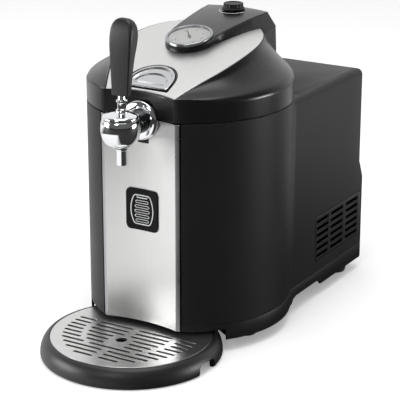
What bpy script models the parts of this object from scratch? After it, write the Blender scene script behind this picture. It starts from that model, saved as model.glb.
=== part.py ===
import math

import bmesh
import bpy
from mathutils import Matrix, Vector

# Driving sizes, in metres. Heights are measured from the lower edge of the base.
BODY_R = 0.120
WALL = 0.003
GAP = 0.0003
FOOT_H = 0.015

# Heights of the cabinet
BASE_H = 0.020
SEAM_Z = 0.258
BOX_TOP_Z = 0.254
BOX_STEP_LOW_Z = 0.110
BOX_STEP_HIGH_Z = 0.133
BOX_FILLET = 0.008
CEILING_T = 0.006

# Plan of the cabinet
BOX_HALF_W = 0.1073
BOX_REAR_LOW_Y = 0.251
BOX_REAR_HIGH_Y = 0.241
BLEND_R = 0.040
BOX_CORNER_R = 0.005
RECESS_HALF_W = 0.0529
RECESS_FLOOR_Y = 0.1025
RECESS_CURVE_W = 0.0450
RECESS_STEP_W = 0.0456
INNER_FRONT_Y = 0.0985
INNER_FRONT_W = 0.0560

# Concave front: an arc whose centre lies in front of the machine
FRONT_CENTRE_Y = 0.104
FRONT_ARC_R = 0.1736
PANEL_HALF_W = 0.0467
PANEL_T = 0.0012
PANEL_EDGE_W = 0.0512
PANEL_FOLD_Y = 0.1035
PANEL_LOW_Z = 0.0133
PANEL_TOP_GAP = 0.0008
NOTCH_HALF_W = 0.009
NOTCH_LOW_Z = 0.2285

# Base
DOCK_R = 0.108
DOCK_H = 0.013
DECK_LOW_Z = 0.0135
STOP_HALF_W = 0.015
STOP_R = 0.0982
STOP_T = 0.003
STOP_LOW_Z = 0.0005
DECK_HIGH_Z = 0.0165
ARCH_REAR_Y = 0.135
ARCH_FRONT_Y = 0.058
ARCH_H = 0.007
ARCH_END = 0.012
ARCH_REACH = 0.130
BOSS_R = 0.015
BOSS_TOP_Z = 0.015
FOOT_X = 0.085
FOOT_FRONT_Y = 0.015
FOOT_REAR_Y = 0.222
FOOT_TOP_R = 0.0145
FOOT_LOW_R = 0.0125
FOOT_BEVEL = 0.0015

# Cover on the box
COVER_HALF_W = 0.0984
COVER_FRONT_R = 0.1233
COVER_REAR_Y = 0.2324
COVER_SIDE_Y = 0.082
COVER_T = 0.003
COVER_LEDGE = 0.0055
COVER_CORNER = 0.004

# Side grilles
GRILLE_FRONT_Y = 0.1176
GRILLE_REAR_Y = 0.2424
GRILLE_LOW_Z = 0.0333
GRILLE_HIGH_Z = 0.0922
GRILLE_T = 0.0026
GRILLE_LIP = 0.0045
GRILLE_CORNER = 0.006
GRILLE_PROUD = 0.0002
SLOT_COLUMNS = ((0.1208, 0.1520), (0.1589, 0.1925), (0.2010, 0.2344))
SLOT_LOW_Z = 0.0405
SLOT_PITCH = 0.0089
SLOT_ROWS = 6
SLOT_H = 0.0045

# Rear panel, inlet and switch
REAR_HALF_W = 0.080
REAR_LOW_Z = 0.140
REAR_HIGH_Z = 0.232
REAR_T = 0.0024
REAR_LIP = 0.005
REAR_SLOT_HALF_W = 0.028
REAR_SLOT_X = 0.036
REAR_SLOT_LOW_Z = 0.152
REAR_SLOT_PITCH = 0.0105
REAR_SLOT_ROWS = 7
REAR_SLOT_H = 0.0050
INLET_X = 0.055
INLET_Z = 0.050
INLET_W = 0.028
INLET_H = 0.022
INLET_DEPTH = 0.024
INLET_RIM = 0.003
INLET_RIM_T = 0.0015
INLET_WALL = 0.0025
INLET_PIN_R = 0.0016
INLET_PIN_X = 0.005
INLET_PIN_L = 0.014
INLET_BACK_T = 0.004
SWITCH_X = 0.055
SWITCH_Z = 0.080
SWITCH_W = 0.020
SWITCH_H = 0.013
SWITCH_DEPTH = 0.010
SWITCH_PIVOT_IN = 0.0040
SWITCH_PROUD = 0.0026
SWITCH_CREASE = 0.0004
SWITCH_ROUND = 0.0010
SWITCH_CLEAR = 0.0009

# Chamber and insulation
CHAMBER_R = 0.088
CHAMBER_T = 0.0015
CHAMBER_FLOOR_Z = 0.031
CHAMBER_TOP_Z = 0.240
CHAMBER_ROUND = 0.006
FOAM_LOW_Z = 0.0172
FOAM_OUT_R = 0.1162
FOAM_FRONT_Y = 0.0978
FOAM_WINDOW_HALF_W = 0.0245
FOAM_WINDOW_LOW_Z = 0.1195
FOAM_WINDOW_HIGH_Z = 0.1805
FOAM_WINDOW_REACH = 0.130
DECK_IN_R = 0.0878
DECK_RING_T = 0.004
DECK_OUT_R = 0.1164
DECK_FRONT_Y = 0.0980
DECK_LIP_R = 0.0905
DECK_LIP_H = 0.0015

# Cooling unit
COLD_HALF_W = 0.020
COLD_REAR_Y = 0.104
COLD_LOW_Z = 0.124
COLD_HIGH_Z = 0.176
PELTIER_T = 0.0038
SINK_BASE_T = 0.006
SINK_HALF_W = 0.058
SINK_LOW_Z = 0.092
SINK_HIGH_Z = 0.208
SINK_FIN_T = 0.0016
SINK_FIN_L = 0.030
SINK_FINS = 15
FAN_HALF_W = 0.060
FAN_T = 0.025
FAN_Z = 0.150
FAN_BORE_R = 0.0565
FAN_HUB_R = 0.018
FAN_ROTOR_R = 0.0548
FAN_ROTOR_HUB_R = 0.0195
FAN_BLADES = 7
FAN_BLADE_T = 0.0016
FAN_BLADE_ANGLE_DEG = 38.0
FAN_STRUT_W = 0.004
FAN_STRUT_T = 0.004
FAN_ROTOR_T = 0.018
FAN_CORNER = 0.008
BOARD_HALF_W = 0.060
BOARD_T = 0.0016
BOARD_H = 0.050
BOARD_Y = 0.205
BOARD_PART = 0.018
BOARD_PART_H = 0.014
BOARD_CAN_R = 0.007

# Lid
LID_LOW_Z = 0.2583
RIM_Z = 0.2825
RIM_RISE = 0.0035
RIM_RISE_FRONT_Y = 0.1104
RIM_RISE_REAR_Y = 0.055
CROWN_R = 0.4208
CROWN_Y = 0.0775
CROWN_Z = 0.3285
PLATE_CORNER_X = 0.0460
PLATE_CORNER_Y = 0.1077
PLATE_SHOULDER_X = 0.0660
PLATE_SHOULDER_Y = 0.0670
PLATE_WIDE_X = 0.0810
PLATE_WIDE_Y = 0.0030
PLATE_SIDE_R = 0.145
PLATE_REAR_R = 0.110
PLATE_REAR_SIDE_X = 0.0570
PLATE_REAR_SIDE_Y = 0.0690
PLATE_REAR_END_Y = 0.1020
PLATE_SEAT = 0.0013
PLATE_T = 0.0010
LID_WALL = 0.0028
LID_NOTCH_HALF_W = 0.0095
LID_NOTCH_HIGH_Z = 0.2665
LID_RIM_BLEND = 0.0012
LID_CORE_FRONT_Y = 0.0955

# Hump over the regulator
HUMP_FRONT_R = 0.030
HUMP_FRONT_Y = 0.002
HUMP_REAR_R = 0.1184
HUMP_TOP_REAR_R = 0.1168
HUMP_FOOT_REAR_X = 0.0575
HUMP_TOP_REAR_X = 0.0415
HUMP_LOW_Z = 0.2700
HUMP_TOP_R = 0.880
HUMP_TOP_APEX_Y = 0.145
HUMP_TOP_APEX_Z = 0.3428
HUMP_FRONT_DROP_Y = 0.010
HUMP_FRONT_DROP_Z = 0.3325
HUMP_EDGE = 0.0016
HUMP_WALL = 0.0024
HUMP_SIDE_Y = (0.0036, 0.0222, 0.0426, 0.0700, 0.0900)
HUMP_FOOT_X = (0.0292, 0.0395, 0.0477, 0.0550, 0.0568)
HUMP_TOP_X = (0.0305, 0.0325, 0.0348, 0.0378, 0.0400)
HUMP_OPEN_IN = 0.0050
HUMP_OPEN_REAR_Y = 0.1130

# Gauge
GAUGE_Y = 0.003
GAUGE_Z = 0.3317
GAUGE_TILT_DEG = 12.8
GAUGE_R = 0.0276
GAUGE_BEZEL_IN_R = 0.0245
GAUGE_BEZEL_H = 0.0032
GAUGE_CASE_R = 0.0270
GAUGE_CASE_DEPTH = 0.0135
GAUGE_CASE_LIP = 0.0012
GAUGE_DIAL_R = 0.0243
GAUGE_DIAL_T = 0.0006
GAUGE_DIAL_IN = 0.0034
GAUGE_LENS_T = 0.0008
GAUGE_LENS_IN = 0.0012
GAUGE_STEM_R = 0.005
GAUGE_STEM_L = 0.0030
GAUGE_ARBOR_R = 0.0007
GAUGE_ARBOR_HOLE_R = 0.0011
GAUGE_WELL_R = 0.0020
NEEDLE_HUB_R = 0.0022
NEEDLE_T = 0.0006
NEEDLE_L = 0.0185
NEEDLE_TAIL = 0.0060
NEEDLE_W = 0.0011
NEEDLE_IN = 0.0024
NEEDLE_REST_DEG = 128.0

# Regulator
KNOB_Y = 0.099
KNOB_SKIRT_R = 0.0137
KNOB_TOP_R = 0.0120
KNOB_H = 0.0104
KNOB_SKIRT_H = 0.0022
KNOB_RIBS = 18
KNOB_RIB_DEPTH = 0.0007
KNOB_EDGE = 0.0012
KNOB_SHAFT_R = 0.0035
KNOB_SHAFT_HOLE_R = 0.0042
KNOB_SHAFT_L = 0.0080
KNOB_CLEAR = 0.0010
REG_R = 0.0090
REG_Y = 0.0955
REG_LOW_Z = 0.3020
REG_HIGH_Z = 0.3310
REG_NOSE_R = 0.0060
REG_NOSE_FRONT_Y = 0.0804
REG_AXIS_Z = 0.3090

# CO2 cartridge and its bay
CO2_R = 0.0100
CO2_NECK_R = 0.0045
CO2_NECK_L = 0.0070
CO2_SHOULDER = 0.0100
CO2_FRONT_Y = 0.0085
CO2_BODY_L = 0.0545
CO2_ROUND = 0.0040
BAY_HALF_W = 0.0120
BAY_FRONT_Y = 0.0070
BAY_REAR_Y = 0.0815

# Lid liner and gasket
LINER_FLANGE_R = 0.1168
LINER_FRONT_Y = 0.0985
LINER_MOUTH_R = 0.0930
LINER_MID_R = 0.0900
LINER_MID_Z = 0.2800
LINER_TOP_R = 0.0720
LINER_TOP_Z = 0.2928
LINER_T = 0.0022
LINER_RELIEF_HALF_W = 0.0415
LINER_RELIEF_Y = 0.0840
LINER_RELIEF_Z = 0.2750
SEAL_R = 0.0892
SEAL_TUBE_R = 0.0013

# Release button and latch
BUTTON_HALF_W = 0.028
BUTTON_FRONT_Y = 0.097
BUTTON_REAR_Y = 0.059
BUTTON_STRAIGHT = 0.010
BUTTON_PROUD = 0.0032
BUTTON_SKIRT = 0.0040
BUTTON_WALL = 0.0018
BUTTON_CLEAR = 0.0005
BUTTON_SCOOP_R = 0.060
BUTTON_SCOOP_DEPTH = 0.0014
BUTTON_SCOOP_Y = 0.072
BUTTON_POST_R = 0.0016
BUTTON_POST_X = 0.0200
BUTTON_POST_Y = 0.0950
BUTTON_POST_Z = 0.2755
LATCH_X = 0.034
LATCH_HALF_W = 0.004
LATCH_FRONT_Y = 0.0935
LATCH_T = 0.0025
LATCH_BAR_Z = 0.2685
LATCH_BAR_H = 0.0030
LATCH_LOW_Z = 0.2500
LATCH_TOE_Y = 0.0957
LATCH_TOE_H = 0.0027
STRIKE_LOW_Z = 0.2530
STRIKE_HIGH_Z = 0.2562
STRIKE_Y = 0.0963

# Hinge
HINGE_Y = 0.1300
HINGE_Z = 0.2630
HINGE_PIN_R = 0.0020
HINGE_PIN_CLEAR = 0.00005
HINGE_PIN_HALF_L = 0.0460
HINGE_EYE_R = 0.0050
HINGE_FIXED_X = (0.0180, 0.0445)
HINGE_FIXED_HALF_W = 0.0050
HINGE_LID_X = 0.0310
HINGE_LID_HALF_W = 0.0060
HINGE_PLATE_T = 0.0020
HINGE_PLATE_FRONT_Y = 0.1260
HINGE_PLATE_REAR_Y = 0.1440
HINGE_PLATE_HALF_W = 0.0540
HINGE_ARM_T = 0.0022
HINGE_ARM_HIGH_Z = 0.2790
HINGE_ARM_LOW_Z = 0.2600

# Tap
TAP_Z = 0.2554
BARREL_Y = 0.1464
SPOUT_Y = 0.1448
STEM_Y = 0.1432
FLANGE_R = 0.0225
FLANGE_BACK_Y = 0.1064
FLANGE_FACE_Y = 0.1118
FLANGE_EDGE_T = 0.0016
FLANGE_BORE_R = 0.0082
SHANK_R = 0.0079
SHANK_BORE_R = 0.0035
SHANK_TAIL_Y = 0.0905
SHANK_FRONT_Y = 0.1232
NUT_R = 0.0098
NUT_T = 0.0050
NUT_Y = 0.0980
COUPLING_R = 0.0140
COUPLING_BACK_Y = 0.1122
COUPLING_FRONT_Y = 0.1232
COUPLING_RIB = 0.0008
COUPLING_RIBS = 28
COUPLING_EDGE = 0.0010
BARREL_R = 0.0220
BARREL_LOW_Z = 0.2350
BARREL_HIGH_Z = 0.2668
BARREL_ROUND = 0.0080
BARREL_FOOT_R = 0.0120
BARREL_NECK_R = 0.0105
BARREL_NECK_Y = 0.1237
BONNET_GROOVE = 0.0005
BONNET_RIM_H = 0.0012
BONNET_R = 0.0215
BONNET_SHOULDER_R = 0.0150
BONNET_TOP_R = 0.0098
BONNET_TOP_Z = 0.2738
BONNET_SHOULDER_Z = 0.2722
BALL_Z = 0.2725
BALL_R = 0.0072
BALL_CUP_R = 0.0076
STEM_R = 0.0049
STEM_RING_R = 0.0062
STEM_RING_Z = 0.2857
STEM_RING_H = 0.0018
STEM_TOP_R = 0.0032
STEM_TOP_Z = 0.2995
SPOUT_R = 0.0058
SPOUT_BORE_R = 0.0044
SPOUT_COLLAR_R = 0.0075
SPOUT_COLLAR_T = 0.0040
SPOUT_LOW_Z = 0.2139
SPOUT_TOP_Z = 0.2347
HANDLE_LOW_Z = 0.2923
HANDLE_HIGH_Z = 0.3758
HANDLE_LEVELS = (0.0, 0.0200, 0.0400, 0.0560, 0.0650, 0.0720, 0.0775, 0.0810, 0.0829, 0.0835)
HANDLE_HALF_W = (0.0090, 0.0105, 0.0123, 0.0140, 0.0142, 0.0137, 0.0121, 0.0095, 0.0062, 0.0035)
HANDLE_FRONT_Y = (0.1478, 0.1474, 0.1470, 0.1464, 0.1456, 0.1444, 0.1428, 0.1412, 0.1396, 0.1382)
HANDLE_REAR_Y = (0.1382, 0.1368, 0.1344, 0.1306, 0.1291, 0.1288, 0.1298, 0.1314, 0.1334, 0.1350)
HANDLE_CORNER_R = (0.0018, 0.0020, 0.0022, 0.0026, 0.0030, 0.0034, 0.0036, 0.0034, 0.0026, 0.0014)
HANDLE_SOCKET_R = 0.0035
HANDLE_SOCKET_L = 0.0075

# Beer line
LINE_R = 0.0030
LINE_POINTS = (
    (0.0, -0.0902, 0.2554), (0.0, -0.0882, 0.2554), (0.0050, -0.0855, 0.2552), (0.0200, -0.0860, 0.2548),
    (0.0340, -0.0825, 0.2545),
)
GAS_POINTS = (
    (0.0066, -0.0100, 0.2990), (0.0130, -0.0090, 0.2992), (0.0175, 0.0060, 0.3000), (0.0190, 0.0400, 0.3020),
    (0.0190, 0.0780, 0.3060), (0.0150, 0.0955, 0.3085), (0.0096, 0.0955, 0.3085),
)
GAS_R = 0.0025

# Tapping head under the liner
HEAD_R = 0.0170
HEAD_Y = 0.0100
HEAD_T = 0.0085
HEAD_NECK_R = 0.0060
HEAD_NECK_TOP_Z = 0.3030
HEAD_MOUTH_R = 0.0130
HEAD_MOUTH_T = 0.0050

# Drip tray and grille
TRAY_Y = 0.131
TRAY_SKIRT_R = 0.1046
TRAY_RIM_R = 0.0958
TRAY_TOP_Z = 0.0080
TRAY_WALL = 0.0025
TRAY_LEDGE_R = 0.0933
TRAY_BASIN_R = 0.0900
TRAY_FLOOR_R = 0.0878
TRAY_LEDGE_Z = 0.0053
TRAY_FLOOR_Z = 0.0106
TRAY_UNDER_Z = 0.0130
TRAY_GUTTER_R = 0.0925
TRAY_GUTTER_Z = 0.0030
TRAY_GUTTER_OUT_R = 0.0938
TRAY_MID_R = 0.0990
TRAY_MID_Z = 0.0050
SCOOP_REAR_Y = 0.119
SCOOP_FRONT_Y = 0.150
SCOOP_LOW_Z = 0.0112
SCOOP_HIGH_Z = 0.0022
SCOOP_IN_X = 0.0945
SCOOP_OUT_X = 0.1150
PLATE_R = 0.0930
PLATE_LOW_Z = 0.0056
PLATE_HIGH_Z = 0.0080
DRAIN_Y = 0.1518
DRAIN_R = 0.0065
ROW_FIRST_Y = 0.1200
ROW_PITCH = 0.00935
ROW_W = 0.0040
SLOT_FIELD_R = 0.0790
SLOT_CENTRE_GAP = 0.0040
DRAIN_CLEAR_X = 0.0135
DIVIDER_HALF_W = 0.0037
DIVIDER_X = (0.0522, 0.0530, 0.0535, 0.0510, 0.0468, 0.0415, 0.0310, 0.0, 0.0, 0.0)
DRAIN_ROWS = (3, 4, 5)
BRIDGED_ROWS = (6,)

# Indicator window
WINDOW_Z = 0.1497
WINDOW_HALF_W = 0.0212
WINDOW_HALF_H = 0.0246
WINDOW_CORNER_R = 0.0060
WINDOW_T = 0.0012

# Segment counts
SEG = 32
SEG_MID = 20
SEG_SMALL = 14
SEG_EYE = 14
SEG_PIN = 10
CIRCLE_STEPS = 14
FLARE_OUT_SHARES = (0.0, 0.095, 0.222, 0.444, 0.635, 0.794, 0.920, 1.0)
FLARE_DROP_SHARES = (0.0, 0.194, 0.333, 0.528, 0.667, 0.764, 0.861, 1.0)
SHARP_DEG = 32.0

# The row's origin is under the middle of its length, from the tray's front to the switch's face
front_reach = TRAY_Y + TRAY_SKIRT_R
rear_reach = BOX_REAR_LOW_Y + SWITCH_PROUD
ROOT_SHIFT_Y = (rear_reach - front_reach) / 2.0

for old in list(bpy.data.objects):
    bpy.data.objects.remove(old, do_unlink=True)

scene = bpy.context.scene
collection = scene.collection

# Materials


def material(name, colour, metallic, roughness):
    mat = bpy.data.materials.new(name)
    mat.use_nodes = True
    shader = mat.node_tree.nodes["Principled BSDF"]
    shader.inputs["Base Color"].default_value = (colour[0], colour[1], colour[2], 1.0)
    shader.inputs["Metallic"].default_value = metallic
    shader.inputs["Roughness"].default_value = roughness
    return mat


LOOKS = {
    "black_plastic": ((0.035, 0.035, 0.037), 0.0, 0.42),
    "gloss_black": ((0.015, 0.015, 0.017), 0.0, 0.12),
    "steel": ((0.72, 0.72, 0.71), 1.0, 0.30),
    "chrome": ((0.80, 0.80, 0.82), 1.0, 0.06),
    "rubber": ((0.02, 0.02, 0.02), 0.0, 0.8),
    "aluminium": ((0.70, 0.71, 0.72), 1.0, 0.38),
    "foam": ((0.80, 0.78, 0.70), 0.0, 0.9),
    "white_plastic": ((0.75, 0.75, 0.74), 0.0, 0.5),
    "silver_plastic": ((0.55, 0.56, 0.57), 0.6, 0.35),
    "brass": ((0.70, 0.52, 0.22), 1.0, 0.3),
    "board_green": ((0.03, 0.16, 0.07), 0.0, 0.5),
    "clear": ((0.85, 0.88, 0.9), 0.0, 0.05),
    "hose": ((0.75, 0.78, 0.80), 0.0, 0.3),
}

root = bpy.data.objects.new("cabinet_root", None)
collection.objects.link(root)
root.location = (0.0, -ROOT_SHIFT_Y, FOOT_H)


def finish(bm, name, look, sharp=SHARP_DEG, parent=None):
    bmesh.ops.remove_doubles(bm, verts=bm.verts, dist=WALL / 1000.0)
    bmesh.ops.recalc_face_normals(bm, faces=bm.faces)
    mesh = bpy.data.meshes.new(name)
    bm.to_mesh(mesh)
    bm.free()
    obj = bpy.data.objects.new(name, mesh)
    collection.objects.link(obj)
    obj.parent = parent or root
    colour, metallic, roughness = LOOKS[look]
    mesh.materials.append(material(name + "_" + look, colour, metallic, roughness))
    mesh.shade_smooth()
    mesh.set_sharp_from_angle(angle=math.radians(sharp))
    return obj


def volume(bm):
    bmesh.ops.recalc_face_normals(bm, faces=bm.faces)
    return bm.calc_volume()


# Outlines: the right half runs from the front centre to the rear centre


def arc(cx, cy, radius, start_deg, end_deg, steps):
    points = []
    for k in range(steps + 1):
        a = math.radians(start_deg + (end_deg - start_deg) * k / steps)
        points.append((cx + radius * math.cos(a), cy + radius * math.sin(a)))
    return points


def front_arc_y(x, back=0.0):
    return -(FRONT_CENTRE_Y + FRONT_ARC_R) + math.sqrt(FRONT_ARC_R ** 2 - x ** 2) + back


def crown_z(y):
    return CROWN_Z - (CROWN_R - math.sqrt(CROWN_R ** 2 - (y - CROWN_Y) ** 2))


def mirror_ring(half):
    back = [(-p[0],) + tuple(p[1:]) for p in reversed(half[1:-1])]
    return list(half) + back


def add_ring(bm, half):
    return [bm.verts.new(p) for p in mirror_ring(half)]


def bridge(bm, a, b):
    n = len(a)
    for k in range(n):
        m = (k + 1) % n
        bm.faces.new((a[k], a[m], b[m], b[k]))


def cap(bm, ring, front):
    # Flat rings get one face; crowned ones get strips across, behind their concave front
    n = len(ring)
    half = n // 2
    heights = [v.co.z for v in ring]
    if max(heights) - min(heights) < GAP / 100.0:
        bm.faces.new(ring)
        return
    if front:
        bm.faces.new([ring[k] for k in range(n - front, n)] + [ring[k] for k in range(front + 1)])
    else:
        bm.faces.new((ring[0], ring[1], ring[n - 1]))
    for k in range(max(front, 1), half - 1):
        bm.faces.new((ring[k], ring[k + 1], ring[n - k - 1], ring[n - k]))
    bm.faces.new((ring[half - 1], ring[half], ring[half + 1]))


def loft(rings, closed=False, front=0):
    bm = bmesh.new()
    made = [add_ring(bm, ring) for ring in rings]
    for a, b in zip(made, made[1:]):
        bridge(bm, a, b)
    if closed:
        bridge(bm, made[-1], made[0])
    else:
        cap(bm, made[0], front)
        cap(bm, made[-1], front)
    bmesh.ops.remove_doubles(bm, verts=bm.verts, dist=WALL / 1000.0)
    return bm


def at_z(half, z):
    return [(p[0], p[1], z) for p in half]


def inset(half, distance):
    ring = mirror_ring([(p[0], p[1]) for p in half])
    n = len(ring)
    count = len(half)
    moved = []
    for k in range(count):
        before = Vector(ring[(k - 1) % n])
        here = Vector(ring[k])
        after = Vector(ring[(k + 1) % n])
        d1 = (here - before).normalized()
        d2 = (after - here).normalized()
        n1 = Vector((-d1.y, d1.x))
        n2 = Vector((-d2.y, d2.x))
        middle = (n1 + n2).normalized()
        scale = 1.0 / max(middle.dot(n1), 0.5)
        spot = here + middle * distance * scale
        x = 0.0 if k in (0, count - 1) else spot.x
        moved.append((x, spot.y))
    return moved


# General solids


def prism(points, low, high, axis="z"):
    bm = bmesh.new()

    def place(p, w):
        if axis == "z":
            return (p[0], p[1], w)
        if axis == "y":
            return (p[0], w, p[1])
        return (w, p[0], p[1])

    a = [bm.verts.new(place(p, low)) for p in points]
    b = [bm.verts.new(place(p, high)) for p in points]
    bridge(bm, a, b)
    bm.faces.new(a)
    bm.faces.new(list(reversed(b)))
    bmesh.ops.recalc_face_normals(bm, faces=bm.faces)
    return bm


def box(x0, x1, y0, y1, z0, z1):
    return prism([(x0, y0), (x1, y0), (x1, y1), (x0, y1)], z0, z1)


def revolve(profile, steps=SEG):
    bm = bmesh.new()
    start = [bm.verts.new((r, 0.0, z)) for r, z in profile]
    edges = [bm.edges.new((a, b)) for a, b in zip(start, start[1:])]
    if profile[0][0] > 0.0 or profile[-1][0] > 0.0:
        edges.append(bm.edges.new((start[-1], start[0])))
    bmesh.ops.spin(
        bm, geom=start + edges, cent=(0.0, 0.0, 0.0), axis=(0.0, 0.0, 1.0),
        angle=math.tau, steps=steps, use_merge=True, use_duplicate=False,
    )
    bmesh.ops.remove_doubles(bm, verts=bm.verts, dist=WALL / 1000.0)
    bmesh.ops.recalc_face_normals(bm, faces=bm.faces)
    return bm


def moved(bm, x, y, z):
    bmesh.ops.translate(bm, verts=bm.verts, vec=(x, y, z))
    return bm


def turned(bm, axis, degrees):
    bmesh.ops.rotate(
        bm, verts=bm.verts, cent=(0.0, 0.0, 0.0), matrix=Matrix.Rotation(math.radians(degrees), 3, axis),
    )
    return bm


def along_front(bm, y, z):
    # A turned solid made about +Z is laid down so that its +Z points to the front
    return moved(turned(bm, "X", 90.0), 0.0, y, z)


def cutter_object(bm, name):
    bmesh.ops.recalc_face_normals(bm, faces=bm.faces)
    mesh = bpy.data.meshes.new(name)
    bm.to_mesh(mesh)
    bm.free()
    obj = bpy.data.objects.new(name, mesh)
    collection.objects.link(obj)
    return obj


def combine(bm, others, operation):
    base = cutter_object(bm, "work")
    for k, other in enumerate(others):
        tool = cutter_object(other, "tool")
        mod = base.modifiers.new("step", "BOOLEAN")
        mod.object = tool
        mod.operation = operation
        mod.solver = "EXACT"
        graph = bpy.context.evaluated_depsgraph_get()
        graph.update()
        mesh = bpy.data.meshes.new_from_object(base.evaluated_get(graph))
        base.modifiers.clear()
        old = base.data
        base.data = mesh
        bpy.data.meshes.remove(old)
        bpy.data.objects.remove(tool, do_unlink=True)
    out = bmesh.new()
    out.from_mesh(base.data)
    bpy.data.objects.remove(base, do_unlink=True)
    bmesh.ops.remove_doubles(out, verts=out.verts, dist=WALL / 1000.0)
    bmesh.ops.dissolve_degenerate(out, edges=out.edges, dist=WALL / 1000.0)
    return out


def cut(bm, others):
    return combine(bm, others, "DIFFERENCE")


def join(bm, others):
    return combine(bm, others, "UNION")


def merged(parts):
    out = bmesh.new()
    for part in parts:
        mesh = bpy.data.meshes.new("merge")
        part.to_mesh(mesh)
        part.free()
        out.from_mesh(mesh)
        bpy.data.meshes.remove(mesh)
    return out


def bevel_edges(bm, width, segments, test):
    edges = [e for e in bm.edges if len(e.link_faces) == 2 and test(e)]
    bmesh.ops.bevel(bm, geom=edges, offset=width, segments=segments, profile=0.5, affect="EDGES")
    return bm


def sharp_edge(e, degrees=50.0):
    return e.calc_face_angle(0.0) > math.radians(degrees)


def rounded_rectangle(x0, x1, y0, y1, radius, steps=3):
    points = []
    for cx, cy, a in ((x1 - radius, y1 - radius, 0.0), (x0 + radius, y1 - radius, 90.0),
                      (x0 + radius, y0 + radius, 180.0), (x1 - radius, y0 + radius, 270.0)):
        points += arc(cx, cy, radius, a, a + 90.0, steps)
    return points


def tube(points, radius, name, look, steps=8, parent=None):
    curve = bpy.data.curves.new(name, "CURVE")
    curve.dimensions = "3D"
    curve.bevel_depth = radius
    curve.bevel_resolution = 2
    curve.use_fill_caps = True
    curve.resolution_u = steps
    spline = curve.splines.new("BEZIER")
    spline.bezier_points.add(len(points) - 1)
    for knot, p in zip(spline.bezier_points, points):
        knot.co = p
        knot.handle_left_type = "AUTO"
        knot.handle_right_type = "AUTO"
    holder = bpy.data.objects.new(name + "_path", curve)
    collection.objects.link(holder)
    graph = bpy.context.evaluated_depsgraph_get()
    graph.update()
    mesh = bpy.data.meshes.new_from_object(holder.evaluated_get(graph))
    bpy.data.objects.remove(holder, do_unlink=True)
    bm = bmesh.new()
    bm.from_mesh(mesh)
    bpy.data.meshes.remove(mesh)
    bmesh.ops.remove_doubles(bm, verts=bm.verts, dist=WALL / 1000.0)
    return finish(bm, name, look, parent=parent)


# Cabinet outlines

blend_cx = BOX_HALF_W + BLEND_R
blend_cy = math.sqrt((BODY_R + BLEND_R) ** 2 - blend_cx ** 2)
blend_start = math.degrees(math.atan2(blend_cy, blend_cx))


def cabinet_half(rear_y, recess=True, wall=0.0, corner=BOX_CORNER_R):
    radius = BODY_R - wall
    if recess and wall == 0.0:
        half = [(x * RECESS_CURVE_W / 6.0, 0.0) for x in range(7)]
        half = [(x, front_arc_y(x, PANEL_T + GAP)) for x, _ in half]
        half += [(RECESS_STEP_W, -RECESS_FLOOR_Y), (RECESS_HALF_W, -RECESS_FLOOR_Y)]
        first = RECESS_HALF_W
    else:
        half = [(x * INNER_FRONT_W / 8.0, -INNER_FRONT_Y) for x in range(9)]
        first = INNER_FRONT_W + GAP
    start = -math.degrees(math.acos(first / radius))
    half += arc(0.0, 0.0, radius, start, blend_start, CIRCLE_STEPS)
    width = BOX_HALF_W - wall
    half += arc(blend_cx, blend_cy, BLEND_R + wall, 180.0 + blend_start, 180.0, 4)[1:]
    side = rear_y - wall - corner
    for k in range(1, 6):
        half.append((width, blend_cy + (side - blend_cy) * k / 6.0))
    half += arc(width - corner, side, corner, 0.0, 90.0, 3)
    last = width - corner
    for k in range(1, 5):
        half.append((last * (4 - k) / 4.0, rear_y - wall))
    return half


def polar_on(half, radius, first):
    out = []
    for k, (x, y) in enumerate(half):
        if k < first:
            out.append((x, y))
        else:
            a = math.atan2(y, x)
            out.append((radius * math.cos(a) if k < len(half) - 1 else 0.0, radius * math.sin(a)))
    return out


CIRCLE_END = 9 + CIRCLE_STEPS

# Base moulding
outer_low = cabinet_half(BOX_REAR_LOW_Y)
inner_low = cabinet_half(BOX_REAR_LOW_Y, wall=WALL)
bm = loft([
    at_z(inner_low, DECK_LOW_Z), at_z(inner_low, 0.0), at_z(outer_low, 0.0), at_z(outer_low, BASE_H),
    at_z(inner_low, BASE_H), at_z(inner_low, DECK_HIGH_Z),
])
foot_spots = {
    "foot_front_left": (-FOOT_X, -FOOT_FRONT_Y), "foot_front_right": (FOOT_X, -FOOT_FRONT_Y),
    "foot_rear_left": (-FOOT_X, FOOT_REAR_Y), "foot_rear_right": (FOOT_X, FOOT_REAR_Y),
}
bosses = []
for spot in foot_spots.values():
    bosses.append(moved(revolve([(0.0, 0.0), (BOSS_R, 0.0), (BOSS_R, BOSS_TOP_Z), (0.0, BOSS_TOP_Z)], SEG_SMALL),
                        spot[0], spot[1], 0.0))
bm = join(bm, bosses)
arch = [(ARCH_FRONT_Y, -ARCH_H), (ARCH_REAR_Y, -ARCH_H), (ARCH_REAR_Y, 0.0),
        (ARCH_REAR_Y - ARCH_END / 3.0, ARCH_H * 0.7), (ARCH_REAR_Y - ARCH_END, ARCH_H),
        (ARCH_FRONT_Y + ARCH_END, ARCH_H), (ARCH_FRONT_Y + ARCH_END / 3.0, ARCH_H * 0.7), (ARCH_FRONT_Y, 0.0)]
dock = moved(revolve([(0.0, -DOCK_H), (DOCK_R, -DOCK_H), (DOCK_R, DOCK_H), (0.0, DOCK_H)], SEG_MID * 2),
             0.0, -TRAY_Y, 0.0)
bm = cut(bm, [prism(arch, -ARCH_REACH, ARCH_REACH, "x"), dock])
# A rib behind the dock stops the tray
stop_y = STOP_R - TRAY_Y
bm = join(bm, [box(-STOP_HALF_W, STOP_HALF_W, stop_y, stop_y + STOP_T, STOP_LOW_Z, BOSS_TOP_Z)])
finish(bm, "base", "black_plastic")

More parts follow.
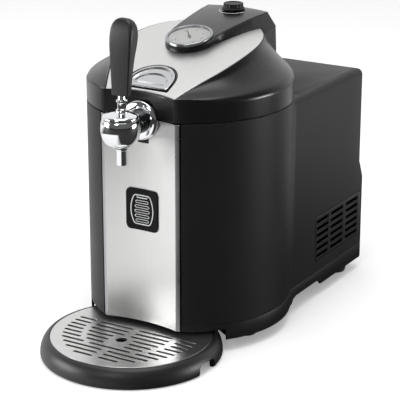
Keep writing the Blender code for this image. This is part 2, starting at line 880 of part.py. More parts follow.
for name, spot in foot_spots.items():
    profile = [(0.0, -FOOT_H), (FOOT_LOW_R - FOOT_BEVEL, -FOOT_H), (FOOT_LOW_R, FOOT_BEVEL - FOOT_H),
               (FOOT_TOP_R, -GAP), (0.0, -GAP)]
    foot = finish(revolve(profile, SEG_SMALL), name, "rubber")
    foot.location = (spot[0], spot[1], 0.0)

# Housing: one shell, round barrel and square box
outer_high = cabinet_half(BOX_REAR_HIGH_Y)
inner_high = cabinet_half(BOX_REAR_HIGH_Y, wall=WALL)
housing_low = BASE_H + GAP


def box_inset(half, distance):
    # Only the box part of the outline draws in, and never past the barrel's own wall
    full = cabinet_half(BOX_REAR_HIGH_Y, wall=distance, corner=max(BOX_CORNER_R - distance, BOX_CORNER_R / 5.0))
    out = []
    for k, p in enumerate(half):
        if k <= CIRCLE_END or distance == 0.0:
            out.append(p)
            continue
        x, y = full[k]
        grow = max(1.0, BODY_R / math.hypot(x, y))
        out.append((x * grow, y * grow))
    return out


rings = [at_z(outer_low, housing_low), at_z(outer_low, BOX_STEP_LOW_Z), at_z(outer_high, BOX_STEP_HIGH_Z),
         at_z(outer_high, BOX_TOP_Z - BOX_FILLET)]
for k in range(1, 5):
    a = math.radians(90.0 * k / 4.0)
    rings.append(at_z(box_inset(outer_high, BOX_FILLET * (1.0 - math.cos(a))),
                      BOX_TOP_Z - BOX_FILLET * (1.0 - math.sin(a))))
top_flat = box_inset(outer_high, BOX_FILLET)
outer_circle = polar_on(top_flat, BODY_R, CIRCLE_END + 1)
inner_share = (BODY_R - WALL) / BODY_R
inner_circle = inner_high[:CIRCLE_END + 1] + [(x * inner_share, y * inner_share) for x, y in outer_circle[CIRCLE_END + 1:]]
rings.append(at_z(outer_circle, BOX_TOP_Z))
rings.append(at_z(outer_circle, SEAM_Z))
rings.append(at_z(inner_circle, SEAM_Z))
rings.append(at_z(inner_circle, BOX_TOP_Z - CEILING_T))
rings.append(at_z(inner_high, BOX_TOP_Z - CEILING_T))
rings.append(at_z(inner_high, BOX_STEP_HIGH_Z))
rings.append(at_z(inner_low, BOX_STEP_LOW_Z))
rings.append(at_z(inner_low, housing_low))
bm = loft(rings, closed=True)


def cover_half(grow, sink=0.0):
    half_w = COVER_HALF_W + grow
    front_r = COVER_FRONT_R - grow
    side_y = COVER_SIDE_Y - grow
    rear = COVER_REAR_Y + grow
    start = math.degrees(math.asin(side_y / front_r))
    half = [(0.0, front_r)]
    half += arc(0.0, 0.0, front_r, 90.0, start, 8)[1:]
    half += [(half_w, side_y)]
    half += arc(half_w - COVER_CORNER, rear - COVER_CORNER, COVER_CORNER, 0.0, 90.0, 3)
    half += [(0.0, rear)]
    return half


pocket = loft([at_z(cover_half(GAP), BOX_TOP_Z - COVER_T - GAP), at_z(cover_half(GAP), SEAM_Z + COVER_T)])
opening = loft([at_z(cover_half(-COVER_LEDGE), BOX_TOP_Z - BOX_FILLET * 2.0),
                at_z(cover_half(-COVER_LEDGE), SEAM_Z + COVER_T)])
grille_openings = []
for side in (-1.0, 1.0):
    x_in = side * (BOX_HALF_W - WALL * 2.0)
    x_out = side * (BOX_HALF_W + WALL)
    deep = rounded_rectangle(GRILLE_FRONT_Y + GRILLE_LIP, GRILLE_REAR_Y - GRILLE_LIP,
                             GRILLE_LOW_Z + GRILLE_LIP, GRILLE_HIGH_Z - GRILLE_LIP, GRILLE_CORNER / 2.0)
    seat = rounded_rectangle(GRILLE_FRONT_Y - GAP, GRILLE_REAR_Y + GAP,
                             GRILLE_LOW_Z - GAP, GRILLE_HIGH_Z + GAP, GRILLE_CORNER)
    grille_openings.append(prism(deep, min(x_in, x_out), max(x_in, x_out), "x"))
    seat_in = side * (BOX_HALF_W - GRILLE_T / 2.0 - GAP)
    grille_openings.append(prism(seat, min(seat_in, x_out), max(seat_in, x_out), "x"))
rear_deep = rounded_rectangle(-REAR_HALF_W + REAR_LIP, REAR_HALF_W - REAR_LIP,
                              REAR_LOW_Z + REAR_LIP, REAR_HIGH_Z - REAR_LIP, GRILLE_CORNER / 2.0)
rear_seat = rounded_rectangle(-REAR_HALF_W - GAP, REAR_HALF_W + GAP, REAR_LOW_Z - GAP, REAR_HIGH_Z + GAP,
                              GRILLE_CORNER)
rear_openings = [
    prism(rear_deep, BOX_REAR_HIGH_Y - WALL * 2.0, BOX_REAR_HIGH_Y + WALL, "y"),
    prism(rear_seat, BOX_REAR_HIGH_Y - REAR_T / 2.0 - GAP, BOX_REAR_HIGH_Y + WALL, "y"),
    box(INLET_X - INLET_W / 2.0 - GAP, INLET_X + INLET_W / 2.0 + GAP, BOX_REAR_LOW_Y - WALL * 2.0,
        BOX_REAR_LOW_Y + WALL, INLET_Z - INLET_H / 2.0 - GAP, INLET_Z + INLET_H / 2.0 + GAP),
    box(SWITCH_X - SWITCH_W / 2.0 - SWITCH_CLEAR, SWITCH_X + SWITCH_W / 2.0 + SWITCH_CLEAR,
        BOX_REAR_LOW_Y - WALL * 2.0, BOX_REAR_LOW_Y + WALL, SWITCH_Z - SWITCH_H / 2.0 - SWITCH_CLEAR,
        SWITCH_Z + SWITCH_H / 2.0 + SWITCH_CLEAR),
]
shank_notch = prism(
    [(NOTCH_HALF_W, SEAM_Z + WALL), (-NOTCH_HALF_W, SEAM_Z + WALL), (-NOTCH_HALF_W, TAP_Z)]
    + arc(0.0, TAP_Z, NOTCH_HALF_W, 180.0, 360.0, 10), -BODY_R, -INNER_FRONT_Y + WALL, "y")
bm = cut(bm, [pocket, opening] + grille_openings + rear_openings + [shank_notch])
strikes = []
for side in (-1.0, 1.0):
    x_a = side * (LATCH_X - LATCH_HALF_W - GAP)
    x_b = side * (LATCH_X + LATCH_HALF_W + GAP)
    strikes.append(box(min(x_a, x_b), max(x_a, x_b), -INNER_FRONT_Y - WALL / 2.0, -STRIKE_Y, STRIKE_LOW_Z, STRIKE_HIGH_Z))
bm = join(bm, strikes)
finish(bm, "housing", "black_plastic")

bm = loft([at_z(cover_half(0.0), BOX_TOP_Z - COVER_T), at_z(cover_half(0.0), BOX_TOP_Z)])
finish(bm, "top_cover", "black_plastic")

# Side grilles, the same piece mirrored by its own sizes
for side, name in ((-1.0, "side_grille_left"), (1.0, "side_grille_right")):
    face = rounded_rectangle(GRILLE_FRONT_Y, GRILLE_REAR_Y, GRILLE_LOW_Z, GRILLE_HIGH_Z, GRILLE_CORNER)
    x_a = side * (BOX_HALF_W - GRILLE_T / 2.0)
    x_b = side * (BOX_HALF_W + GRILLE_PROUD)
    bm = prism(face, min(x_a, x_b), max(x_a, x_b), "x")
    slots = []
    for start, end in SLOT_COLUMNS:
        for row in range(SLOT_ROWS):
            z = SLOT_LOW_Z + SLOT_PITCH * row
            low = side * (BOX_HALF_W - GRILLE_T)
            high = side * (BOX_HALF_W + GRILLE_T)
            slots.append(box(min(low, high), max(low, high), start, end, z - SLOT_H / 2.0, z + SLOT_H / 2.0))
    finish(cut(bm, [merged(slots)]), name, "black_plastic")

# Rear panel
face = rounded_rectangle(-REAR_HALF_W, REAR_HALF_W, REAR_LOW_Z, REAR_HIGH_Z, GRILLE_CORNER)
bm = prism(face, BOX_REAR_HIGH_Y - REAR_T / 2.0, BOX_REAR_HIGH_Y + GRILLE_PROUD, "y")
slots = []
for centre in (-REAR_SLOT_X, REAR_SLOT_X):
    for row in range(REAR_SLOT_ROWS):
        z = REAR_SLOT_LOW_Z + REAR_SLOT_PITCH * row
        slots.append(box(centre - REAR_SLOT_HALF_W, centre + REAR_SLOT_HALF_W, BOX_REAR_HIGH_Y - REAR_T,
                         BOX_REAR_HIGH_Y + REAR_T, z - REAR_SLOT_H / 2.0, z + REAR_SLOT_H / 2.0))
finish(cut(bm, [merged(slots)]), "rear_panel", "black_plastic")

# Power inlet: a flanged socket with its two contact pins
rim_y = BOX_REAR_LOW_Y + GAP
bm = box(INLET_X - INLET_W / 2.0 - INLET_RIM, INLET_X + INLET_W / 2.0 + INLET_RIM, rim_y, rim_y + INLET_RIM_T,
         INLET_Z - INLET_H / 2.0 - INLET_RIM, INLET_Z + INLET_H / 2.0 + INLET_RIM)
well = box(INLET_X - INLET_W / 2.0, INLET_X + INLET_W / 2.0, BOX_REAR_LOW_Y - INLET_DEPTH, rim_y + INLET_RIM_T / 2.0,
           INLET_Z - INLET_H / 2.0, INLET_Z + INLET_H / 2.0)
bm = join(bm, [well])
hollow = box(INLET_X - INLET_W / 2.0 + INLET_WALL, INLET_X + INLET_W / 2.0 - INLET_WALL,
             BOX_REAR_LOW_Y - INLET_DEPTH + INLET_BACK_T, rim_y + INLET_RIM_T * 2.0,
             INLET_Z - INLET_H / 2.0 + INLET_WALL, INLET_Z + INLET_H / 2.0 - INLET_WALL)
bm = cut(bm, [hollow])
pins = []
for side in (-1.0, 1.0):
    pin = revolve([(0.0, 0.0), (INLET_PIN_R, 0.0), (INLET_PIN_R, INLET_PIN_L), (0.0, INLET_PIN_L)], SEG_PIN)
    pin = turned(pin, "X", -90.0)
    pins.append(moved(pin, INLET_X + side * INLET_PIN_X, BOX_REAR_LOW_Y - INLET_DEPTH + INLET_BACK_T / 2.0, INLET_Z))
bm = join(bm, pins)
finish(bm, "power_inlet", "black_plastic")

# Rocker switch: its two halves slope away from a crease on the axis
pivot_y = BOX_REAR_LOW_Y - SWITCH_PIVOT_IN
half_sw = SWITCH_W / 2.0
profile = [(-half_sw, -SWITCH_PIVOT_IN), (half_sw, -SWITCH_PIVOT_IN), (half_sw, SWITCH_PIVOT_IN),
           (0.0, SWITCH_PIVOT_IN + SWITCH_CREASE), (SWITCH_ROUND - half_sw, SWITCH_PIVOT_IN + SWITCH_PROUD),
           (-half_sw, SWITCH_PIVOT_IN)]
bm = prism(profile, -SWITCH_H / 2.0, SWITCH_H / 2.0, "z")
switch = finish(bm, "power_switch", "gloss_black")
switch.location = (SWITCH_X, pivot_y, SWITCH_Z)

# Front panel: a folded sheet
sheet = [(PANEL_HALF_W * k / 7.0, front_arc_y(PANEL_HALF_W * k / 7.0)) for k in range(8)]
edge_y = -math.sqrt(BODY_R ** 2 - PANEL_EDGE_W ** 2)
middle_x = (PANEL_HALF_W + PANEL_EDGE_W) / 2.0
sheet += [(middle_x, -math.sqrt(BODY_R ** 2 - middle_x ** 2)), (PANEL_EDGE_W, edge_y), (PANEL_EDGE_W, -PANEL_FOLD_Y)]
back = [(PANEL_EDGE_W - PANEL_T, -PANEL_FOLD_Y), (PANEL_EDGE_W - PANEL_T, edge_y + PANEL_T),
        (PANEL_HALF_W - PANEL_T / 4.0, front_arc_y(PANEL_HALF_W) + PANEL_T)]
back += [(PANEL_HALF_W * k / 7.0, front_arc_y(PANEL_HALF_W * k / 7.0, PANEL_T)) for k in range(6, -1, -1)]
half_line = sheet + back
outline = half_line + [(-x, y) for x, y in reversed(half_line[1:-1])]
# The closed outline runs along the face to the right fold, back to the centre, then along the left side
right_face = sheet
right_back = back
left_face = [(-x, y) for x, y in reversed(sheet[1:])]
left_back = [(-x, y) for x, y in reversed(back[:-1])]
outline = right_face + right_back + left_back + left_face
bm = prism(outline, PANEL_LOW_Z, SEAM_Z - PANEL_TOP_GAP)
panel_notch = box(-NOTCH_HALF_W, NOTCH_HALF_W, -BODY_R, -INNER_FRONT_Y, NOTCH_LOW_Z, SEAM_Z + WALL)
finish(cut(bm, [panel_notch]), "front_panel", "steel")

# Indicator window, bent to the panel's curve
window = rounded_rectangle(-WINDOW_HALF_W, WINDOW_HALF_W, WINDOW_Z - WINDOW_HALF_H, WINDOW_Z + WINDOW_HALF_H,
                           WINDOW_CORNER_R, 4)
blank = []
steps = 10
for k in range(steps + 1):
    x = -WINDOW_HALF_W + 2.0 * WINDOW_HALF_W * k / steps
    blank.append((x, front_arc_y(x, -WINDOW_T - GAP)))
for k in range(steps, -1, -1):
    x = -WINDOW_HALF_W + 2.0 * WINDOW_HALF_W * k / steps
    blank.append((x, front_arc_y(x, -GAP)))
bm = prism(blank, WINDOW_Z - WINDOW_HALF_H, WINDOW_Z + WINDOW_HALF_H)
corner_cutters = []
for sx in (-1.0, 1.0):
    for sz in (-1.0, 1.0):
        cx = sx * (WINDOW_HALF_W - WINDOW_CORNER_R)
        cz = WINDOW_Z + sz * (WINDOW_HALF_H - WINDOW_CORNER_R)
        far_x = sx * (WINDOW_HALF_W + WINDOW_CORNER_R)
        far_z = WINDOW_Z + sz * (WINDOW_HALF_H + WINDOW_CORNER_R)
        curve = [(cx + sx * WINDOW_CORNER_R * math.sin(math.radians(a)),
                  cz + sz * WINDOW_CORNER_R * math.cos(math.radians(a))) for a in (0.0, 22.5, 45.0, 67.5, 90.0)]
        shape = [(cx, far_z)] + curve + [(far_x, cz), (far_x, far_z)]
        if sx * sz < 0.0:
            shape.reverse()
        corner_cutters.append(prism(shape, -BODY_R, -INNER_FRONT_Y, "y"))
finish(cut(bm, corner_cutters), "indicator_window", "gloss_black")

# Chamber cup
deep_r = CHAMBER_R
profile = [(0.0, CHAMBER_FLOOR_Z - CHAMBER_T), (deep_r - CHAMBER_ROUND, CHAMBER_FLOOR_Z - CHAMBER_T)]
profile += [(r, z) for r, z in arc(deep_r - CHAMBER_ROUND, CHAMBER_FLOOR_Z + CHAMBER_ROUND,
                                   CHAMBER_ROUND + CHAMBER_T, -90.0, 0.0, 3)[1:]]
profile += [(deep_r + CHAMBER_T, CHAMBER_TOP_Z), (deep_r, CHAMBER_TOP_Z)]
profile += [(r, z) for r, z in arc(deep_r - CHAMBER_ROUND, CHAMBER_FLOOR_Z + CHAMBER_ROUND,
                                   CHAMBER_ROUND, 0.0, -90.0, 3)]
profile += [(0.0, CHAMBER_FLOOR_Z)]
finish(revolve(profile, SEG), "chamber", "aluminium")

# Insulation jacket


def clipped_half(radius, front_y, steps):
    start = -math.degrees(math.asin(front_y / radius))
    x0 = radius * math.cos(math.radians(start))
    half = [(x0 * k / 6.0, -front_y) for k in range(6)]
    return half + [(x if k < steps else 0.0, y) for k, (x, y) in enumerate(arc(0.0, 0.0, radius, start, 90.0, steps))]


foam_out = clipped_half(FOAM_OUT_R, FOAM_FRONT_Y, 16)
foam_in = [(x * (CHAMBER_R + CHAMBER_T + GAP) / math.hypot(x, y), y * (CHAMBER_R + CHAMBER_T + GAP) / math.hypot(x, y))
           for x, y in foam_out]
foam_top = CHAMBER_TOP_Z - GAP
bm = loft([at_z(foam_in, CHAMBER_FLOOR_Z - CHAMBER_T - GAP), at_z(foam_in, foam_top), at_z(foam_out, foam_top),
           at_z(foam_out, FOAM_LOW_Z)])
foam_window = box(-FOAM_WINDOW_HALF_W, FOAM_WINDOW_HALF_W, 0.0, FOAM_WINDOW_REACH, FOAM_WINDOW_LOW_Z,
                  FOAM_WINDOW_HIGH_Z)
finish(cut(bm, [foam_window]), "insulation", "foam")

# Deck ring: a flat collar with a raised inner lip
deck_out = clipped_half(DECK_OUT_R, DECK_FRONT_Y, 16)


def on_radius(half, radius):
    return [(x * radius / math.hypot(x, y), y * radius / math.hypot(x, y)) for x, y in half]


deck_low = CHAMBER_TOP_Z + GAP
deck_high = deck_low + DECK_RING_T
bm = loft([
    at_z(on_radius(deck_out, DECK_IN_R), deck_low), at_z(deck_out, deck_low), at_z(deck_out, deck_high),
    at_z(on_radius(deck_out, DECK_LIP_R), deck_high), at_z(on_radius(deck_out, DECK_LIP_R), deck_high + DECK_LIP_H),
    at_z(on_radius(deck_out, DECK_IN_R), deck_high + DECK_LIP_H),
], closed=True)
finish(bm, "deck_ring", "black_plastic")

# Cold block against the chamber wall
contact_r = CHAMBER_R + CHAMBER_T + GAP
steps = 8
shape = []
for k in range(steps + 1):
    x = -COLD_HALF_W + 2.0 * COLD_HALF_W * k / steps
    shape.append((x, math.sqrt(contact_r ** 2 - x ** 2)))
shape += [(COLD_HALF_W, COLD_REAR_Y), (-COLD_HALF_W, COLD_REAR_Y)]
finish(prism(shape, COLD_LOW_Z, COLD_HIGH_Z), "cold_block", "aluminium")
peltier_y = COLD_REAR_Y + GAP
finish(box(-COLD_HALF_W, COLD_HALF_W, peltier_y, peltier_y + PELTIER_T, FAN_Z - COLD_HALF_W, FAN_Z + COLD_HALF_W),
       "peltier_module", "white_plastic")

# Heat sink: one comb outline run up its height
sink_y = peltier_y + PELTIER_T + GAP
fin_root = sink_y + SINK_BASE_T
fin_tip = fin_root + SINK_FIN_L
shape = [(-SINK_HALF_W, sink_y), (SINK_HALF_W, sink_y)]
pitch = (2.0 * SINK_HALF_W - SINK_FIN_T) / (SINK_FINS - 1)
for k in range(SINK_FINS - 1, -1, -1):
    left = -SINK_HALF_W + pitch * k
    right = left + SINK_FIN_T
    if k < SINK_FINS - 1:
        shape.append((right, fin_root))
    shape += [(right, fin_tip), (left, fin_tip)]
    if k > 0:
        shape.append((left, fin_root))
sink_bm = prism(shape, SINK_LOW_Z, SINK_HIGH_Z)
clearance = loft([at_z(clipped_half(FOAM_OUT_R + GAP * 3.0, FOAM_FRONT_Y, 16), SINK_LOW_Z - WALL),
                  at_z(clipped_half(FOAM_OUT_R + GAP * 3.0, FOAM_FRONT_Y, 16), SINK_HIGH_Z + WALL)])
pad = box(-FOAM_WINDOW_HALF_W + GAP, FOAM_WINDOW_HALF_W - GAP, 0.0, FOAM_WINDOW_REACH, FOAM_WINDOW_LOW_Z + GAP,
          FOAM_WINDOW_HIGH_Z - GAP)
finish(cut(sink_bm, [cut(clearance, [pad])]), "heat_sink", "aluminium")

# Fan frame
fan_y = fin_tip + GAP
frame = prism(rounded_rectangle(-FAN_HALF_W, FAN_HALF_W, FAN_Z - FAN_HALF_W, FAN_Z + FAN_HALF_W, FAN_CORNER),
              fan_y, fan_y + FAN_T, "y")


def fan_cylinder(radius, start, end, steps=SEG_MID):
    solid = revolve([(0.0, 0.0), (radius, 0.0), (radius, end - start), (0.0, end - start)], steps)
    return moved(turned(solid, "X", -90.0), 0.0, start, FAN_Z)


frame = cut(frame, [fan_cylinder(FAN_BORE_R, fan_y - WALL, fan_y + FAN_T + WALL, SEG)])
strut_y = fan_y + FAN_T - FAN_STRUT_T
hub_solid = fan_cylinder(FAN_HUB_R, strut_y, fan_y + FAN_T)
cross_a = box(-FAN_BORE_R - WALL / 2.0, FAN_BORE_R + WALL / 2.0, strut_y, fan_y + FAN_T - GAP,
              FAN_Z - FAN_STRUT_W / 2.0, FAN_Z + FAN_STRUT_W / 2.0)
cross_b = box(-FAN_STRUT_W / 2.0, FAN_STRUT_W / 2.0, strut_y, fan_y + FAN_T - GAP,
              FAN_Z - FAN_BORE_R - WALL / 2.0, FAN_Z + FAN_BORE_R + WALL / 2.0)
finish(join(frame, [hub_solid, cross_a, cross_b]), "fan_frame", "black_plastic")

# Fan rotor: hub and set blades, origin on its axis
rotor = revolve([(0.0, 0.0), (FAN_ROTOR_HUB_R, 0.0), (FAN_ROTOR_HUB_R, FAN_ROTOR_T), (0.0, FAN_ROTOR_T)], SEG_MID)
blades = []
for k in range(FAN_BLADES):
    blade = box(FAN_ROTOR_HUB_R - WALL, FAN_ROTOR_R, -FAN_ROTOR_T * 0.78, FAN_ROTOR_T * 0.78,
                -FAN_BLADE_T / 2.0, FAN_BLADE_T / 2.0)
    blade = turned(blade, "X", FAN_BLADE_ANGLE_DEG)
    blade = moved(blade, 0.0, 0.0, FAN_ROTOR_T / 2.0)
    blades.append(turned(blade, "Z", 360.0 * k / FAN_BLADES))
rotor = join(rotor, blades)
rotor = turned(rotor, "X", -90.0)
fan = finish(rotor, "fan_rotor", "black_plastic")
fan.location = (0.0, fan_y + WALL / 2.0, FAN_Z)

# Power board with its two biggest parts, standing on the deck
board_low = DECK_HIGH_Z + GAP
bm = box(-BOARD_HALF_W, BOARD_HALF_W, BOARD_Y, BOARD_Y + BOARD_T, board_low, board_low + BOARD_H)
block = box(-BOARD_PART * 2.0, -BOARD_PART, BOARD_Y - BOARD_PART_H, BOARD_Y + BOARD_T / 2.0,
            board_low + BOARD_PART / 2.0, board_low + BOARD_PART * 1.5)
can = revolve([(0.0, 0.0), (BOARD_CAN_R, 0.0), (BOARD_CAN_R, BOARD_PART_H), (0.0, BOARD_PART_H)], SEG_SMALL)
can = moved(turned(can, "X", 90.0), BOARD_PART, BOARD_Y + BOARD_T / 2.0, board_low + BOARD_PART)
finish(join(bm, [block, can]), "power_board", "board_green")

# Drip tray and its grille, origin at the tray's centre
profile = [(0.0, -TRAY_UNDER_Z), (TRAY_GUTTER_R - WALL / 2.0, -TRAY_UNDER_Z), (TRAY_GUTTER_R, TRAY_GUTTER_Z),
           (TRAY_GUTTER_OUT_R, TRAY_GUTTER_Z), (TRAY_MID_R - TRAY_WALL, -TRAY_MID_Z),
           (TRAY_SKIRT_R - TRAY_WALL, -FOOT_H), (TRAY_SKIRT_R, -FOOT_H), (TRAY_MID_R, -TRAY_MID_Z),
           (TRAY_RIM_R, TRAY_TOP_Z - GAP * 2.0), (TRAY_RIM_R - GAP * 2.0, TRAY_TOP_Z), (TRAY_LEDGE_R, TRAY_TOP_Z),
           (TRAY_LEDGE_R, TRAY_LEDGE_Z), (TRAY_BASIN_R, TRAY_LEDGE_Z), (TRAY_FLOOR_R, -TRAY_FLOOR_Z),
           (0.0, -TRAY_FLOOR_Z)]
bm = revolve(profile, SEG_MID * 2)
scoops = []
for side in (-1.0, 1.0):
    shape = rounded_rectangle(TRAY_Y - SCOOP_FRONT_Y, TRAY_Y - SCOOP_REAR_Y, -SCOOP_LOW_Z, -SCOOP_HIGH_Z,
                              GRILLE_CORNER / 2.0)
    scoops.append(prism(shape, min(side * SCOOP_IN_X, side * SCOOP_OUT_X), max(side * SCOOP_IN_X, side * SCOOP_OUT_X),
                        "x"))
tray = finish(cut(bm, scoops), "tray_body", "black_plastic")
tray.location = (0.0, -TRAY_Y, 0.0)

profile = [(0.0, PLATE_LOW_Z), (PLATE_R - GAP, PLATE_LOW_Z), (PLATE_R, PLATE_LOW_Z + GAP),
           (PLATE_R, PLATE_HIGH_Z - GAP), (PLATE_R - GAP, PLATE_HIGH_Z), (0.0, PLATE_HIGH_Z)]
bm = revolve(profile, SEG_MID * 2)
slots = []
for row, divider in enumerate(DIVIDER_X):
    y = TRAY_Y - (ROW_FIRST_Y + ROW_PITCH * row)
    reach = math.sqrt(SLOT_FIELD_R ** 2 - y ** 2)
    inner = DRAIN_CLEAR_X if row in DRAIN_ROWS else SLOT_CENTRE_GAP
    spans = []
    if divider > 0.0:
        outer_start = divider + DIVIDER_HALF_W
        inner_end = divider - DIVIDER_HALF_W
        spans += [(outer_start, reach), (-reach, -outer_start)]
        if row in BRIDGED_ROWS:
            spans.append((-inner_end, inner_end))
        else:
            spans += [(inner, inner_end), (-inner_end, -inner)]
    else:
        spans += [(inner, reach), (-reach, -inner)]
    for a, b in spans:
        slots.append(box(a, b, y - ROW_W / 2.0, y + ROW_W / 2.0, PLATE_LOW_Z - WALL, PLATE_HIGH_Z + WALL))
drain = revolve([(0.0, 0.0), (DRAIN_R, 0.0), (DRAIN_R, TRAY_TOP_Z * 2.0), (0.0, TRAY_TOP_Z * 2.0)], SEG_SMALL)
slots.append(moved(drain, 0.0, TRAY_Y - DRAIN_Y, 0.0))
grille = finish(cut(bm, [merged(slots)]), "drip_grille", "steel")
grille.location = (0.0, -TRAY_Y, 0.0)

# Lid: every piece hangs from an empty on the hinge axis
lid_pivot = bpy.data.objects.new("lid_pivot", None)
collection.objects.link(lid_pivot)
lid_pivot.parent = root
lid_pivot.location = (0.0, HINGE_Y, HINGE_Z)


def lid_piece(bm, name, look):
    obj = finish(bm, name, look, parent=lid_pivot)
    obj.location = (0.0, -HINGE_Y, -HINGE_Z)
    return obj


def lid_moving(bm, name, look, x, y, z):
    obj = finish(bm, name, look, parent=lid_pivot)
    obj.location = (x, y - HINGE_Y, z - HINGE_Z)
    return obj


# Lid outlines


def circle_through(x0, y0, x1, y1, radius):
    mx = (x0 + x1) / 2.0
    my = (y0 + y1) / 2.0
    dx = x1 - x0
    dy = y1 - y0
    half = math.hypot(dx, dy) / 2.0
    rise = math.sqrt(radius ** 2 - half ** 2)
    return (mx - dy / (2.0 * half) * rise, my + dx / (2.0 * half) * rise)


def arc_between(x0, y0, x1, y1, radius, steps):
    cx, cy = circle_through(x0, y0, x1, y1, radius)
    a0 = math.degrees(math.atan2(y0 - cy, x0 - cx))
    a1 = math.degrees(math.atan2(y1 - cy, x1 - cx))
    return arc(cx, cy, radius, a0, a1, steps)


def plate_half():
    half = [(PLATE_CORNER_X * k / 6.0, front_arc_y(PLATE_CORNER_X * k / 6.0, FRONT_SET)) for k in range(7)]
    half[6] = (PLATE_CORNER_X, -PLATE_CORNER_Y)
    for k in (1, 2, 3):
        half.append((PLATE_CORNER_X + (PLATE_SHOULDER_X - PLATE_CORNER_X) * k / 3.0,
                     -PLATE_CORNER_Y + (PLATE_CORNER_Y - PLATE_SHOULDER_Y) * k / 3.0))
    half += arc_between(PLATE_SHOULDER_X, -PLATE_SHOULDER_Y, PLATE_WIDE_X, -PLATE_WIDE_Y, PLATE_SIDE_R, 4)[1:]
    half += arc_between(PLATE_WIDE_X, -PLATE_WIDE_Y, PLATE_REAR_SIDE_X, PLATE_REAR_SIDE_Y, PLATE_REAR_R, 5)[1:]
    half += arc_between(PLATE_REAR_SIDE_X, PLATE_REAR_SIDE_Y, 0.0, PLATE_REAR_END_Y, PLATE_REAR_SIDE_X * 1.15, 6)[1:]
    half[-1] = (0.0, PLATE_REAR_END_Y)
    return half


FRONT_SET = 0.0005
PLATE_POINTS = 25


def rim_half(radius, front_back):
    # The rim's points pair with the plate's: seven on the concave front, then evenly round the circle
    half = [(PANEL_HALF_W * k / 6.0, front_arc_y(PANEL_HALF_W * k / 6.0, front_back)) for k in range(7)]
    start = -math.degrees(math.acos(PANEL_HALF_W / radius))
    sides = plate_half()[7:]
    total = len(sides)
    for k in range(total):
        a = math.radians(start + (90.0 - start) * (k + 1) / total)
        half.append((radius * math.cos(a) if k < total - 1 else 0.0, radius * math.sin(a)))
    return half


def rim_z(y):
    share = (-RIM_RISE_REAR_Y - y) / (RIM_RISE_FRONT_Y - RIM_RISE_REAR_Y)
    share = min(max(share, 0.0), 1.0)
    return RIM_Z + RIM_RISE * share * share * (3.0 - 2.0 * share)


def lid_rings(grow, top_drop):
    # Outer skin from the plate's edge down the flare to the lower edge of the band
    plate = inset(plate_half(), -grow)
    rim = rim_half(BODY_R + grow, -grow)
    rings = []
    for out, drop in zip(FLARE_OUT_SHARES, FLARE_DROP_SHARES):
        ring = []
        for (px, py), (rx, ry) in zip(plate, rim):
            x = px + (rx - px) * out
            y = py + (ry - py) * out
            z0 = crown_z(py) + grow - top_drop
            z1 = rim_z(ry) + grow
            ring.append((x, y, z0 + (z1 - z0) * drop))
        rings.append(ring)
    return rings


def lid_edge(grow):
    return at_z(rim_half(BODY_R + grow, -grow), LID_LOW_Z - grow)


outer_rings = lid_rings(0.0, 0.0)
seat_ring = [(x, y, crown_z(y) - PLATE_SEAT) for x, y in inset(plate_half(), GAP)]
inner_plate = inset(plate_half(), LID_WALL * 1.6)
inner_rim = rim_half(BODY_R - LID_WALL, LID_WALL)
inner_rings = []
for out, drop in zip(FLARE_OUT_SHARES[::2] + (1.0,), FLARE_DROP_SHARES[::2] + (1.0,)):
    ring = []
    for (px, py), (rx, ry) in zip(inner_plate, inner_rim):
        z0 = crown_z(py) - PLATE_SEAT - LID_WALL
        z1 = rim_z(ry) - LID_WALL
        ring.append((px + (rx - px) * out, py + (ry - py) * out, z0 + (z1 - z0) * drop))
    inner_rings.append(ring)
lid_sequence = [seat_ring] + outer_rings + [lid_edge(0.0), at_z(inner_rim, LID_LOW_Z)] + list(reversed(inner_rings))
lid_bm = loft(lid_sequence, front=7)


def hump_z(y):
    if y >= HUMP_FRONT_DROP_Y:
        return HUMP_TOP_APEX_Z - (HUMP_TOP_R - math.sqrt(HUMP_TOP_R ** 2 - (HUMP_TOP_APEX_Y - y) ** 2)) * HUMP_RISE_SHARE
    slope = math.tan(math.radians(GAUGE_TILT_DEG))
    return hump_z(HUMP_FRONT_DROP_Y) - (HUMP_FRONT_DROP_Y - y) * slope


HUMP_RISE_SHARE = 1.0


def hump_half(front_r, side_x, rear_r, rear_x, shrink=0.0):
    r = front_r - shrink
    half = [(r * math.sin(math.radians(a)), HUMP_FRONT_Y - r * math.cos(math.radians(a)))
            for a in (0.0, 18.0, 36.0, 54.0, 72.0)]
    half += [(x - shrink, y) for x, y in zip(side_x, HUMP_SIDE_Y)]
    rr = rear_r - shrink
    rx = rear_x - shrink
    start = math.degrees(math.acos(rx / rr))
    half += arc(0.0, 0.0, rr, start, 90.0, 5)
    half[-1] = (0.0, rr)
    return half


def hump_rings(shrink, top_drop):
    foot = hump_half(HUMP_FRONT_R, HUMP_FOOT_X, HUMP_REAR_R, HUMP_FOOT_REAR_X, shrink)
    top = hump_half(HUMP_FRONT_R, HUMP_TOP_X, HUMP_TOP_REAR_R, HUMP_TOP_REAR_X, shrink)
    edge = hump_half(HUMP_FRONT_R, HUMP_TOP_X, HUMP_TOP_REAR_R, HUMP_TOP_REAR_X, shrink + HUMP_EDGE)
    rings = [at_z(foot, HUMP_LOW_Z)]
    base_ring = [(x, y, min(crown_z(y), crown_z(0.0)) - WALL) for x, y in foot]
    if shrink == 0.0:
        rings.append([(x, y, z) for x, y, z in base_ring])
    rings.append([(x, y, hump_z(y) - HUMP_EDGE - top_drop) for x, y in top])
    if shrink == 0.0:
        middle = [((tx + (ex - tx) * 0.3), (ty + (ey - ty) * 0.3)) for (tx, ty), (ex, ey) in zip(top, edge)]
        rings.append([(x, y, hump_z(y) - HUMP_EDGE * 0.3) for x, y in middle])
        rings.append([(x, y, hump_z(y)) for x, y in edge])
    return rings


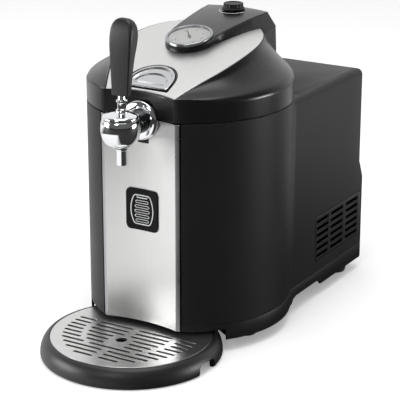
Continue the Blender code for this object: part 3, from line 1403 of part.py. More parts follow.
# The opening in the lid and its plate that the hump covers
def open_half(shrink):
    half = hump_half(HUMP_FRONT_R, HUMP_TOP_X, HUMP_TOP_REAR_R, HUMP_TOP_REAR_X, shrink)
    out = []
    for x, y in half:
        out.append((x, min(y, HUMP_OPEN_REAR_Y - shrink)))
    keep = [p for k, p in enumerate(out) if k == 0 or (p[1] < HUMP_OPEN_REAR_Y - shrink) or k == len(out) - 1]
    corner = (keep[-2][0], HUMP_OPEN_REAR_Y - shrink)
    return keep[:-1] + [corner, keep[-1]]


gauge_tilt = math.radians(GAUGE_TILT_DEG)


def on_gauge(bm):
    bm = turned(bm, "X", GAUGE_TILT_DEG)
    return moved(bm, 0.0, -GAUGE_Y, GAUGE_Z)


def gauge_well():
    case_low = -GAUGE_CASE_DEPTH - GAUGE_STEM_L - GAP
    return on_gauge(revolve([(0.0, case_low), (GAUGE_CASE_R + GAP, case_low), (GAUGE_CASE_R + GAP, -GAUGE_BEZEL_H - GAP),
                             (GAUGE_R + GAP, -GAUGE_BEZEL_H - GAP), (GAUGE_R + GAP, GAUGE_R), (0.0, GAUGE_R)], SEG))


lid_open = loft([at_z(open_half(HUMP_OPEN_IN), LINER_TOP_Z), at_z(open_half(HUMP_OPEN_IN), HUMP_TOP_APEX_Z)])


def button_half(grow, steps=8):
    # Straight side to the front, half an ellipse to the rear
    front = -BUTTON_FRONT_Y - grow
    shoulder = -BUTTON_FRONT_Y + BUTTON_STRAIGHT
    width = BUTTON_HALF_W + grow
    depth = (-BUTTON_REAR_Y + grow) - shoulder
    half = [(0.0, front), (width * 0.5, front), (width - BUTTON_WALL, front), (width, front + BUTTON_WALL)]
    for k in range(steps + 1):
        a = math.radians(90.0 * k / steps)
        half.append((width * math.cos(a) if k < steps else 0.0, shoulder + depth * math.sin(a)))
    return half


button_hole = loft([at_z(button_half(BUTTON_CLEAR), LID_LOW_Z + WALL), at_z(button_half(BUTTON_CLEAR), HUMP_TOP_APEX_Z)])
lid_notch = prism(
    [(-LID_NOTCH_HALF_W, LID_LOW_Z - WALL), (LID_NOTCH_HALF_W, LID_LOW_Z - WALL)]
    + arc(0.0, LID_NOTCH_HIGH_Z - LID_NOTCH_HALF_W, LID_NOTCH_HALF_W, 0.0, 180.0, 10),
    -BODY_R, -LID_CORE_FRONT_Y, "y")
lid_piece(cut(lid_bm, [lid_open, button_hole, lid_notch, gauge_well()]), "lid_shell", "black_plastic")

# Lid plate: the crowned steel sheet
plate_ring = inset(plate_half(), GAP * 2.0)
plate_bm = loft([[(x, y, crown_z(y) - PLATE_T) for x, y in plate_ring],
                 [(x, y, crown_z(y)) for x, y in plate_ring]], front=7)
plate_open = loft([at_z(open_half(HUMP_OPEN_IN), LINER_TOP_Z), at_z(open_half(HUMP_OPEN_IN), HUMP_TOP_APEX_Z)])
button_hole = loft([at_z(button_half(BUTTON_CLEAR), LID_LOW_Z + WALL), at_z(button_half(BUTTON_CLEAR), HUMP_TOP_APEX_Z)])
lid_piece(cut(plate_bm, [plate_open, button_hole, gauge_well()]), "lid_plate", "steel")

# Hump, cut to sit on the lid
lid_solid = loft(lid_rings(GAP, 0.0) + [lid_edge(GAP)], front=7)
knob_hole = moved(revolve([(0.0, -KNOB_SHAFT_L * 2.0), (KNOB_SHAFT_HOLE_R, -KNOB_SHAFT_L * 2.0), (KNOB_SHAFT_HOLE_R, KNOB_H),
                           (0.0, KNOB_H)], SEG_SMALL), 0.0, KNOB_Y, hump_z(KNOB_Y))
hump_bm = loft(hump_rings(0.0, 0.0))
inner_hump = loft(hump_rings(HUMP_WALL, HUMP_WALL))
hump_bm = cut(hump_bm, [inner_hump, lid_solid, gauge_well(), knob_hole])
lid_piece(hump_bm, "hump", "black_plastic")



# Gauge, all pieces turned about its own tilted axis
case = [(0.0, -GAUGE_CASE_DEPTH - GAUGE_STEM_L), (GAUGE_STEM_R, -GAUGE_CASE_DEPTH - GAUGE_STEM_L),
        (GAUGE_STEM_R, -GAUGE_CASE_DEPTH), (GAUGE_CASE_R, -GAUGE_CASE_DEPTH), (GAUGE_CASE_R, -GAUGE_BEZEL_H - GAP),
        (GAUGE_DIAL_R + GAP, -GAUGE_BEZEL_H - GAP), (GAUGE_DIAL_R + GAP, -GAUGE_DIAL_IN - GAUGE_DIAL_T - GAP),
        (GAUGE_WELL_R, -GAUGE_DIAL_IN - GAUGE_DIAL_T - GAP), (GAUGE_WELL_R, -GAUGE_DIAL_IN - GAUGE_WELL_R),
        (0.0, -GAUGE_DIAL_IN - GAUGE_WELL_R)]
lid_piece(on_gauge(revolve(case, SEG)), "gauge_case", "black_plastic")
bezel = [(GAUGE_BEZEL_IN_R, -GAUGE_BEZEL_H), (GAUGE_R, -GAUGE_BEZEL_H), (GAUGE_R, -GAUGE_CASE_LIP),
         (GAUGE_R - GAUGE_CASE_LIP / 2.0, -GAP), (GAUGE_R - GAUGE_CASE_LIP, 0.0), (GAUGE_BEZEL_IN_R + GAP, 0.0),
         (GAUGE_BEZEL_IN_R, -GAP)]
lid_piece(on_gauge(revolve(bezel, SEG)), "gauge_bezel", "chrome")
dial = [(GAUGE_ARBOR_HOLE_R, -GAUGE_DIAL_IN - GAUGE_DIAL_T), (GAUGE_DIAL_R, -GAUGE_DIAL_IN - GAUGE_DIAL_T),
        (GAUGE_DIAL_R, -GAUGE_DIAL_IN), (GAUGE_ARBOR_HOLE_R, -GAUGE_DIAL_IN)]
lid_piece(on_gauge(revolve(dial, SEG_MID)), "gauge_dial", "white_plastic")
lens = [(0.0, -GAUGE_LENS_IN - GAUGE_LENS_T), (GAUGE_BEZEL_IN_R - GAP, -GAUGE_LENS_IN - GAUGE_LENS_T),
        (GAUGE_BEZEL_IN_R - GAP, -GAUGE_LENS_IN), (0.0, -GAUGE_LENS_IN)]
lid_piece(on_gauge(revolve(lens, SEG_MID)), "gauge_lens", "clear")
blade = prism([(-NEEDLE_TAIL, -NEEDLE_W), (-NEEDLE_TAIL, NEEDLE_W), (NEEDLE_L * 0.75, NEEDLE_W / 2.0),
               (NEEDLE_L, 0.0), (NEEDLE_L * 0.75, -NEEDLE_W / 2.0)], -NEEDLE_IN - NEEDLE_T, -NEEDLE_IN)
blade = turned(blade, "Z", NEEDLE_REST_DEG)
hub = revolve([(0.0, -NEEDLE_IN - NEEDLE_T - GAP), (NEEDLE_HUB_R, -NEEDLE_IN - NEEDLE_T - GAP), (NEEDLE_HUB_R, -NEEDLE_IN + GAP / 3.0),
               (0.0, -NEEDLE_IN + GAP / 3.0)], SEG_SMALL)
arbor = revolve([(0.0, -GAUGE_DIAL_IN - GAUGE_WELL_R / 2.0), (GAUGE_ARBOR_R, -GAUGE_DIAL_IN - GAUGE_WELL_R / 2.0),
                 (GAUGE_ARBOR_R, -NEEDLE_IN - GAP), (0.0, -NEEDLE_IN - GAP)], SEG_PIN)
needle = lid_moving(join(blade, [hub, arbor]), "gauge_needle", "gloss_black", 0.0, -GAUGE_Y, GAUGE_Z)
needle.rotation_euler = (gauge_tilt, 0.0, 0.0)


# Regulator knob with a ribbed side
def full_loft(rings):
    bm = bmesh.new()
    made = [[bm.verts.new(p) for p in ring] for ring in rings]
    for a, b in zip(made, made[1:]):
        bridge(bm, a, b)
    bm.faces.new(made[0])
    bm.faces.new(made[-1])
    bmesh.ops.recalc_face_normals(bm, faces=bm.faces)
    return bm


def ribbed(radius, depth, count, z):
    ring = []
    for k in range(count * 2):
        a = math.tau * k / (count * 2)
        r = radius - (depth if k % 2 else 0.0)
        ring.append((r * math.cos(a), r * math.sin(a), z))
    return ring


knob_bm = full_loft([
    ribbed(KNOB_SKIRT_R, 0.0, KNOB_RIBS, 0.0), ribbed(KNOB_SKIRT_R, 0.0, KNOB_RIBS, KNOB_SKIRT_H / 2.0),
    ribbed(KNOB_TOP_R + KNOB_RIB_DEPTH / 2.0, KNOB_RIB_DEPTH, KNOB_RIBS, KNOB_SKIRT_H),
    ribbed(KNOB_TOP_R, KNOB_RIB_DEPTH, KNOB_RIBS, KNOB_H - KNOB_EDGE), ribbed(KNOB_TOP_R - KNOB_EDGE, 0.0, KNOB_RIBS, KNOB_H),
])
shaft = revolve([(0.0, -KNOB_SHAFT_L), (KNOB_SHAFT_R, -KNOB_SHAFT_L), (KNOB_SHAFT_R, KNOB_SKIRT_H / 2.0),
                 (0.0, KNOB_SKIRT_H / 2.0)], SEG_SMALL)
lid_moving(join(knob_bm, [shaft]), "regulator_knob", "black_plastic", 0.0, KNOB_Y, hump_z(KNOB_Y) + KNOB_CLEAR)

# Regulator body with its nose to the cartridge
bm = moved(revolve([(0.0, REG_LOW_Z), (REG_R, REG_LOW_Z), (REG_R, REG_HIGH_Z), (0.0, REG_HIGH_Z)], SEG_MID), 0.0, REG_Y, 0.0)
nose = revolve([(0.0, 0.0), (REG_NOSE_R, 0.0), (REG_NOSE_R, REG_Y - REG_NOSE_FRONT_Y), (0.0, REG_Y - REG_NOSE_FRONT_Y)],
               SEG_SMALL)
lid_piece(join(bm, [along_front(nose, REG_Y, REG_AXIS_Z)]), "regulator_body", "brass")

# Cartridge along the hump, neck to the rear
length = CO2_BODY_L + CO2_SHOULDER + CO2_NECK_L
profile = [(0.0, 0.0), (CO2_R - CO2_ROUND, 0.0), (CO2_R - CO2_ROUND / 4.0, CO2_ROUND / 2.0), (CO2_R, CO2_ROUND * 1.2),
           (CO2_R, CO2_BODY_L), (CO2_R * 0.85, CO2_BODY_L + CO2_SHOULDER * 0.4),
           (CO2_NECK_R * 1.2, CO2_BODY_L + CO2_SHOULDER * 0.85), (CO2_NECK_R, CO2_BODY_L + CO2_SHOULDER),
           (CO2_NECK_R, length), (0.0, length)]
cartridge = turned(revolve(profile, SEG_MID), "X", -90.0)
lid_moving(cartridge, "co2_cartridge", "steel", 0.0, CO2_FRONT_Y, REG_AXIS_Z)
gas = tube(GAS_POINTS, GAS_R, "gas_line", "hose", 5, lid_pivot)
gas.location = (0.0, -HINGE_Y, -HINGE_Z)

# Liner: flange, wall and ceiling, relieved over the shank and the latch
flange_z = LID_LOW_Z + GAP
profile = [(0.0, LINER_TOP_Z - LINER_T), (LINER_TOP_R, LINER_TOP_Z - LINER_T), (LINER_MID_R, LINER_MID_Z),
           (LINER_MOUTH_R, flange_z), (LINER_FLANGE_R, flange_z), (LINER_FLANGE_R, flange_z + LINER_T),
           (LINER_MOUTH_R + LINER_T, flange_z + LINER_T), (LINER_MID_R + LINER_T, LINER_MID_Z + LINER_T / 2.0),
           (LINER_TOP_R + LINER_T / 2.0, LINER_TOP_Z), (0.0, LINER_TOP_Z)]
liner = revolve(profile, SEG)
trim = box(-BODY_R, BODY_R, -BODY_R, -LINER_FRONT_Y, LID_LOW_Z - WALL, LINER_TOP_Z)
relief = box(-LINER_RELIEF_HALF_W, LINER_RELIEF_HALF_W, -BODY_R, -LINER_RELIEF_Y, LID_LOW_Z - WALL, LINER_RELIEF_Z)
bay = box(-BAY_HALF_W, BAY_HALF_W, BAY_FRONT_Y, BAY_REAR_Y, LINER_MID_Z, HUMP_TOP_APEX_Z)
neck_hole = moved(revolve([(0.0, LINER_MID_Z), (HEAD_NECK_R + GAP, LINER_MID_Z),
                           (HEAD_NECK_R + GAP, HUMP_TOP_APEX_Z), (0.0, HUMP_TOP_APEX_Z)], SEG_SMALL),
                  0.0, -HEAD_Y, 0.0)
lid_piece(cut(liner, [trim, relief, bay, neck_hole]), "lid_liner", "white_plastic")
head_low = LINER_TOP_Z - LINER_T - GAP - HEAD_T
profile = [(0.0, head_low + HEAD_MOUTH_T), (HEAD_MOUTH_R, head_low + HEAD_MOUTH_T), (HEAD_MOUTH_R, head_low),
           (HEAD_R, head_low), (HEAD_R, head_low + HEAD_T), (HEAD_NECK_R, head_low + HEAD_T),
           (HEAD_NECK_R, HEAD_NECK_TOP_Z), (0.0, HEAD_NECK_TOP_Z)]
lid_piece(moved(revolve(profile, SEG_MID), 0.0, -HEAD_Y, 0.0), "tapping_head", "black_plastic")

# Release button: a crowned cap with a scooped face and two posts
press = BUTTON_PROUD


def scooped_z(x, y):
    # The face dips towards the middle of its rear half
    d = math.hypot(x, y + BUTTON_SCOOP_Y) / BUTTON_HALF_W
    return crown_z(y) + press - BUTTON_SCOOP_DEPTH * max(0.0, 1.0 - d * d)


outline = button_half(0.0)
edge = button_half(-BUTTON_WALL / 2.0)
under = button_half(-BUTTON_WALL)
button_bm = loft([
    [(x, y, crown_z(y) - BUTTON_SKIRT) for x, y in outline],
    [(x, y, crown_z(y) + press - BUTTON_WALL / 2.0) for x, y in outline],
    [(x, y, crown_z(y) + press) for x, y in edge],
], front=3)
hollow = loft([
    [(x, y, crown_z(y) - BUTTON_SKIRT * 2.0) for x, y in under],
    [(x, y, crown_z(y) + press - BUTTON_WALL * 2.0) for x, y in under],
], front=3)
button_bm = cut(button_bm, [hollow])
posts = []
post_top = crown_z(-BUTTON_POST_Y) + press - BUTTON_WALL
for side in (-1.0, 1.0):
    post = revolve([(0.0, BUTTON_POST_Z), (BUTTON_POST_R, BUTTON_POST_Z), (BUTTON_POST_R, post_top), (0.0, post_top)], SEG_PIN)
    posts.append(moved(post, side * BUTTON_POST_X, -BUTTON_POST_Y + BUTTON_WALL, 0.0))
lid_moving(moved(join(button_bm, posts), 0.0, (BUTTON_FRONT_Y + BUTTON_REAR_Y) / 2.0, -BUTTON_POST_Z), "release_button",
           "silver_plastic", 0.0, -(BUTTON_FRONT_Y + BUTTON_REAR_Y) / 2.0, BUTTON_POST_Z)

# Latch fork
bar_top = LATCH_BAR_Z + LATCH_BAR_H
bm = box(-LATCH_X - LATCH_HALF_W, LATCH_X + LATCH_HALF_W, -LATCH_FRONT_Y, -LATCH_FRONT_Y + LATCH_T, LATCH_BAR_Z, bar_top)
hooks = []
for side in (-1.0, 1.0):
    x_a = side * (LATCH_X - LATCH_HALF_W)
    x_b = side * (LATCH_X + LATCH_HALF_W)
    side_profile = [(-LATCH_FRONT_Y + LATCH_T, bar_top - GAP), (-LATCH_FRONT_Y + LATCH_T, LATCH_LOW_Z),
                    (-LATCH_TOE_Y + LATCH_T / 2.0, LATCH_LOW_Z), (-LATCH_TOE_Y, LATCH_LOW_Z + LATCH_TOE_H / 2.0),
                    (-LATCH_TOE_Y, LATCH_LOW_Z + LATCH_TOE_H), (-LATCH_FRONT_Y, LATCH_LOW_Z + LATCH_TOE_H),
                    (-LATCH_FRONT_Y, bar_top - GAP)]
    hooks.append(prism(side_profile, min(x_a, x_b) + GAP * (side > 0), max(x_a, x_b) - GAP * (side > 0), "x"))
lid_piece(join(bm, hooks), "latch_fork", "steel")

# Hinge
plate_low = BOX_TOP_Z + GAP


def eye(x, half_w, radius, hole):
    ring = revolve([(hole, -half_w), (radius, -half_w), (radius, half_w), (hole, half_w)], SEG_EYE)
    return moved(turned(ring, "Y", 90.0), x, HINGE_Y, HINGE_Z)


def eye_cutter(reach):
    bar = revolve([(0.0, -reach), (HINGE_PIN_R + HINGE_PIN_CLEAR, -reach), (HINGE_PIN_R + HINGE_PIN_CLEAR, reach), (0.0, reach)],
                  SEG_EYE)
    return moved(turned(bar, "Y", 90.0), 0.0, HINGE_Y, HINGE_Z)


def disc_x(x, half_w, radius):
    bar = revolve([(0.0, -half_w), (radius, -half_w), (radius, half_w), (0.0, half_w)], SEG_EYE)
    return moved(turned(bar, "Y", 90.0), x, HINGE_Y, HINGE_Z)


bm = box(-HINGE_PLATE_HALF_W, HINGE_PLATE_HALF_W, HINGE_PLATE_FRONT_Y, HINGE_PLATE_REAR_Y, plate_low,
         plate_low + HINGE_PLATE_T)
ears = []
for side in (-1.0, 1.0):
    for x in HINGE_FIXED_X:
        cx = side * x
        ears.append(disc_x(cx, HINGE_FIXED_HALF_W, HINGE_EYE_R))
        ears.append(box(cx - HINGE_FIXED_HALF_W + GAP / 2.0, cx + HINGE_FIXED_HALF_W - GAP / 2.0, HINGE_Y - HINGE_EYE_R * 0.7,
                        HINGE_Y + HINGE_EYE_R * 0.7, plate_low + HINGE_PLATE_T / 2.0, HINGE_Z - HINGE_EYE_R * 0.5))
bm = join(bm, ears)
finish(cut(bm, [eye_cutter(HINGE_PLATE_HALF_W * 1.2)]), "hinge_bracket", "steel")
pin = revolve([(0.0, -HINGE_PIN_HALF_L), (HINGE_PIN_R, -HINGE_PIN_HALF_L), (HINGE_PIN_R, HINGE_PIN_HALF_L),
               (0.0, HINGE_PIN_HALF_L)], SEG_EYE)
pin_object = finish(turned(pin, "Y", 90.0), "hinge_pin", "steel")
pin_object.location = (0.0, HINGE_Y, HINGE_Z)
arm_front = BODY_R + GAP
bm = box(-HINGE_LID_X - HINGE_LID_HALF_W, HINGE_LID_X + HINGE_LID_HALF_W, arm_front, arm_front + HINGE_ARM_T,
         HINGE_ARM_LOW_Z, HINGE_ARM_HIGH_Z)
ears = []
for side in (-1.0, 1.0):
    cx = side * HINGE_LID_X
    ears.append(disc_x(cx, HINGE_LID_HALF_W - GAP, HINGE_EYE_R))
    ears.append(box(cx - HINGE_LID_HALF_W + GAP * 2.0, cx + HINGE_LID_HALF_W - GAP * 2.0, arm_front + HINGE_ARM_T / 2.0, HINGE_Y,
                    HINGE_Z - HINGE_EYE_R * 0.5, HINGE_Z + HINGE_EYE_R * 0.5))
bm = join(bm, ears)
lid_piece(cut(bm, [eye_cutter(HINGE_PLATE_HALF_W * 1.2)]), "lid_hinge", "steel")

# Seal round the mouth of the chamber
seal_z = CHAMBER_TOP_Z + GAP + DECK_RING_T + DECK_LIP_H + GAP + SEAL_TUBE_R
ring = [(SEAL_R + SEAL_TUBE_R * math.cos(math.radians(a)), seal_z + SEAL_TUBE_R * math.sin(math.radians(a)))
        for a in range(0, 360, 60)]
finish(revolve(ring, SEG), "mouth_seal", "rubber")

# Tap
flange_h = FLANGE_FACE_Y - FLANGE_BACK_Y
profile = [(FLANGE_BORE_R, 0.0), (FLANGE_R, 0.0), (FLANGE_R, FLANGE_EDGE_T)]
for a in (70.0, 50.0, 30.0, 10.0):
    profile.append((COUPLING_R + (FLANGE_R - COUPLING_R) * math.sin(math.radians(a)),
                    FLANGE_EDGE_T + (flange_h - FLANGE_EDGE_T) * math.cos(math.radians(a))))
profile += [(COUPLING_R, flange_h), (FLANGE_BORE_R, flange_h)]
finish(along_front(revolve(profile, SEG), -FLANGE_BACK_Y, TAP_Z), "tap_flange", "chrome")
shank_l = SHANK_FRONT_Y - SHANK_TAIL_Y
finish(along_front(revolve([(SHANK_BORE_R, 0.0), (SHANK_R, 0.0), (SHANK_R, shank_l), (SHANK_BORE_R, shank_l)], SEG_MID),
                   -SHANK_TAIL_Y, TAP_Z), "tap_shank", "chrome")
hexagon = [(NUT_R * math.cos(math.radians(60.0 * k)), TAP_Z + NUT_R * math.sin(math.radians(60.0 * k))) for k in range(6)]
nut = prism(hexagon, -NUT_Y, -NUT_Y + NUT_T, "y")


def shank_cutter():
    bar = revolve([(0.0, 0.0), (SHANK_R + GAP, 0.0), (SHANK_R + GAP, BODY_R), (0.0, BODY_R)], SEG_MID)
    return along_front(bar, -SHANK_TAIL_Y * 0.5, TAP_Z)


finish(cut(nut, [shank_cutter()]), "shank_nut", "brass")
coupling_l = COUPLING_FRONT_Y - COUPLING_BACK_Y
bm = full_loft([
    ribbed(COUPLING_R - COUPLING_EDGE, 0.0, COUPLING_RIBS, 0.0), ribbed(COUPLING_R, COUPLING_RIB, COUPLING_RIBS, COUPLING_EDGE),
    ribbed(COUPLING_R, COUPLING_RIB, COUPLING_RIBS, coupling_l - COUPLING_EDGE),
    ribbed(COUPLING_R - COUPLING_EDGE, 0.0, COUPLING_RIBS, coupling_l),
])
finish(cut(along_front(bm, -COUPLING_BACK_Y, TAP_Z), [shank_cutter()]), "tap_coupling", "chrome")

profile = [(0.0, BARREL_LOW_Z), (BARREL_FOOT_R, BARREL_LOW_Z)]
for a in (-60.0, -35.0, -10.0):
    profile.append((BARREL_FOOT_R + (BARREL_R - BARREL_FOOT_R) * math.cos(math.radians(a)) ** 0.8,
                    BARREL_LOW_Z + BARREL_ROUND * (1.0 + math.sin(math.radians(a)))))
profile += [(BARREL_R, BARREL_LOW_Z + BARREL_ROUND), (BARREL_R, BARREL_HIGH_Z - BONNET_GROOVE),
            (BARREL_R - BONNET_GROOVE, BARREL_HIGH_Z), (0.0, BARREL_HIGH_Z)]
bm = moved(revolve(profile, SEG), 0.0, -BARREL_Y, 0.0)
neck = revolve([(0.0, 0.0), (BARREL_NECK_R, 0.0), (BARREL_NECK_R, BARREL_Y - BARREL_NECK_Y), (0.0, BARREL_Y - BARREL_NECK_Y)],
               SEG_MID)
bm = join(bm, [along_front(neck, -BARREL_NECK_Y, TAP_Z)])
ball = bmesh.new()
bmesh.ops.create_uvsphere(ball, u_segments=SEG_EYE, v_segments=SEG_PIN, radius=BALL_CUP_R)
finish(cut(bm, [moved(ball, 0.0, -STEM_Y, BALL_Z)]), "tap_body", "chrome")
bonnet_low = BARREL_HIGH_Z + GAP
profile = [(0.0, bonnet_low), (BONNET_R, bonnet_low), (BONNET_R, bonnet_low + BONNET_RIM_H)]
for a in (20.0, 45.0, 70.0):
    profile.append((BONNET_SHOULDER_R + (BONNET_R - BONNET_SHOULDER_R) * math.cos(math.radians(a)),
                    bonnet_low + BONNET_RIM_H + (BONNET_SHOULDER_Z - bonnet_low - BONNET_RIM_H) * math.sin(math.radians(a))))
profile += [(BONNET_SHOULDER_R, BONNET_SHOULDER_Z), (BONNET_TOP_R, BONNET_TOP_Z), (0.0, BONNET_TOP_Z)]
bm = moved(revolve(profile, SEG), 0.0, -BARREL_Y, 0.0)
ball = bmesh.new()
bmesh.ops.create_uvsphere(ball, u_segments=SEG_EYE, v_segments=SEG_PIN, radius=BALL_CUP_R)
mouth = revolve([(0.0, 0.0), (BALL_CUP_R, 0.0), (BALL_CUP_R * 1.1, BALL_CUP_R), (0.0, BALL_CUP_R)], SEG_EYE)
finish(cut(bm, [moved(ball, 0.0, -STEM_Y, BALL_Z), moved(mouth, 0.0, -STEM_Y, BALL_Z)]), "tap_bonnet", "chrome")
profile = [(SPOUT_BORE_R, SPOUT_LOW_Z), (SPOUT_R, SPOUT_LOW_Z), (SPOUT_R, SPOUT_TOP_Z - SPOUT_COLLAR_T),
           (SPOUT_COLLAR_R, SPOUT_TOP_Z - SPOUT_COLLAR_T * 0.7), (SPOUT_COLLAR_R, SPOUT_TOP_Z), (SPOUT_BORE_R, SPOUT_TOP_Z)]
finish(moved(revolve(profile, SEG_MID), 0.0, -SPOUT_Y, 0.0), "tap_spout", "chrome")

# Lever, its origin at the ball's centre; the handle shares that pivot
lever_pivot = bpy.data.objects.new("lever_pivot", None)
collection.objects.link(lever_pivot)
lever_pivot.parent = root
lever_pivot.location = (0.0, -STEM_Y, BALL_Z)
profile = [(0.0, -BALL_R)]
top_a = math.degrees(math.acos(STEM_R / BALL_R))
for k in range(1, 9):
    a = math.radians(-90.0 + (90.0 + top_a) * k / 8.0)
    profile.append((BALL_R * math.cos(a), BALL_R * math.sin(a)))
ring_z = STEM_RING_Z - BALL_Z
profile += [(STEM_R, ring_z - STEM_RING_H), (STEM_RING_R, ring_z - STEM_RING_H / 2.0), (STEM_RING_R, ring_z + STEM_RING_H / 2.0),
            (STEM_R * 0.9, ring_z + STEM_RING_H), (STEM_TOP_R * 1.25, HANDLE_LOW_Z - BALL_Z - GAP),
            (STEM_TOP_R, HANDLE_LOW_Z - BALL_Z - GAP), (STEM_TOP_R, STEM_TOP_Z - BALL_Z), (0.0, STEM_TOP_Z - BALL_Z)]
finish(revolve(profile, SEG_MID), "tap_lever", "chrome", parent=lever_pivot)
rings = []
for level, half_w, front, rear, corner in zip(HANDLE_LEVELS, HANDLE_HALF_W, HANDLE_FRONT_Y, HANDLE_REAR_Y, HANDLE_CORNER_R):
    ring = rounded_rectangle(-half_w, half_w, STEM_Y - front, STEM_Y - rear, corner, 3)
    rings.append([(x, y, HANDLE_LOW_Z - BALL_Z + level) for x, y in ring])
socket = revolve([(0.0, 0.0), (HANDLE_SOCKET_R, 0.0), (HANDLE_SOCKET_R, HANDLE_SOCKET_L + WALL),
                  (0.0, HANDLE_SOCKET_L + WALL)], SEG_SMALL)
socket = moved(socket, 0.0, 0.0, HANDLE_LOW_Z - BALL_Z - WALL)
finish(cut(full_loft(rings), [socket]), "tap_handle", "black_plastic", parent=lever_pivot)

tube(LINE_POINTS, LINE_R, "beer_line", "hose", 6)
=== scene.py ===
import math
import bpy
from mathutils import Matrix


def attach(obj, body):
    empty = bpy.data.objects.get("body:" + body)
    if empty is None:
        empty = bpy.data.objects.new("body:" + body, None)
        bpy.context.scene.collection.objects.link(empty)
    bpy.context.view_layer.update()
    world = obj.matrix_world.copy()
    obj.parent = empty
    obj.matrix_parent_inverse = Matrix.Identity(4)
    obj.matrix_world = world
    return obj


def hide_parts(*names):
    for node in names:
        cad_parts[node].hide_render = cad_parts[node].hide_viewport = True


bl_info = {
    "name": "Mini keg beer dispenser",
    "version": (1, 0, 0),
    "blender": (4, 5, 0),
    "location": "View3D > Sidebar > Keg dispenser",
    "description": "Dresses the packed frame of a countertop mini keg beer dispenser",
    "category": "Add Mesh",
}

import bmesh
import bpy
from bpy.props import FloatProperty, FloatVectorProperty, IntProperty, PointerProperty
from mathutils import Matrix, Vector

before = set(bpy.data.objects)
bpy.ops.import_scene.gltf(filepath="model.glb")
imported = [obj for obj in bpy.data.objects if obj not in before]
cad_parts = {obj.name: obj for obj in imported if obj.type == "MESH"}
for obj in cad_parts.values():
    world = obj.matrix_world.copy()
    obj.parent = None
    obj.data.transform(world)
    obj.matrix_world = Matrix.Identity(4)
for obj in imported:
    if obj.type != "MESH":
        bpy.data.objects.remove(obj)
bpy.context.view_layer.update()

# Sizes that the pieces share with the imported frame, in metres. Heights are measured from the base's lower edge.
BODY_R = 0.120
WALL = 0.003
GAP = 0.0003
FOOT_H = 0.015
BASE_H = 0.020
SEAM_Z = 0.258
BOX_TOP_Z = 0.254
BOX_STEP_LOW_Z = 0.110
BOX_STEP_HIGH_Z = 0.133
BOX_FILLET = 0.008
CEILING_T = 0.006
BOX_HALF_W = 0.1073
BOX_REAR_LOW_Y = 0.251
BOX_REAR_HIGH_Y = 0.241
BLEND_R = 0.040
BOX_CORNER_R = 0.005
RECESS_HALF_W = 0.0529
RECESS_FLOOR_Y = 0.1025
RECESS_CURVE_W = 0.0450
RECESS_STEP_W = 0.0456
INNER_FRONT_Y = 0.0985
INNER_FRONT_W = 0.0560
FRONT_CENTRE_Y = 0.104
FRONT_ARC_R = 0.1736
PANEL_HALF_W = 0.0467
PANEL_T = 0.0012
PANEL_EDGE_W = 0.0512
PANEL_FOLD_Y = 0.1035
PANEL_LOW_Z = 0.0133
PANEL_TOP_GAP = 0.0008
NOTCH_HALF_W = 0.009
NOTCH_LOW_Z = 0.2285
COVER_HALF_W = 0.0984
COVER_FRONT_R = 0.1233
COVER_REAR_Y = 0.2324
COVER_SIDE_Y = 0.082
COVER_T = 0.003
COVER_LEDGE = 0.0055
COVER_CORNER = 0.004
GRILLE_FRONT_Y = 0.1176
GRILLE_REAR_Y = 0.2424
GRILLE_LOW_Z = 0.0333
GRILLE_HIGH_Z = 0.0922
GRILLE_T = 0.0026
GRILLE_LIP = 0.0045
GRILLE_CORNER = 0.006
GRILLE_PROUD = 0.0002
REAR_HALF_W = 0.080
REAR_LOW_Z = 0.140
REAR_HIGH_Z = 0.232
REAR_T = 0.0024
REAR_LIP = 0.005
INLET_X = 0.055
INLET_Z = 0.050
INLET_W = 0.028
INLET_H = 0.022
SWITCH_X = 0.055
SWITCH_Z = 0.080
SWITCH_W = 0.020
SWITCH_H = 0.013
SWITCH_PROUD = 0.0026
SWITCH_CLEAR = 0.0009
LID_LOW_Z = 0.2583
RIM_Z = 0.2825
RIM_RISE = 0.0035
RIM_RISE_FRONT_Y = 0.1104
RIM_RISE_REAR_Y = 0.055
CROWN_R = 0.4208
CROWN_Y = 0.0775
CROWN_Z = 0.3285
PLATE_CORNER_X = 0.0460
PLATE_CORNER_Y = 0.1077
PLATE_SHOULDER_X = 0.0660
PLATE_SHOULDER_Y = 0.0670
PLATE_WIDE_X = 0.0810
PLATE_WIDE_Y = 0.0030
PLATE_SIDE_R = 0.145
PLATE_REAR_R = 0.110
PLATE_REAR_SIDE_X = 0.0570
PLATE_REAR_SIDE_Y = 0.0690
PLATE_REAR_END_Y = 0.1020
PLATE_SEAT = 0.0013
PLATE_T = 0.0010
LID_WALL = 0.0028
LID_NOTCH_HALF_W = 0.0095
LID_NOTCH_HIGH_Z = 0.2665
LID_CORE_FRONT_Y = 0.0955
HUMP_FRONT_R = 0.030
HUMP_FRONT_Y = 0.002
HUMP_REAR_R = 0.1184
HUMP_TOP_REAR_R = 0.1168
HUMP_FOOT_REAR_X = 0.0575
HUMP_TOP_REAR_X = 0.0415
HUMP_LOW_Z = 0.2700
HUMP_TOP_R = 0.880
HUMP_TOP_APEX_Y = 0.145
HUMP_TOP_APEX_Z = 0.3428
HUMP_FRONT_DROP_Y = 0.010
HUMP_EDGE = 0.0016
HUMP_WALL = 0.0024
HUMP_SIDE_Y = (0.0036, 0.0222, 0.0426, 0.0700, 0.0900)
HUMP_FOOT_X = (0.0292, 0.0395, 0.0477, 0.0550, 0.0568)
HUMP_TOP_X = (0.0305, 0.0325, 0.0348, 0.0378, 0.0400)
HUMP_OPEN_IN = 0.0050
HUMP_OPEN_REAR_Y = 0.1130
GAUGE_Y = 0.003
GAUGE_Z = 0.3317
GAUGE_TILT_DEG = 12.8
GAUGE_R = 0.0276
GAUGE_BEZEL_IN_R = 0.0245
GAUGE_BEZEL_H = 0.0032
GAUGE_CASE_R = 0.0270
GAUGE_CASE_DEPTH = 0.0135
GAUGE_CASE_LIP = 0.0012
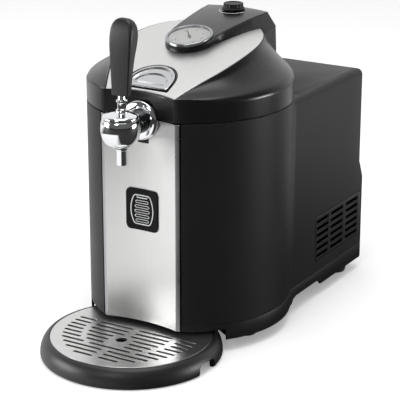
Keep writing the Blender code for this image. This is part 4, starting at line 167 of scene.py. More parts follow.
GAUGE_DIAL_R = 0.0243
GAUGE_DIAL_T = 0.0006
GAUGE_DIAL_IN = 0.0034
GAUGE_LENS_T = 0.0008
GAUGE_LENS_IN = 0.0012
GAUGE_STEM_R = 0.005
GAUGE_STEM_L = 0.0030
GAUGE_ARBOR_HOLE_R = 0.0011
GAUGE_WELL_R = 0.0020
NEEDLE_HUB_R = 0.0022
NEEDLE_T = 0.0006
NEEDLE_L = 0.0185
NEEDLE_TAIL = 0.0060
NEEDLE_W = 0.0011
NEEDLE_IN = 0.0024
NEEDLE_REST_DEG = 128.0
KNOB_Y = 0.099
KNOB_SKIRT_R = 0.0137
KNOB_TOP_R = 0.0120
KNOB_SKIRT_H = 0.0022
KNOB_RIBS = 18
KNOB_RIB_DEPTH = 0.0007
KNOB_EDGE = 0.0012
KNOB_SHAFT_R = 0.0035
KNOB_SHAFT_HOLE_R = 0.0042
KNOB_SHAFT_L = 0.0080
KNOB_CLEAR = 0.0010
LINER_TOP_Z = 0.2928
BUTTON_HALF_W = 0.028
BUTTON_FRONT_Y = 0.097
BUTTON_REAR_Y = 0.059
BUTTON_STRAIGHT = 0.010
BUTTON_SKIRT = 0.0040
BUTTON_WALL = 0.0018
BUTTON_CLEAR = 0.0005
BUTTON_POST_R = 0.0016
BUTTON_POST_X = 0.0200
BUTTON_POST_Y = 0.0950
BUTTON_POST_Z = 0.2755
LATCH_X = 0.034
LATCH_HALF_W = 0.004
STRIKE_LOW_Z = 0.2530
STRIKE_HIGH_Z = 0.2562
STRIKE_Y = 0.0963
TAP_Z = 0.2554
BARREL_Y = 0.1464
SPOUT_Y = 0.1448
STEM_Y = 0.1432
FLANGE_R = 0.0225
FLANGE_BACK_Y = 0.1064
FLANGE_FACE_Y = 0.1118
FLANGE_EDGE_T = 0.0016
FLANGE_BORE_R = 0.0082
SHANK_R = 0.0079
COUPLING_R = 0.0140
COUPLING_BACK_Y = 0.1122
COUPLING_FRONT_Y = 0.1232
COUPLING_RIB = 0.0008
BARREL_R = 0.0220
BARREL_LOW_Z = 0.2350
BARREL_HIGH_Z = 0.2668
BARREL_NECK_R = 0.0105
BARREL_NECK_Y = 0.1237
BONNET_RIM_H = 0.0012
BONNET_SHOULDER_R = 0.0150
BONNET_TOP_R = 0.0098
BONNET_TOP_Z = 0.2738
BONNET_SHOULDER_Z = 0.2722
BALL_Z = 0.2725
BALL_R = 0.0072
BALL_CUP_R = 0.0076
STEM_R = 0.0049
STEM_RING_R = 0.0062
STEM_RING_Z = 0.2857
STEM_RING_H = 0.0018
STEM_TOP_R = 0.0032
STEM_TOP_Z = 0.2995
SPOUT_R = 0.0058
SPOUT_BORE_R = 0.0044
SPOUT_COLLAR_R = 0.0075
SPOUT_COLLAR_T = 0.0040
SPOUT_LOW_Z = 0.2139
SPOUT_TOP_Z = 0.2347
HANDLE_LOW_Z = 0.2923
HANDLE_LEVELS = (0.0, 0.0200, 0.0400, 0.0560, 0.0650, 0.0720, 0.0775, 0.0810, 0.0829, 0.0835)
HANDLE_FRONT_Y = (0.1478, 0.1474, 0.1470, 0.1464, 0.1456, 0.1444, 0.1428, 0.1412, 0.1396, 0.1382)
HANDLE_CORNER_R = (0.0018, 0.0020, 0.0022, 0.0026, 0.0030, 0.0034, 0.0036, 0.0034, 0.0026, 0.0014)
HANDLE_SOCKET_R = 0.0035
HANDLE_SOCKET_L = 0.0075
TRAY_Y = 0.131
TRAY_SKIRT_R = 0.1046
TRAY_RIM_R = 0.0958
TRAY_TOP_Z = 0.0080
TRAY_WALL = 0.0025
TRAY_LEDGE_R = 0.0933
TRAY_BASIN_R = 0.0900
TRAY_FLOOR_R = 0.0878
TRAY_LEDGE_Z = 0.0053
TRAY_FLOOR_Z = 0.0106
TRAY_UNDER_Z = 0.0130
TRAY_GUTTER_R = 0.0925
TRAY_GUTTER_Z = 0.0030
TRAY_GUTTER_OUT_R = 0.0938
TRAY_MID_R = 0.0990
TRAY_MID_Z = 0.0050
SCOOP_REAR_Y = 0.119
SCOOP_FRONT_Y = 0.150
SCOOP_LOW_Z = 0.0112
SCOOP_HIGH_Z = 0.0022
SCOOP_IN_X = 0.0945
SCOOP_OUT_X = 0.1150
PLATE_R = 0.0930
PLATE_LOW_Z = 0.0056
PLATE_HIGH_Z = 0.0080
DRAIN_Y = 0.1518
DRAIN_R = 0.0065
ROW_FIRST_Y = 0.1200
ROW_PITCH = 0.00935
ROW_W = 0.0040
SLOT_FIELD_R = 0.0790
SLOT_CENTRE_GAP = 0.0040
DRAIN_CLEAR_X = 0.0135
DIVIDER_HALF_W = 0.0037
DIVIDER_X = (0.0522, 0.0530, 0.0535, 0.0510, 0.0468, 0.0415, 0.0310, 0.0, 0.0, 0.0)
DRAIN_ROWS = (3, 4, 5)
BRIDGED_ROWS = (6,)
WINDOW_Z = 0.1497
WINDOW_HALF_W = 0.0212
WINDOW_HALF_H = 0.0246
WINDOW_CORNER_R = 0.0060
WINDOW_T = 0.0012
FLARE_OUT_SHARES = (0.0, 0.095, 0.222, 0.444, 0.635, 0.794, 0.920, 1.0)
FLARE_DROP_SHARES = (0.0, 0.194, 0.333, 0.528, 0.667, 0.764, 0.861, 1.0)
FRONT_SET = 0.0005

# Finer features that only the dressed pieces have
BARREL_MID_SHARE = 0.64
BARREL_FULL_SHARE = 0.96
BARREL_DRAW_IN = 0.0024
BONNET_R = 0.0203
MOUTH_FLARE = 1.1
COUPLING_RINGS = 3
COUPLING_BLUNT = 0.6
SPOUT_SLOPE_SHARE = 0.7
SPOUT_ROUND = 0.0005
STEM_NECK_SHARE = 0.9
STEM_FOOT_SHARE = 1.25
STEM_ROUND = 0.0004
HANDLE_HALF_W = (0.0106, 0.0118, 0.0130, 0.0141, 0.0142, 0.0137, 0.0121, 0.0095, 0.0062, 0.0035)
HANDLE_REAR_Y = (0.1396, 0.1382, 0.1352, 0.1310, 0.1291, 0.1288, 0.1298, 0.1314, 0.1334, 0.1350)
TRAY_TUCK = 0.0045
TRAY_SWELL = 1.35
TRAY_ROUND = 0.0012
SCOOP_ROUND = 0.0060
PLATE_EDGE_GAP = 0.0012
PLATE_BREAK = 0.4
PLATE_END_BOW = 1.15
LID_SHADOW_GAP = 0.0009
LID_INNER_SHARE = 1.6
BAND_CREASE = 0.0030
HUMP_NOSE_DEG = 72.0
HUMP_BREAK_RISE = 0.0125
HUMP_BREAK_DRAW = 0.25
KNOB_H = 0.0076
KNOB_BREAK = 0.0004
KNOB_STEP = 0.0006
KNOB_FILLET = 0.0002
KNOB_DISH_OUT = 0.0012
KNOB_DISH_IN = 0.0020
BUTTON_CORNER = 0.0030
BUTTON_FRAME = 0.0032
BUTTON_PROUD = 0.0010
SKIRT_DRAW = 0.0012
SCOOP_RUN = 0.0150
# Each step of the finger scoop: how far in from the side, front and rear, and how deep
SCOOP_STEPS = (
    (0.0026, 0.0012, 0.0028, 0.0000), (0.0034, 0.0022, 0.0044, 0.0018), (0.0046, 0.0034, 0.0068, 0.0024),
    (0.0074, 0.0050, 0.0112, 0.0021), (0.0084, 0.0062, 0.0126, 0.0036), (0.0102, 0.0078, 0.0152, 0.0041),
    (0.0155, 0.0100, 0.0205, 0.0042),
)
SCREW_IN = 0.0060
SCREW_HEAD_H = 0.0012
SCREW_TOP_SHARE = 0.72
SCREW_SLOT_L = 1.15
SCREW_SLOT_W = 0.24
NEEDLE_BEND_SHARE = 0.75
# A slot's end is almost a half circle, so that no two of its points meet
ROUND_END = 0.49
# Corners of a turned profile are rounded from this angle on, over at most this share of their sides
ROUND_FROM_DEG = 25.0
CORNER_REACH = 0.45

# The gauge's print: a mark is its radius, length and width
DIAL_START_DEG = 225.0
DIAL_SWEEP_DEG = -270.0
DIAL_INK_T = 0.0001
DIAL_INK_LIFT = 0.00006
SMALL_MARK = (0.0212, 0.0016, 0.00035)
LARGE_MARK = (0.0205, 0.0030, 0.0006)
NUMERAL_R = 0.0162
NUMERAL_H = 0.0048

# The wedge printed round the knob
SCALE_START_DEG = 195.0
SCALE_SWEEP_DEG = 150.0
SCALE_OUT = 0.0026
SCALE_THIN = 0.0007
SCALE_WIDEN = 0.0011
SCALE_LOW = 0.00002
SCALE_HIGH = 0.00012

# The level window's printed mark
PRINT_LINE = 0.0011
PRINT_T = 0.00016
LOOP_LINE = 0.0006
LOOP_PITCH = 0.0056
LOOP_W = 0.0165
LOOP_BULGE = 0.17
LOOP_H = 0.0029
LOOP_DROP = 0.0019
KEG_MARK_HALF_H = 0.0172
KEG_MARK_END_W = 0.0100
KEG_MARK_BULGE = 0.0047
KEG_MARK_ROUND = 0.0012
KEG_PLUG_H = 0.0030
KEG_PLUG_HALF_W = 0.0070
KEG_PLUG_TAPER = 0.92

# Studio: lamps are name, place, width, height and power; the backdrop's way is the mirror of the camera's
LAMPS = (
    ("Key softbox", (-1.75, -1.35, 0.50), 1.3, 0.8, 30.0),
    ("Top softbox", (0.2, -0.3, 2.3), 1.6, 1.6, 26.0),
    ("Front fill", (0.3, -2.6, 1.7), 1.0, 0.6, 11.0),
    ("Side softbox", (2.3, 1.0, 0.14), 1.0, 0.5, 34.0),
)
BACKDROP_WAY = (-0.486, 0.812, 0.322)
ROOM_LEVEL = 0.12
ROOM_NEAR = 0.10
ROOM_FAR = 0.70
# Painted light on the floor, seen only in reflections: the pool's centre, its fall-off, its painted dark level and its
# cut on the right, then the lighter stretch towards the backdrop
POOL_SPOT = (0.0, -0.17, 0.0)
POOL_NEAR = 0.72
POOL_FAR = 0.78
PAINTED_FLOOR_SHADE = 0.035
POOL_SIDE = (0.888, 0.311, 0.0)
POOL_SOFT = 0.05
REAR_NEAR = 0.15
REAR_FAR = 0.60
FLOOR_LIFT = 0.24
SKY_LEVEL = 0.55
LAMP_AIM = (0.0, 0.0, 0.2)
WHITE = (1.0, 1.0, 1.0, 1.0)

# Camera of the photograph: its lens, place and angles
CAMERA_LENS = 144.49
CAMERA_SENSOR = 36.0
CAMERA_SPOT = (0.9341, -1.5483, 0.7584)
CAMERA_RISE_DEG = 18.79
CAMERA_TURN_DEG = 30.90

# How fine the curved pieces are
SEG = 128
SEG_MID = 72
SEG_SMALL = 40
FINE = 4
CURVE_STEPS = 24
CIRCLE_STEPS = 72
PANEL_STEPS = 28
BUTTON_STEPS = 32
BUTTON_FRONT_POINTS = 8
RIB_POINTS = 6
SCALE_STEPS = 48
MERGE = 0.000002

# Edges bent more than this many degrees stay sharp, or get a soft edge where a piece has one
SHARP_SCOOP = 24.0
SHARP_SHEET = 30.0
SHARP_PLAIN = 35.0
SHARP_MOULDED = 40.0
SHARP_ROUND = 50.0
SLAT_EDGE_SHARE = 0.6

# Finishes: patch sizes and depths in metres, tones as shares of the colour, spreads of the roughness
MOULD_CLOUD = 0.045
MOULD_TONES = (0.88, 1.14)
MOULD_SPREAD = 0.05
GRAIN_DEPTH_SHARE = 0.12
ABS_IOR = 1.53
STROKE_W = 0.0009
BRUSH_TONES = (0.92, 1.06)
BRUSH_SMOOTHER = 0.06
BRUSH_ROUGHER = 0.08
BRUSH_RELIEF = 0.06
BRUSH_DEPTH = 0.00004
HAZE_SPOT = 0.012
HAZE_TONES = (0.96, 1.03)
HAZE_SMOOTHER = 0.7
HAZE_ROUGHER = 1.4
LENS_HAZE = 0.01
LENS_ROUGHNESS = 0.03
ACRYLIC_IOR = 1.49

# The frame's origin is under the middle of the machine's length
SHIFT_Y = (BOX_REAR_LOW_Y + SWITCH_PROUD - TRAY_Y - TRAY_SKIRT_R) / 2.0

blend_cx = BOX_HALF_W + BLEND_R
blend_cy = math.sqrt((BODY_R + BLEND_R) ** 2 - blend_cx ** 2)
blend_start = math.degrees(math.atan2(blend_cy, blend_cx))
CIRCLE_END = CURVE_STEPS + 3 + CIRCLE_STEPS


# Finishes


def linear(code):
    """An sRGB hex colour as linear RGBA."""
    out = []
    for k in (0, 2, 4):
        c = int(code[k:k + 2], 16) / 255.0
        out.append(c / 12.92 if c <= 0.04045 else ((c + 0.055) / 1.055) ** 2.4)
    return (out[0], out[1], out[2], 1.0)


def preset(node, values):
    """Sets values on the node's own sockets."""
    for key, value in values.items():
        node.inputs[key].default_value = value


def add(tree, kind, inputs=None, links=None, **settings):
    """One node with its settings, values and links; a node that is given as a source lends its first output."""
    made = tree.nodes.new(kind)
    for key, value in settings.items():
        setattr(made, key, value)
    preset(made, inputs or {})
    for key, source in (links or {}).items():
        if isinstance(source, bpy.types.Node):
            source = source.outputs[0]
        tree.links.new(source, made.inputs[key])
    return made


def new_finish(name):
    """An empty finish with its tree, its shader and the object's own coordinates."""
    made = bpy.data.materials.new(name)
    made.use_nodes = True
    tree = made.node_tree
    return made, tree, tree.nodes["Principled BSDF"], add(tree, "ShaderNodeTexCoord").outputs["Object"]


def varied(tree, shader, source, low, high):
    """Sends a 0 to 1 pattern to the roughness as a small range of values."""
    spread = add(tree, "ShaderNodeMapRange", {"To Min": low, "To Max": high}, {"Value": source})
    tree.links.new(spread.outputs["Result"], shader.inputs["Roughness"])


def tinted(tree, shader, source, colour, dark, light):
    """Sends a 0 to 1 pattern to the colour, from a darker to a lighter tone of it."""
    blend = add(tree, "ShaderNodeMix", {6: tone(colour, dark), 7: tone(colour, light)}, {0: source}, data_type="RGBA")
    tree.links.new(blend.outputs[2], shader.inputs["Base Color"])


def raised(tree, shader, source, strength, depth):
    """Sends a 0 to 1 pattern to the surface as fine relief."""
    relief = add(tree, "ShaderNodeBump", {"Strength": strength, "Distance": depth}, {"Height": source})
    tree.links.new(relief.outputs["Normal"], shader.inputs["Normal"])


def tone(colour, factor):
    """The same colour, lighter or darker."""
    return tuple(min(c * factor, 1.0) for c in colour[:3]) + (1.0,)


def moulded(name, colour, roughness, grain=0.0006, bump=0.10, gleam=0.5):
    """Injection-moulded plastic with an even spark-eroded grain."""
    made, tree, shader, coords = new_finish(name)
    fine = add(tree, "ShaderNodeTexNoise", {"Scale": 1.0 / grain, "Detail": 2.0}, {"Vector": coords})
    wide = add(tree, "ShaderNodeTexNoise", {"Scale": 1.0 / MOULD_CLOUD, "Detail": 3.0}, {"Vector": coords})
    tinted(tree, shader, wide, colour, *MOULD_TONES)
    varied(tree, shader, wide, roughness - MOULD_SPREAD, roughness + MOULD_SPREAD)
    raised(tree, shader, fine, bump, grain * GRAIN_DEPTH_SHARE)
    preset(shader, {"IOR": ABS_IOR, "Specular IOR Level": gleam})
    return made


def brushed(name, colour, roughness, pitch):
    """Sheet steel brushed with long parallel strokes; pitch gives the stroke's size along x, y and z."""
    made, tree, shader, coords = new_finish(name)
    stretch = add(tree, "ShaderNodeMapping", {"Scale": tuple(1.0 / p for p in pitch)}, {"Vector": coords})
    strokes = add(tree, "ShaderNodeTexNoise", {"Scale": 1.0, "Detail": 4.0, "Roughness": 0.6}, {"Vector": stretch})
    tinted(tree, shader, strokes, colour, *BRUSH_TONES)
    varied(tree, shader, strokes, roughness - BRUSH_SMOOTHER, roughness + BRUSH_ROUGHER)
    raised(tree, shader, strokes, BRUSH_RELIEF, BRUSH_DEPTH)
    preset(shader, {"Metallic": 1.0})
    return made


def polished(name, colour, roughness):
    """Plated or turned metal with the faint haze that handling leaves."""
    made, tree, shader, coords = new_finish(name)
    haze = add(tree, "ShaderNodeTexNoise", {"Scale": 1.0 / HAZE_SPOT, "Detail": 3.0}, {"Vector": coords})
    tinted(tree, shader, haze, colour, *HAZE_TONES)
    varied(tree, shader, haze, roughness * HAZE_SMOOTHER, roughness * HAZE_ROUGHER)
    preset(shader, {"Metallic": 1.0})
    return made


def clear_plastic(name):
    """Moulded clear acrylic with a hair of surface haze."""
    made, tree, shader, coords = new_finish(name)
    haze = add(tree, "ShaderNodeTexNoise", {"Scale": 1.0 / LENS_HAZE, "Detail": 2.0}, {"Vector": coords})
    varied(tree, shader, haze, 0.0, LENS_ROUGHNESS)
    preset(shader, {"Transmission Weight": 1.0, "IOR": ACRYLIC_IOR})
    return made


FINISHES = {}


def make_finishes(colours):
    """Fills the table of finishes from the user's colours."""
    FINISHES.update(
        # Black ABS, moulded with a satin spark grain: it drinks light but keeps a soft sheen on its curves
        black_abs=moulded("Satin black ABS", colours.cabinet, 0.42, gleam=0.22),
        # The lid's moulding is smoother, so its flare catches the sky
        lid_abs=moulded("Satin black ABS of the lid", colours.lid, 0.27, gleam=0.38),
        # The softer plastic of the handle and the tray scatters more
        handle_abs=moulded("Soft black handle plastic", colours.handle, 0.40, gleam=0.45),
        # Gloss black acrylic of the level window: a faint clean reflection over near black
        gloss_black=moulded("Gloss black acrylic", colours.window, 0.12, bump=0.0, gleam=0.10),
        # Stainless sheet with long brush strokes, 0.9 mm apart here because the real 0.1 mm ones can't show
        panel_steel=brushed("Brushed stainless panel", colours.steel, 0.33, (STROKE_W, STROKE_W, 0.060)),
        lid_steel=brushed("Brushed stainless lid plate", colours.steel, 0.36, (STROKE_W, 0.060, 0.060)),
        grille_steel=brushed("Brushed stainless drip plate", colours.steel, 0.30, (0.050, STROKE_W, 0.050)),
        # The panel's folded edge is smoothed by the rolls; its steel is painted darker, a painted reflection of the
        # dim room beside the lamp
        fold_steel=polished("Rolled fold of the stainless panel", linear("a6a7a9"), 0.30),
        # Rolled steel of hinge, latch and cartridge: dull grey, faint haze
        plain_steel=polished("Rolled steel", linear("b0b1b2"), 0.32),
        # Bright chrome plate: a mirror with handling haze
        chrome=polished("Chrome plate on brass", colours.chrome, 0.05),
        # Black chrome of the ringed coupling: a darker, slightly softer mirror
        black_chrome=polished("Black chrome coupling", linear("58595b"), 0.12),
        # Nickel plate of the gauge's rim: greyer than chrome
        nickel=polished("Nickel-plated gauge rim", linear("a9abad"), 0.16),
        # Turned brass and extruded aluminium: fine tool marks blur what they mirror
        brass=polished("Turned brass", linear("cfa95a"), 0.28),
        aluminium=polished("Extruded aluminium", linear("c1c3c5"), 0.38),
        # Metallised ABS: a soft silver between chrome and paint
        silver_abs=polished("Metallised ABS of the release button", colours.button, 0.22),
        # Rubber and foam are matt and coarse; the foam's cells are about 3 mm across
        rubber=moulded("Black foot rubber", linear("181818"), 0.80, grain=0.0009),
        foam=moulded("Expanded insulation foam", linear("e0dac8"), 0.90, grain=0.003, bump=0.5),
        # The pale plastics inside are satin, and the printed dial is nearly flat
        white_abs=moulded("White ABS liner", linear("e0e0de"), 0.45),
        dial_white=moulded("Printed dial face", colours.dial, 0.55, bump=0.02),
        board_green=moulded("Solder-masked circuit board", linear("205f38"), 0.35),
        hose=moulded("Food-grade hose", linear("d6dcde"), 0.30, bump=0.02),
        # Clear acrylic over the dial: seen through, with a clean gleam
        clear=clear_plastic("Clear acrylic lens"),
        # Pad-printed ink: thin, flat and matt
        ink_light=moulded("Light printed ink", linear("c4c5c7"), 0.50, bump=0.02),
        ink_dark=moulded("Dark printed ink", linear("2c2c2e"), 0.55, bump=0.02),
    )


# Shapes


def arc(cx, cy, radius, start_deg, end_deg, steps):
    points = []
    for k in range(steps + 1):
        a = math.radians(start_deg + (end_deg - start_deg) * k / steps)
        points.append((cx + radius * math.cos(a), cy + radius * math.sin(a)))
    return points


def turns(steps, first=1, degrees=90.0):
    """The cosine and sine at each even step of a turn."""
    angles = [math.radians(degrees * k / steps) for k in range(first, steps + 1)]
    return [(math.cos(a), math.sin(a)) for a in angles]


def smooth_values(values, factor):
    """Values between the given ones, on a curve that never swings past them."""
    n = len(values)
    steps = [values[k + 1] - values[k] for k in range(n - 1)]
    slopes = [steps[0]]
    for a, b in zip(steps, steps[1:]):
        slopes.append(0.0 if a * b <= 0.0 else 2.0 * a * b / (a + b))
    slopes.append(steps[-1])
    out = []
    for k in range(n - 1):
        for j in range(factor):
            t = j / factor
            out.append(values[k] * (1.0 + 2.0 * t) * (1.0 - t) ** 2 + slopes[k] * t * (1.0 - t) ** 2
                       + values[k + 1] * t * t * (3.0 - 2.0 * t) + slopes[k + 1] * t * t * (t - 1.0))
    out.append(values[-1])
    return out


def front_arc_y(x, back=0.0):
    return -(FRONT_CENTRE_Y + FRONT_ARC_R) + math.sqrt(FRONT_ARC_R ** 2 - x ** 2) + back


def front_run(width, steps, back=0.0):
    """Points along the front's curve, from its middle to this far out."""
    return [(width * k / steps, front_arc_y(width * k / steps, back)) for k in range(steps + 1)]


def crown_z(y):
    return CROWN_Z - (CROWN_R - math.sqrt(CROWN_R ** 2 - (y - CROWN_Y) ** 2))


def mirror_ring(half):
    back = [(-p[0],) + tuple(p[1:]) for p in reversed(half[1:-1])]
    return list(half) + back


def bridge(bm, a, b):
    n = len(a)
    for k in range(n):
        m = (k + 1) % n
        bm.faces.new((a[k], a[m], b[m], b[k]))


def cap(bm, ring, front):
    n = len(ring)
    half = n // 2
    heights = [v.co.z for v in ring]
    if max(heights) - min(heights) < GAP / 100.0:
        bm.faces.new(ring)
        return
    if front:
        bm.faces.new([ring[k] for k in range(n - front, n)] + [ring[k] for k in range(front + 1)])
    else:
        bm.faces.new((ring[0], ring[1], ring[n - 1]))
    for k in range(max(front, 1), half - 1):
        bm.faces.new((ring[k], ring[k + 1], ring[n - k - 1], ring[n - k]))
    bm.faces.new((ring[half - 1], ring[half], ring[half + 1]))


def strung(rings):
    """Whole rings joined in order, open at both ends."""
    bm = bmesh.new()
    made = [[bm.verts.new(p) for p in ring] for ring in rings]
    for a, b in zip(made, made[1:]):
        bridge(bm, a, b)
    return bm, made


def loft(rings, closed=False, front=0):
    """Half rings, mirrored and joined in order, with flat ends unless it closes on itself."""
    bm, made = strung([mirror_ring(ring) for ring in rings])
    if closed:
        bridge(bm, made[-1], made[0])
    else:
        cap(bm, made[0], front)
        cap(bm, made[-1], front)
    bmesh.ops.remove_doubles(bm, verts=bm.verts, dist=MERGE)
    return bm


def closed_ends(bm, first, last):
    """Fills both ends and turns every face outwards."""
    bm.faces.new(first)
    bm.faces.new(last)
    bmesh.ops.recalc_face_normals(bm, faces=bm.faces)
    return bm


def full_loft(rings):
    """Whole rings joined in order, with flat ends."""
    bm, made = strung(rings)
    return closed_ends(bm, made[0], made[-1])


def at_z(half, z):
    return [(p[0], p[1], z) for p in half]


def column(half, low, high):
    """A straight block on a mirrored outline."""
    return loft([at_z(half, low), at_z(half, high)])


def inset(half, distance):
    ring = mirror_ring([(p[0], p[1]) for p in half])
    n = len(ring)
    count = len(half)
    out = []
    for k in range(count):
        before, here, after = Vector(ring[(k - 1) % n]), Vector(ring[k]), Vector(ring[(k + 1) % n])
        d1 = (here - before).normalized()
        d2 = (after - here).normalized()
        n1 = Vector((-d1.y, d1.x))
        middle = (n1 + Vector((-d2.y, d2.x))).normalized()
        spot = here + middle * distance / max(middle.dot(n1), 0.5)
        out.append((0.0 if k in (0, count - 1) else spot.x, spot.y))
    return out


def prism(points, low, high, axis="z"):
    """An outline drawn out along an axis, whichever end comes first."""
    place = {"z": lambda p, w: (p[0], p[1], w), "y": lambda p, w: (p[0], w, p[1]), "x": lambda p, w: (w, *p)}[axis]
    bm, (first, last) = strung([[place(p, w) for p in points] for w in sorted((low, high))])
    return closed_ends(bm, first, list(reversed(last)))


def box(x0, x1, y0, y1, z0, z1):
    x0, x1 = sorted((x0, x1))
    return prism([(x0, y0), (x1, y0), (x1, y1), (x0, y1)], z0, z1)


def revolve(profile, steps):
    """A profile of radius and height turned round the z axis."""
    bm = bmesh.new()
    start = [bm.verts.new((r, 0.0, z)) for r, z in profile]
    edges = [bm.edges.new((a, b)) for a, b in zip(start, start[1:])]
    if profile[0][0] > 0.0 or profile[-1][0] > 0.0:
        edges.append(bm.edges.new((start[-1], start[0])))
    bmesh.ops.spin(bm, geom=start + edges, cent=(0.0, 0.0, 0.0), axis=(0.0, 0.0, 1.0), angle=math.tau, steps=steps,
                   use_merge=True, use_duplicate=False)
    bmesh.ops.remove_doubles(bm, verts=bm.verts, dist=MERGE)
    bmesh.ops.recalc_face_normals(bm, faces=bm.faces)
    return bm


def rod(radius, low, high, steps, bore=0.0):
    """A plain round bar or disc, with a hole through it if it has a bore."""
    return revolve([(bore, low), (radius, low), (radius, high), (bore, high)], steps)


def rounded(profile, radius, steps):
    """The profile with each inner corner sharper than 25 degrees turned into a small arc."""
    out = [profile[0]]
    for before, here, after in zip(profile, profile[1:], profile[2:]):
        q = Vector(here)
        a, b = Vector(before) - q, Vector(after) - q
        turn = math.pi - a.angle(b, math.pi)
        if turn < math.radians(ROUND_FROM_DEG):
            out.append(here)
            continue
        reach = min(radius * math.tan(turn / 2.0), a.length * CORNER_REACH, b.length * CORNER_REACH)
        start, end = q + a.normalized() * reach, q + b.normalized() * reach
        for k in range(steps + 1):
            t = k / steps
            spot = start * (1.0 - t) ** 2 + q * 2.0 * t * (1.0 - t) + end * t * t
            out.append((max(spot.x, 0.0), spot.y))
    out.append(profile[-1])
    return out


def moved(bm, x, y, z):
    bmesh.ops.translate(bm, verts=bm.verts, vec=(x, y, z))
    return bm


def turned(bm, axis, degrees):
    bmesh.ops.rotate(bm, verts=bm.verts, cent=(0.0, 0.0, 0.0), matrix=Matrix.Rotation(math.radians(degrees), 3, axis))
    return bm


def along_front(bm, y, z):
    return moved(turned(bm, "X", 90.0), 0.0, y, z)


def linked(name, data):
    """A new object in the scene."""
    obj = bpy.data.objects.new(name, data)
    bpy.context.scene.collection.objects.link(obj)
    return obj


def to_mesh(bm, name):
    """A mesh from a bmesh that isn't needed again."""
    mesh = bpy.data.meshes.new(name)
    bm.to_mesh(mesh)
    bm.free()
    return mesh


def from_mesh(mesh, out=None):
    """A bmesh from a mesh that isn't needed again, added to another one if that is given."""
    if out is None:
        out = bmesh.new()
    out.from_mesh(mesh)
    bpy.data.meshes.remove(mesh)
    return out


def evaluated_mesh(obj):
    """The object's mesh as its modifiers leave it."""
    graph = bpy.context.evaluated_depsgraph_get()
    graph.update()
    return bpy.data.meshes.new_from_object(obj.evaluated_get(graph))


def scratch_object(bm, name):
    bmesh.ops.recalc_face_normals(bm, faces=bm.faces)
    return linked(name, to_mesh(bm, name))


def combine(bm, others, operation):
    """One solid after another cut from or joined to the first."""
    base = scratch_object(bm, "work")
    for other in others:
        tool = scratch_object(other, "tool")
        mod = base.modifiers.new("step", "BOOLEAN")
        mod.object = tool
        mod.operation = operation
        mod.solver = "EXACT"
        mesh = evaluated_mesh(base)
        base.modifiers.clear()
        base.data = mesh
        bpy.data.objects.remove(tool, do_unlink=True)
    out = bmesh.new()
    out.from_mesh(base.data)
    bpy.data.objects.remove(base, do_unlink=True)
    bmesh.ops.remove_doubles(out, verts=out.verts, dist=MERGE)
    bmesh.ops.dissolve_degenerate(out, edges=out.edges, dist=MERGE)
    return out


def cut(bm, others):
    return combine(bm, others, "DIFFERENCE")


def join(bm, others):
    return combine(bm, others, "UNION")


def merged(parts):
    out = bmesh.new()
    for part in parts:
        from_mesh(to_mesh(part, "merge"), out)
    return out


def rounded_rectangle(x0, x1, y0, y1, radius, steps=8):
    points = []
    for cx, cy, a in ((x1 - radius, y1 - radius, 0.0), (x0 + radius, y1 - radius, 90.0),
                      (x0 + radius, y0 + radius, 180.0), (x1 - radius, y0 + radius, 270.0)):
        points += arc(cx, cy, radius, a, a + 90.0, steps)
    return points


def widened(frame_sides, grow, corner):
    """A rounded rectangle this much larger on all sides, or smaller."""
    x0, x1, y0, y1 = frame_sides
    return rounded_rectangle(x0 - grow, x1 + grow, y0 - grow, y1 + grow, corner)


def piece(bm, name, finish, body, node=None, bevel=0.0, sharp=SHARP_PLAIN, place=True):
    """A finished object in the frame's place, with soft edges, riding on its body and standing for its node."""
    bmesh.ops.remove_doubles(bm, verts=bm.verts, dist=MERGE)
    if place:
        bmesh.ops.recalc_face_normals(bm, faces=bm.faces)
        bmesh.ops.translate(bm, verts=bm.verts, vec=(0.0, -SHIFT_Y, FOOT_H))
    mesh = to_mesh(bm, name)
    mesh.materials.append(FINISHES[finish])
    mesh.shade_smooth()
    if not bevel:
        mesh.set_sharp_from_angle(angle=math.radians(sharp))
    obj = linked(name, mesh)
    if bevel:
        mod = obj.modifiers.new("soft_edges", "BEVEL")
        mod.width = bevel
        mod.segments = 2
        mod.limit_method = "ANGLE"
        mod.angle_limit = math.radians(sharp)
        mod.use_clamp_overlap = False
        mod.harden_normals = True
    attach(obj, body)
    if node:
        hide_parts(node)
    return obj


def dressed(node, finish, body, bevel=0.0, sharp=SHARP_PLAIN):
    """A merged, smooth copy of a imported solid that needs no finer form, standing for it."""
    bm = bmesh.new()
    bm.from_mesh(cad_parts[node].data)
    bmesh.ops.remove_doubles(bm, verts=bm.verts, dist=MERGE)
    bmesh.ops.dissolve_limit(bm, angle_limit=math.radians(0.5), verts=bm.verts, edges=bm.edges)
    return piece(bm, node + "_skin", finish, body, node, bevel, sharp, place=False)


# Outlines


def cabinet_half(rear_y, wall=0.0, corner=BOX_CORNER_R):
    """Half of the cabinet's outline at one height, its inner side if it has a wall."""
    radius = BODY_R - wall
    if wall == 0.0:
        half = front_run(RECESS_CURVE_W, CURVE_STEPS, PANEL_T + GAP)
        half += [(RECESS_STEP_W, -RECESS_FLOOR_Y), (RECESS_HALF_W, -RECESS_FLOOR_Y)]
        first = RECESS_HALF_W
    else:
        half = [(x * INNER_FRONT_W / (CURVE_STEPS + 2), -INNER_FRONT_Y) for x in range(CURVE_STEPS + 3)]
        first = INNER_FRONT_W + GAP
    half += arc(0.0, 0.0, radius, -math.degrees(math.acos(first / radius)), blend_start, CIRCLE_STEPS)
    width = BOX_HALF_W - wall
    half += arc(blend_cx, blend_cy, BLEND_R + wall, 180.0 + blend_start, 180.0, 16)[1:]
    side = rear_y - wall - corner
    half += [(width, blend_cy + (side - blend_cy) * k / 6.0) for k in range(1, 6)]
    half += arc(width - corner, side, corner, 0.0, 90.0, 8)
    return half + [((width - corner) * (4 - k) / 4.0, rear_y - wall) for k in range(1, 5)]


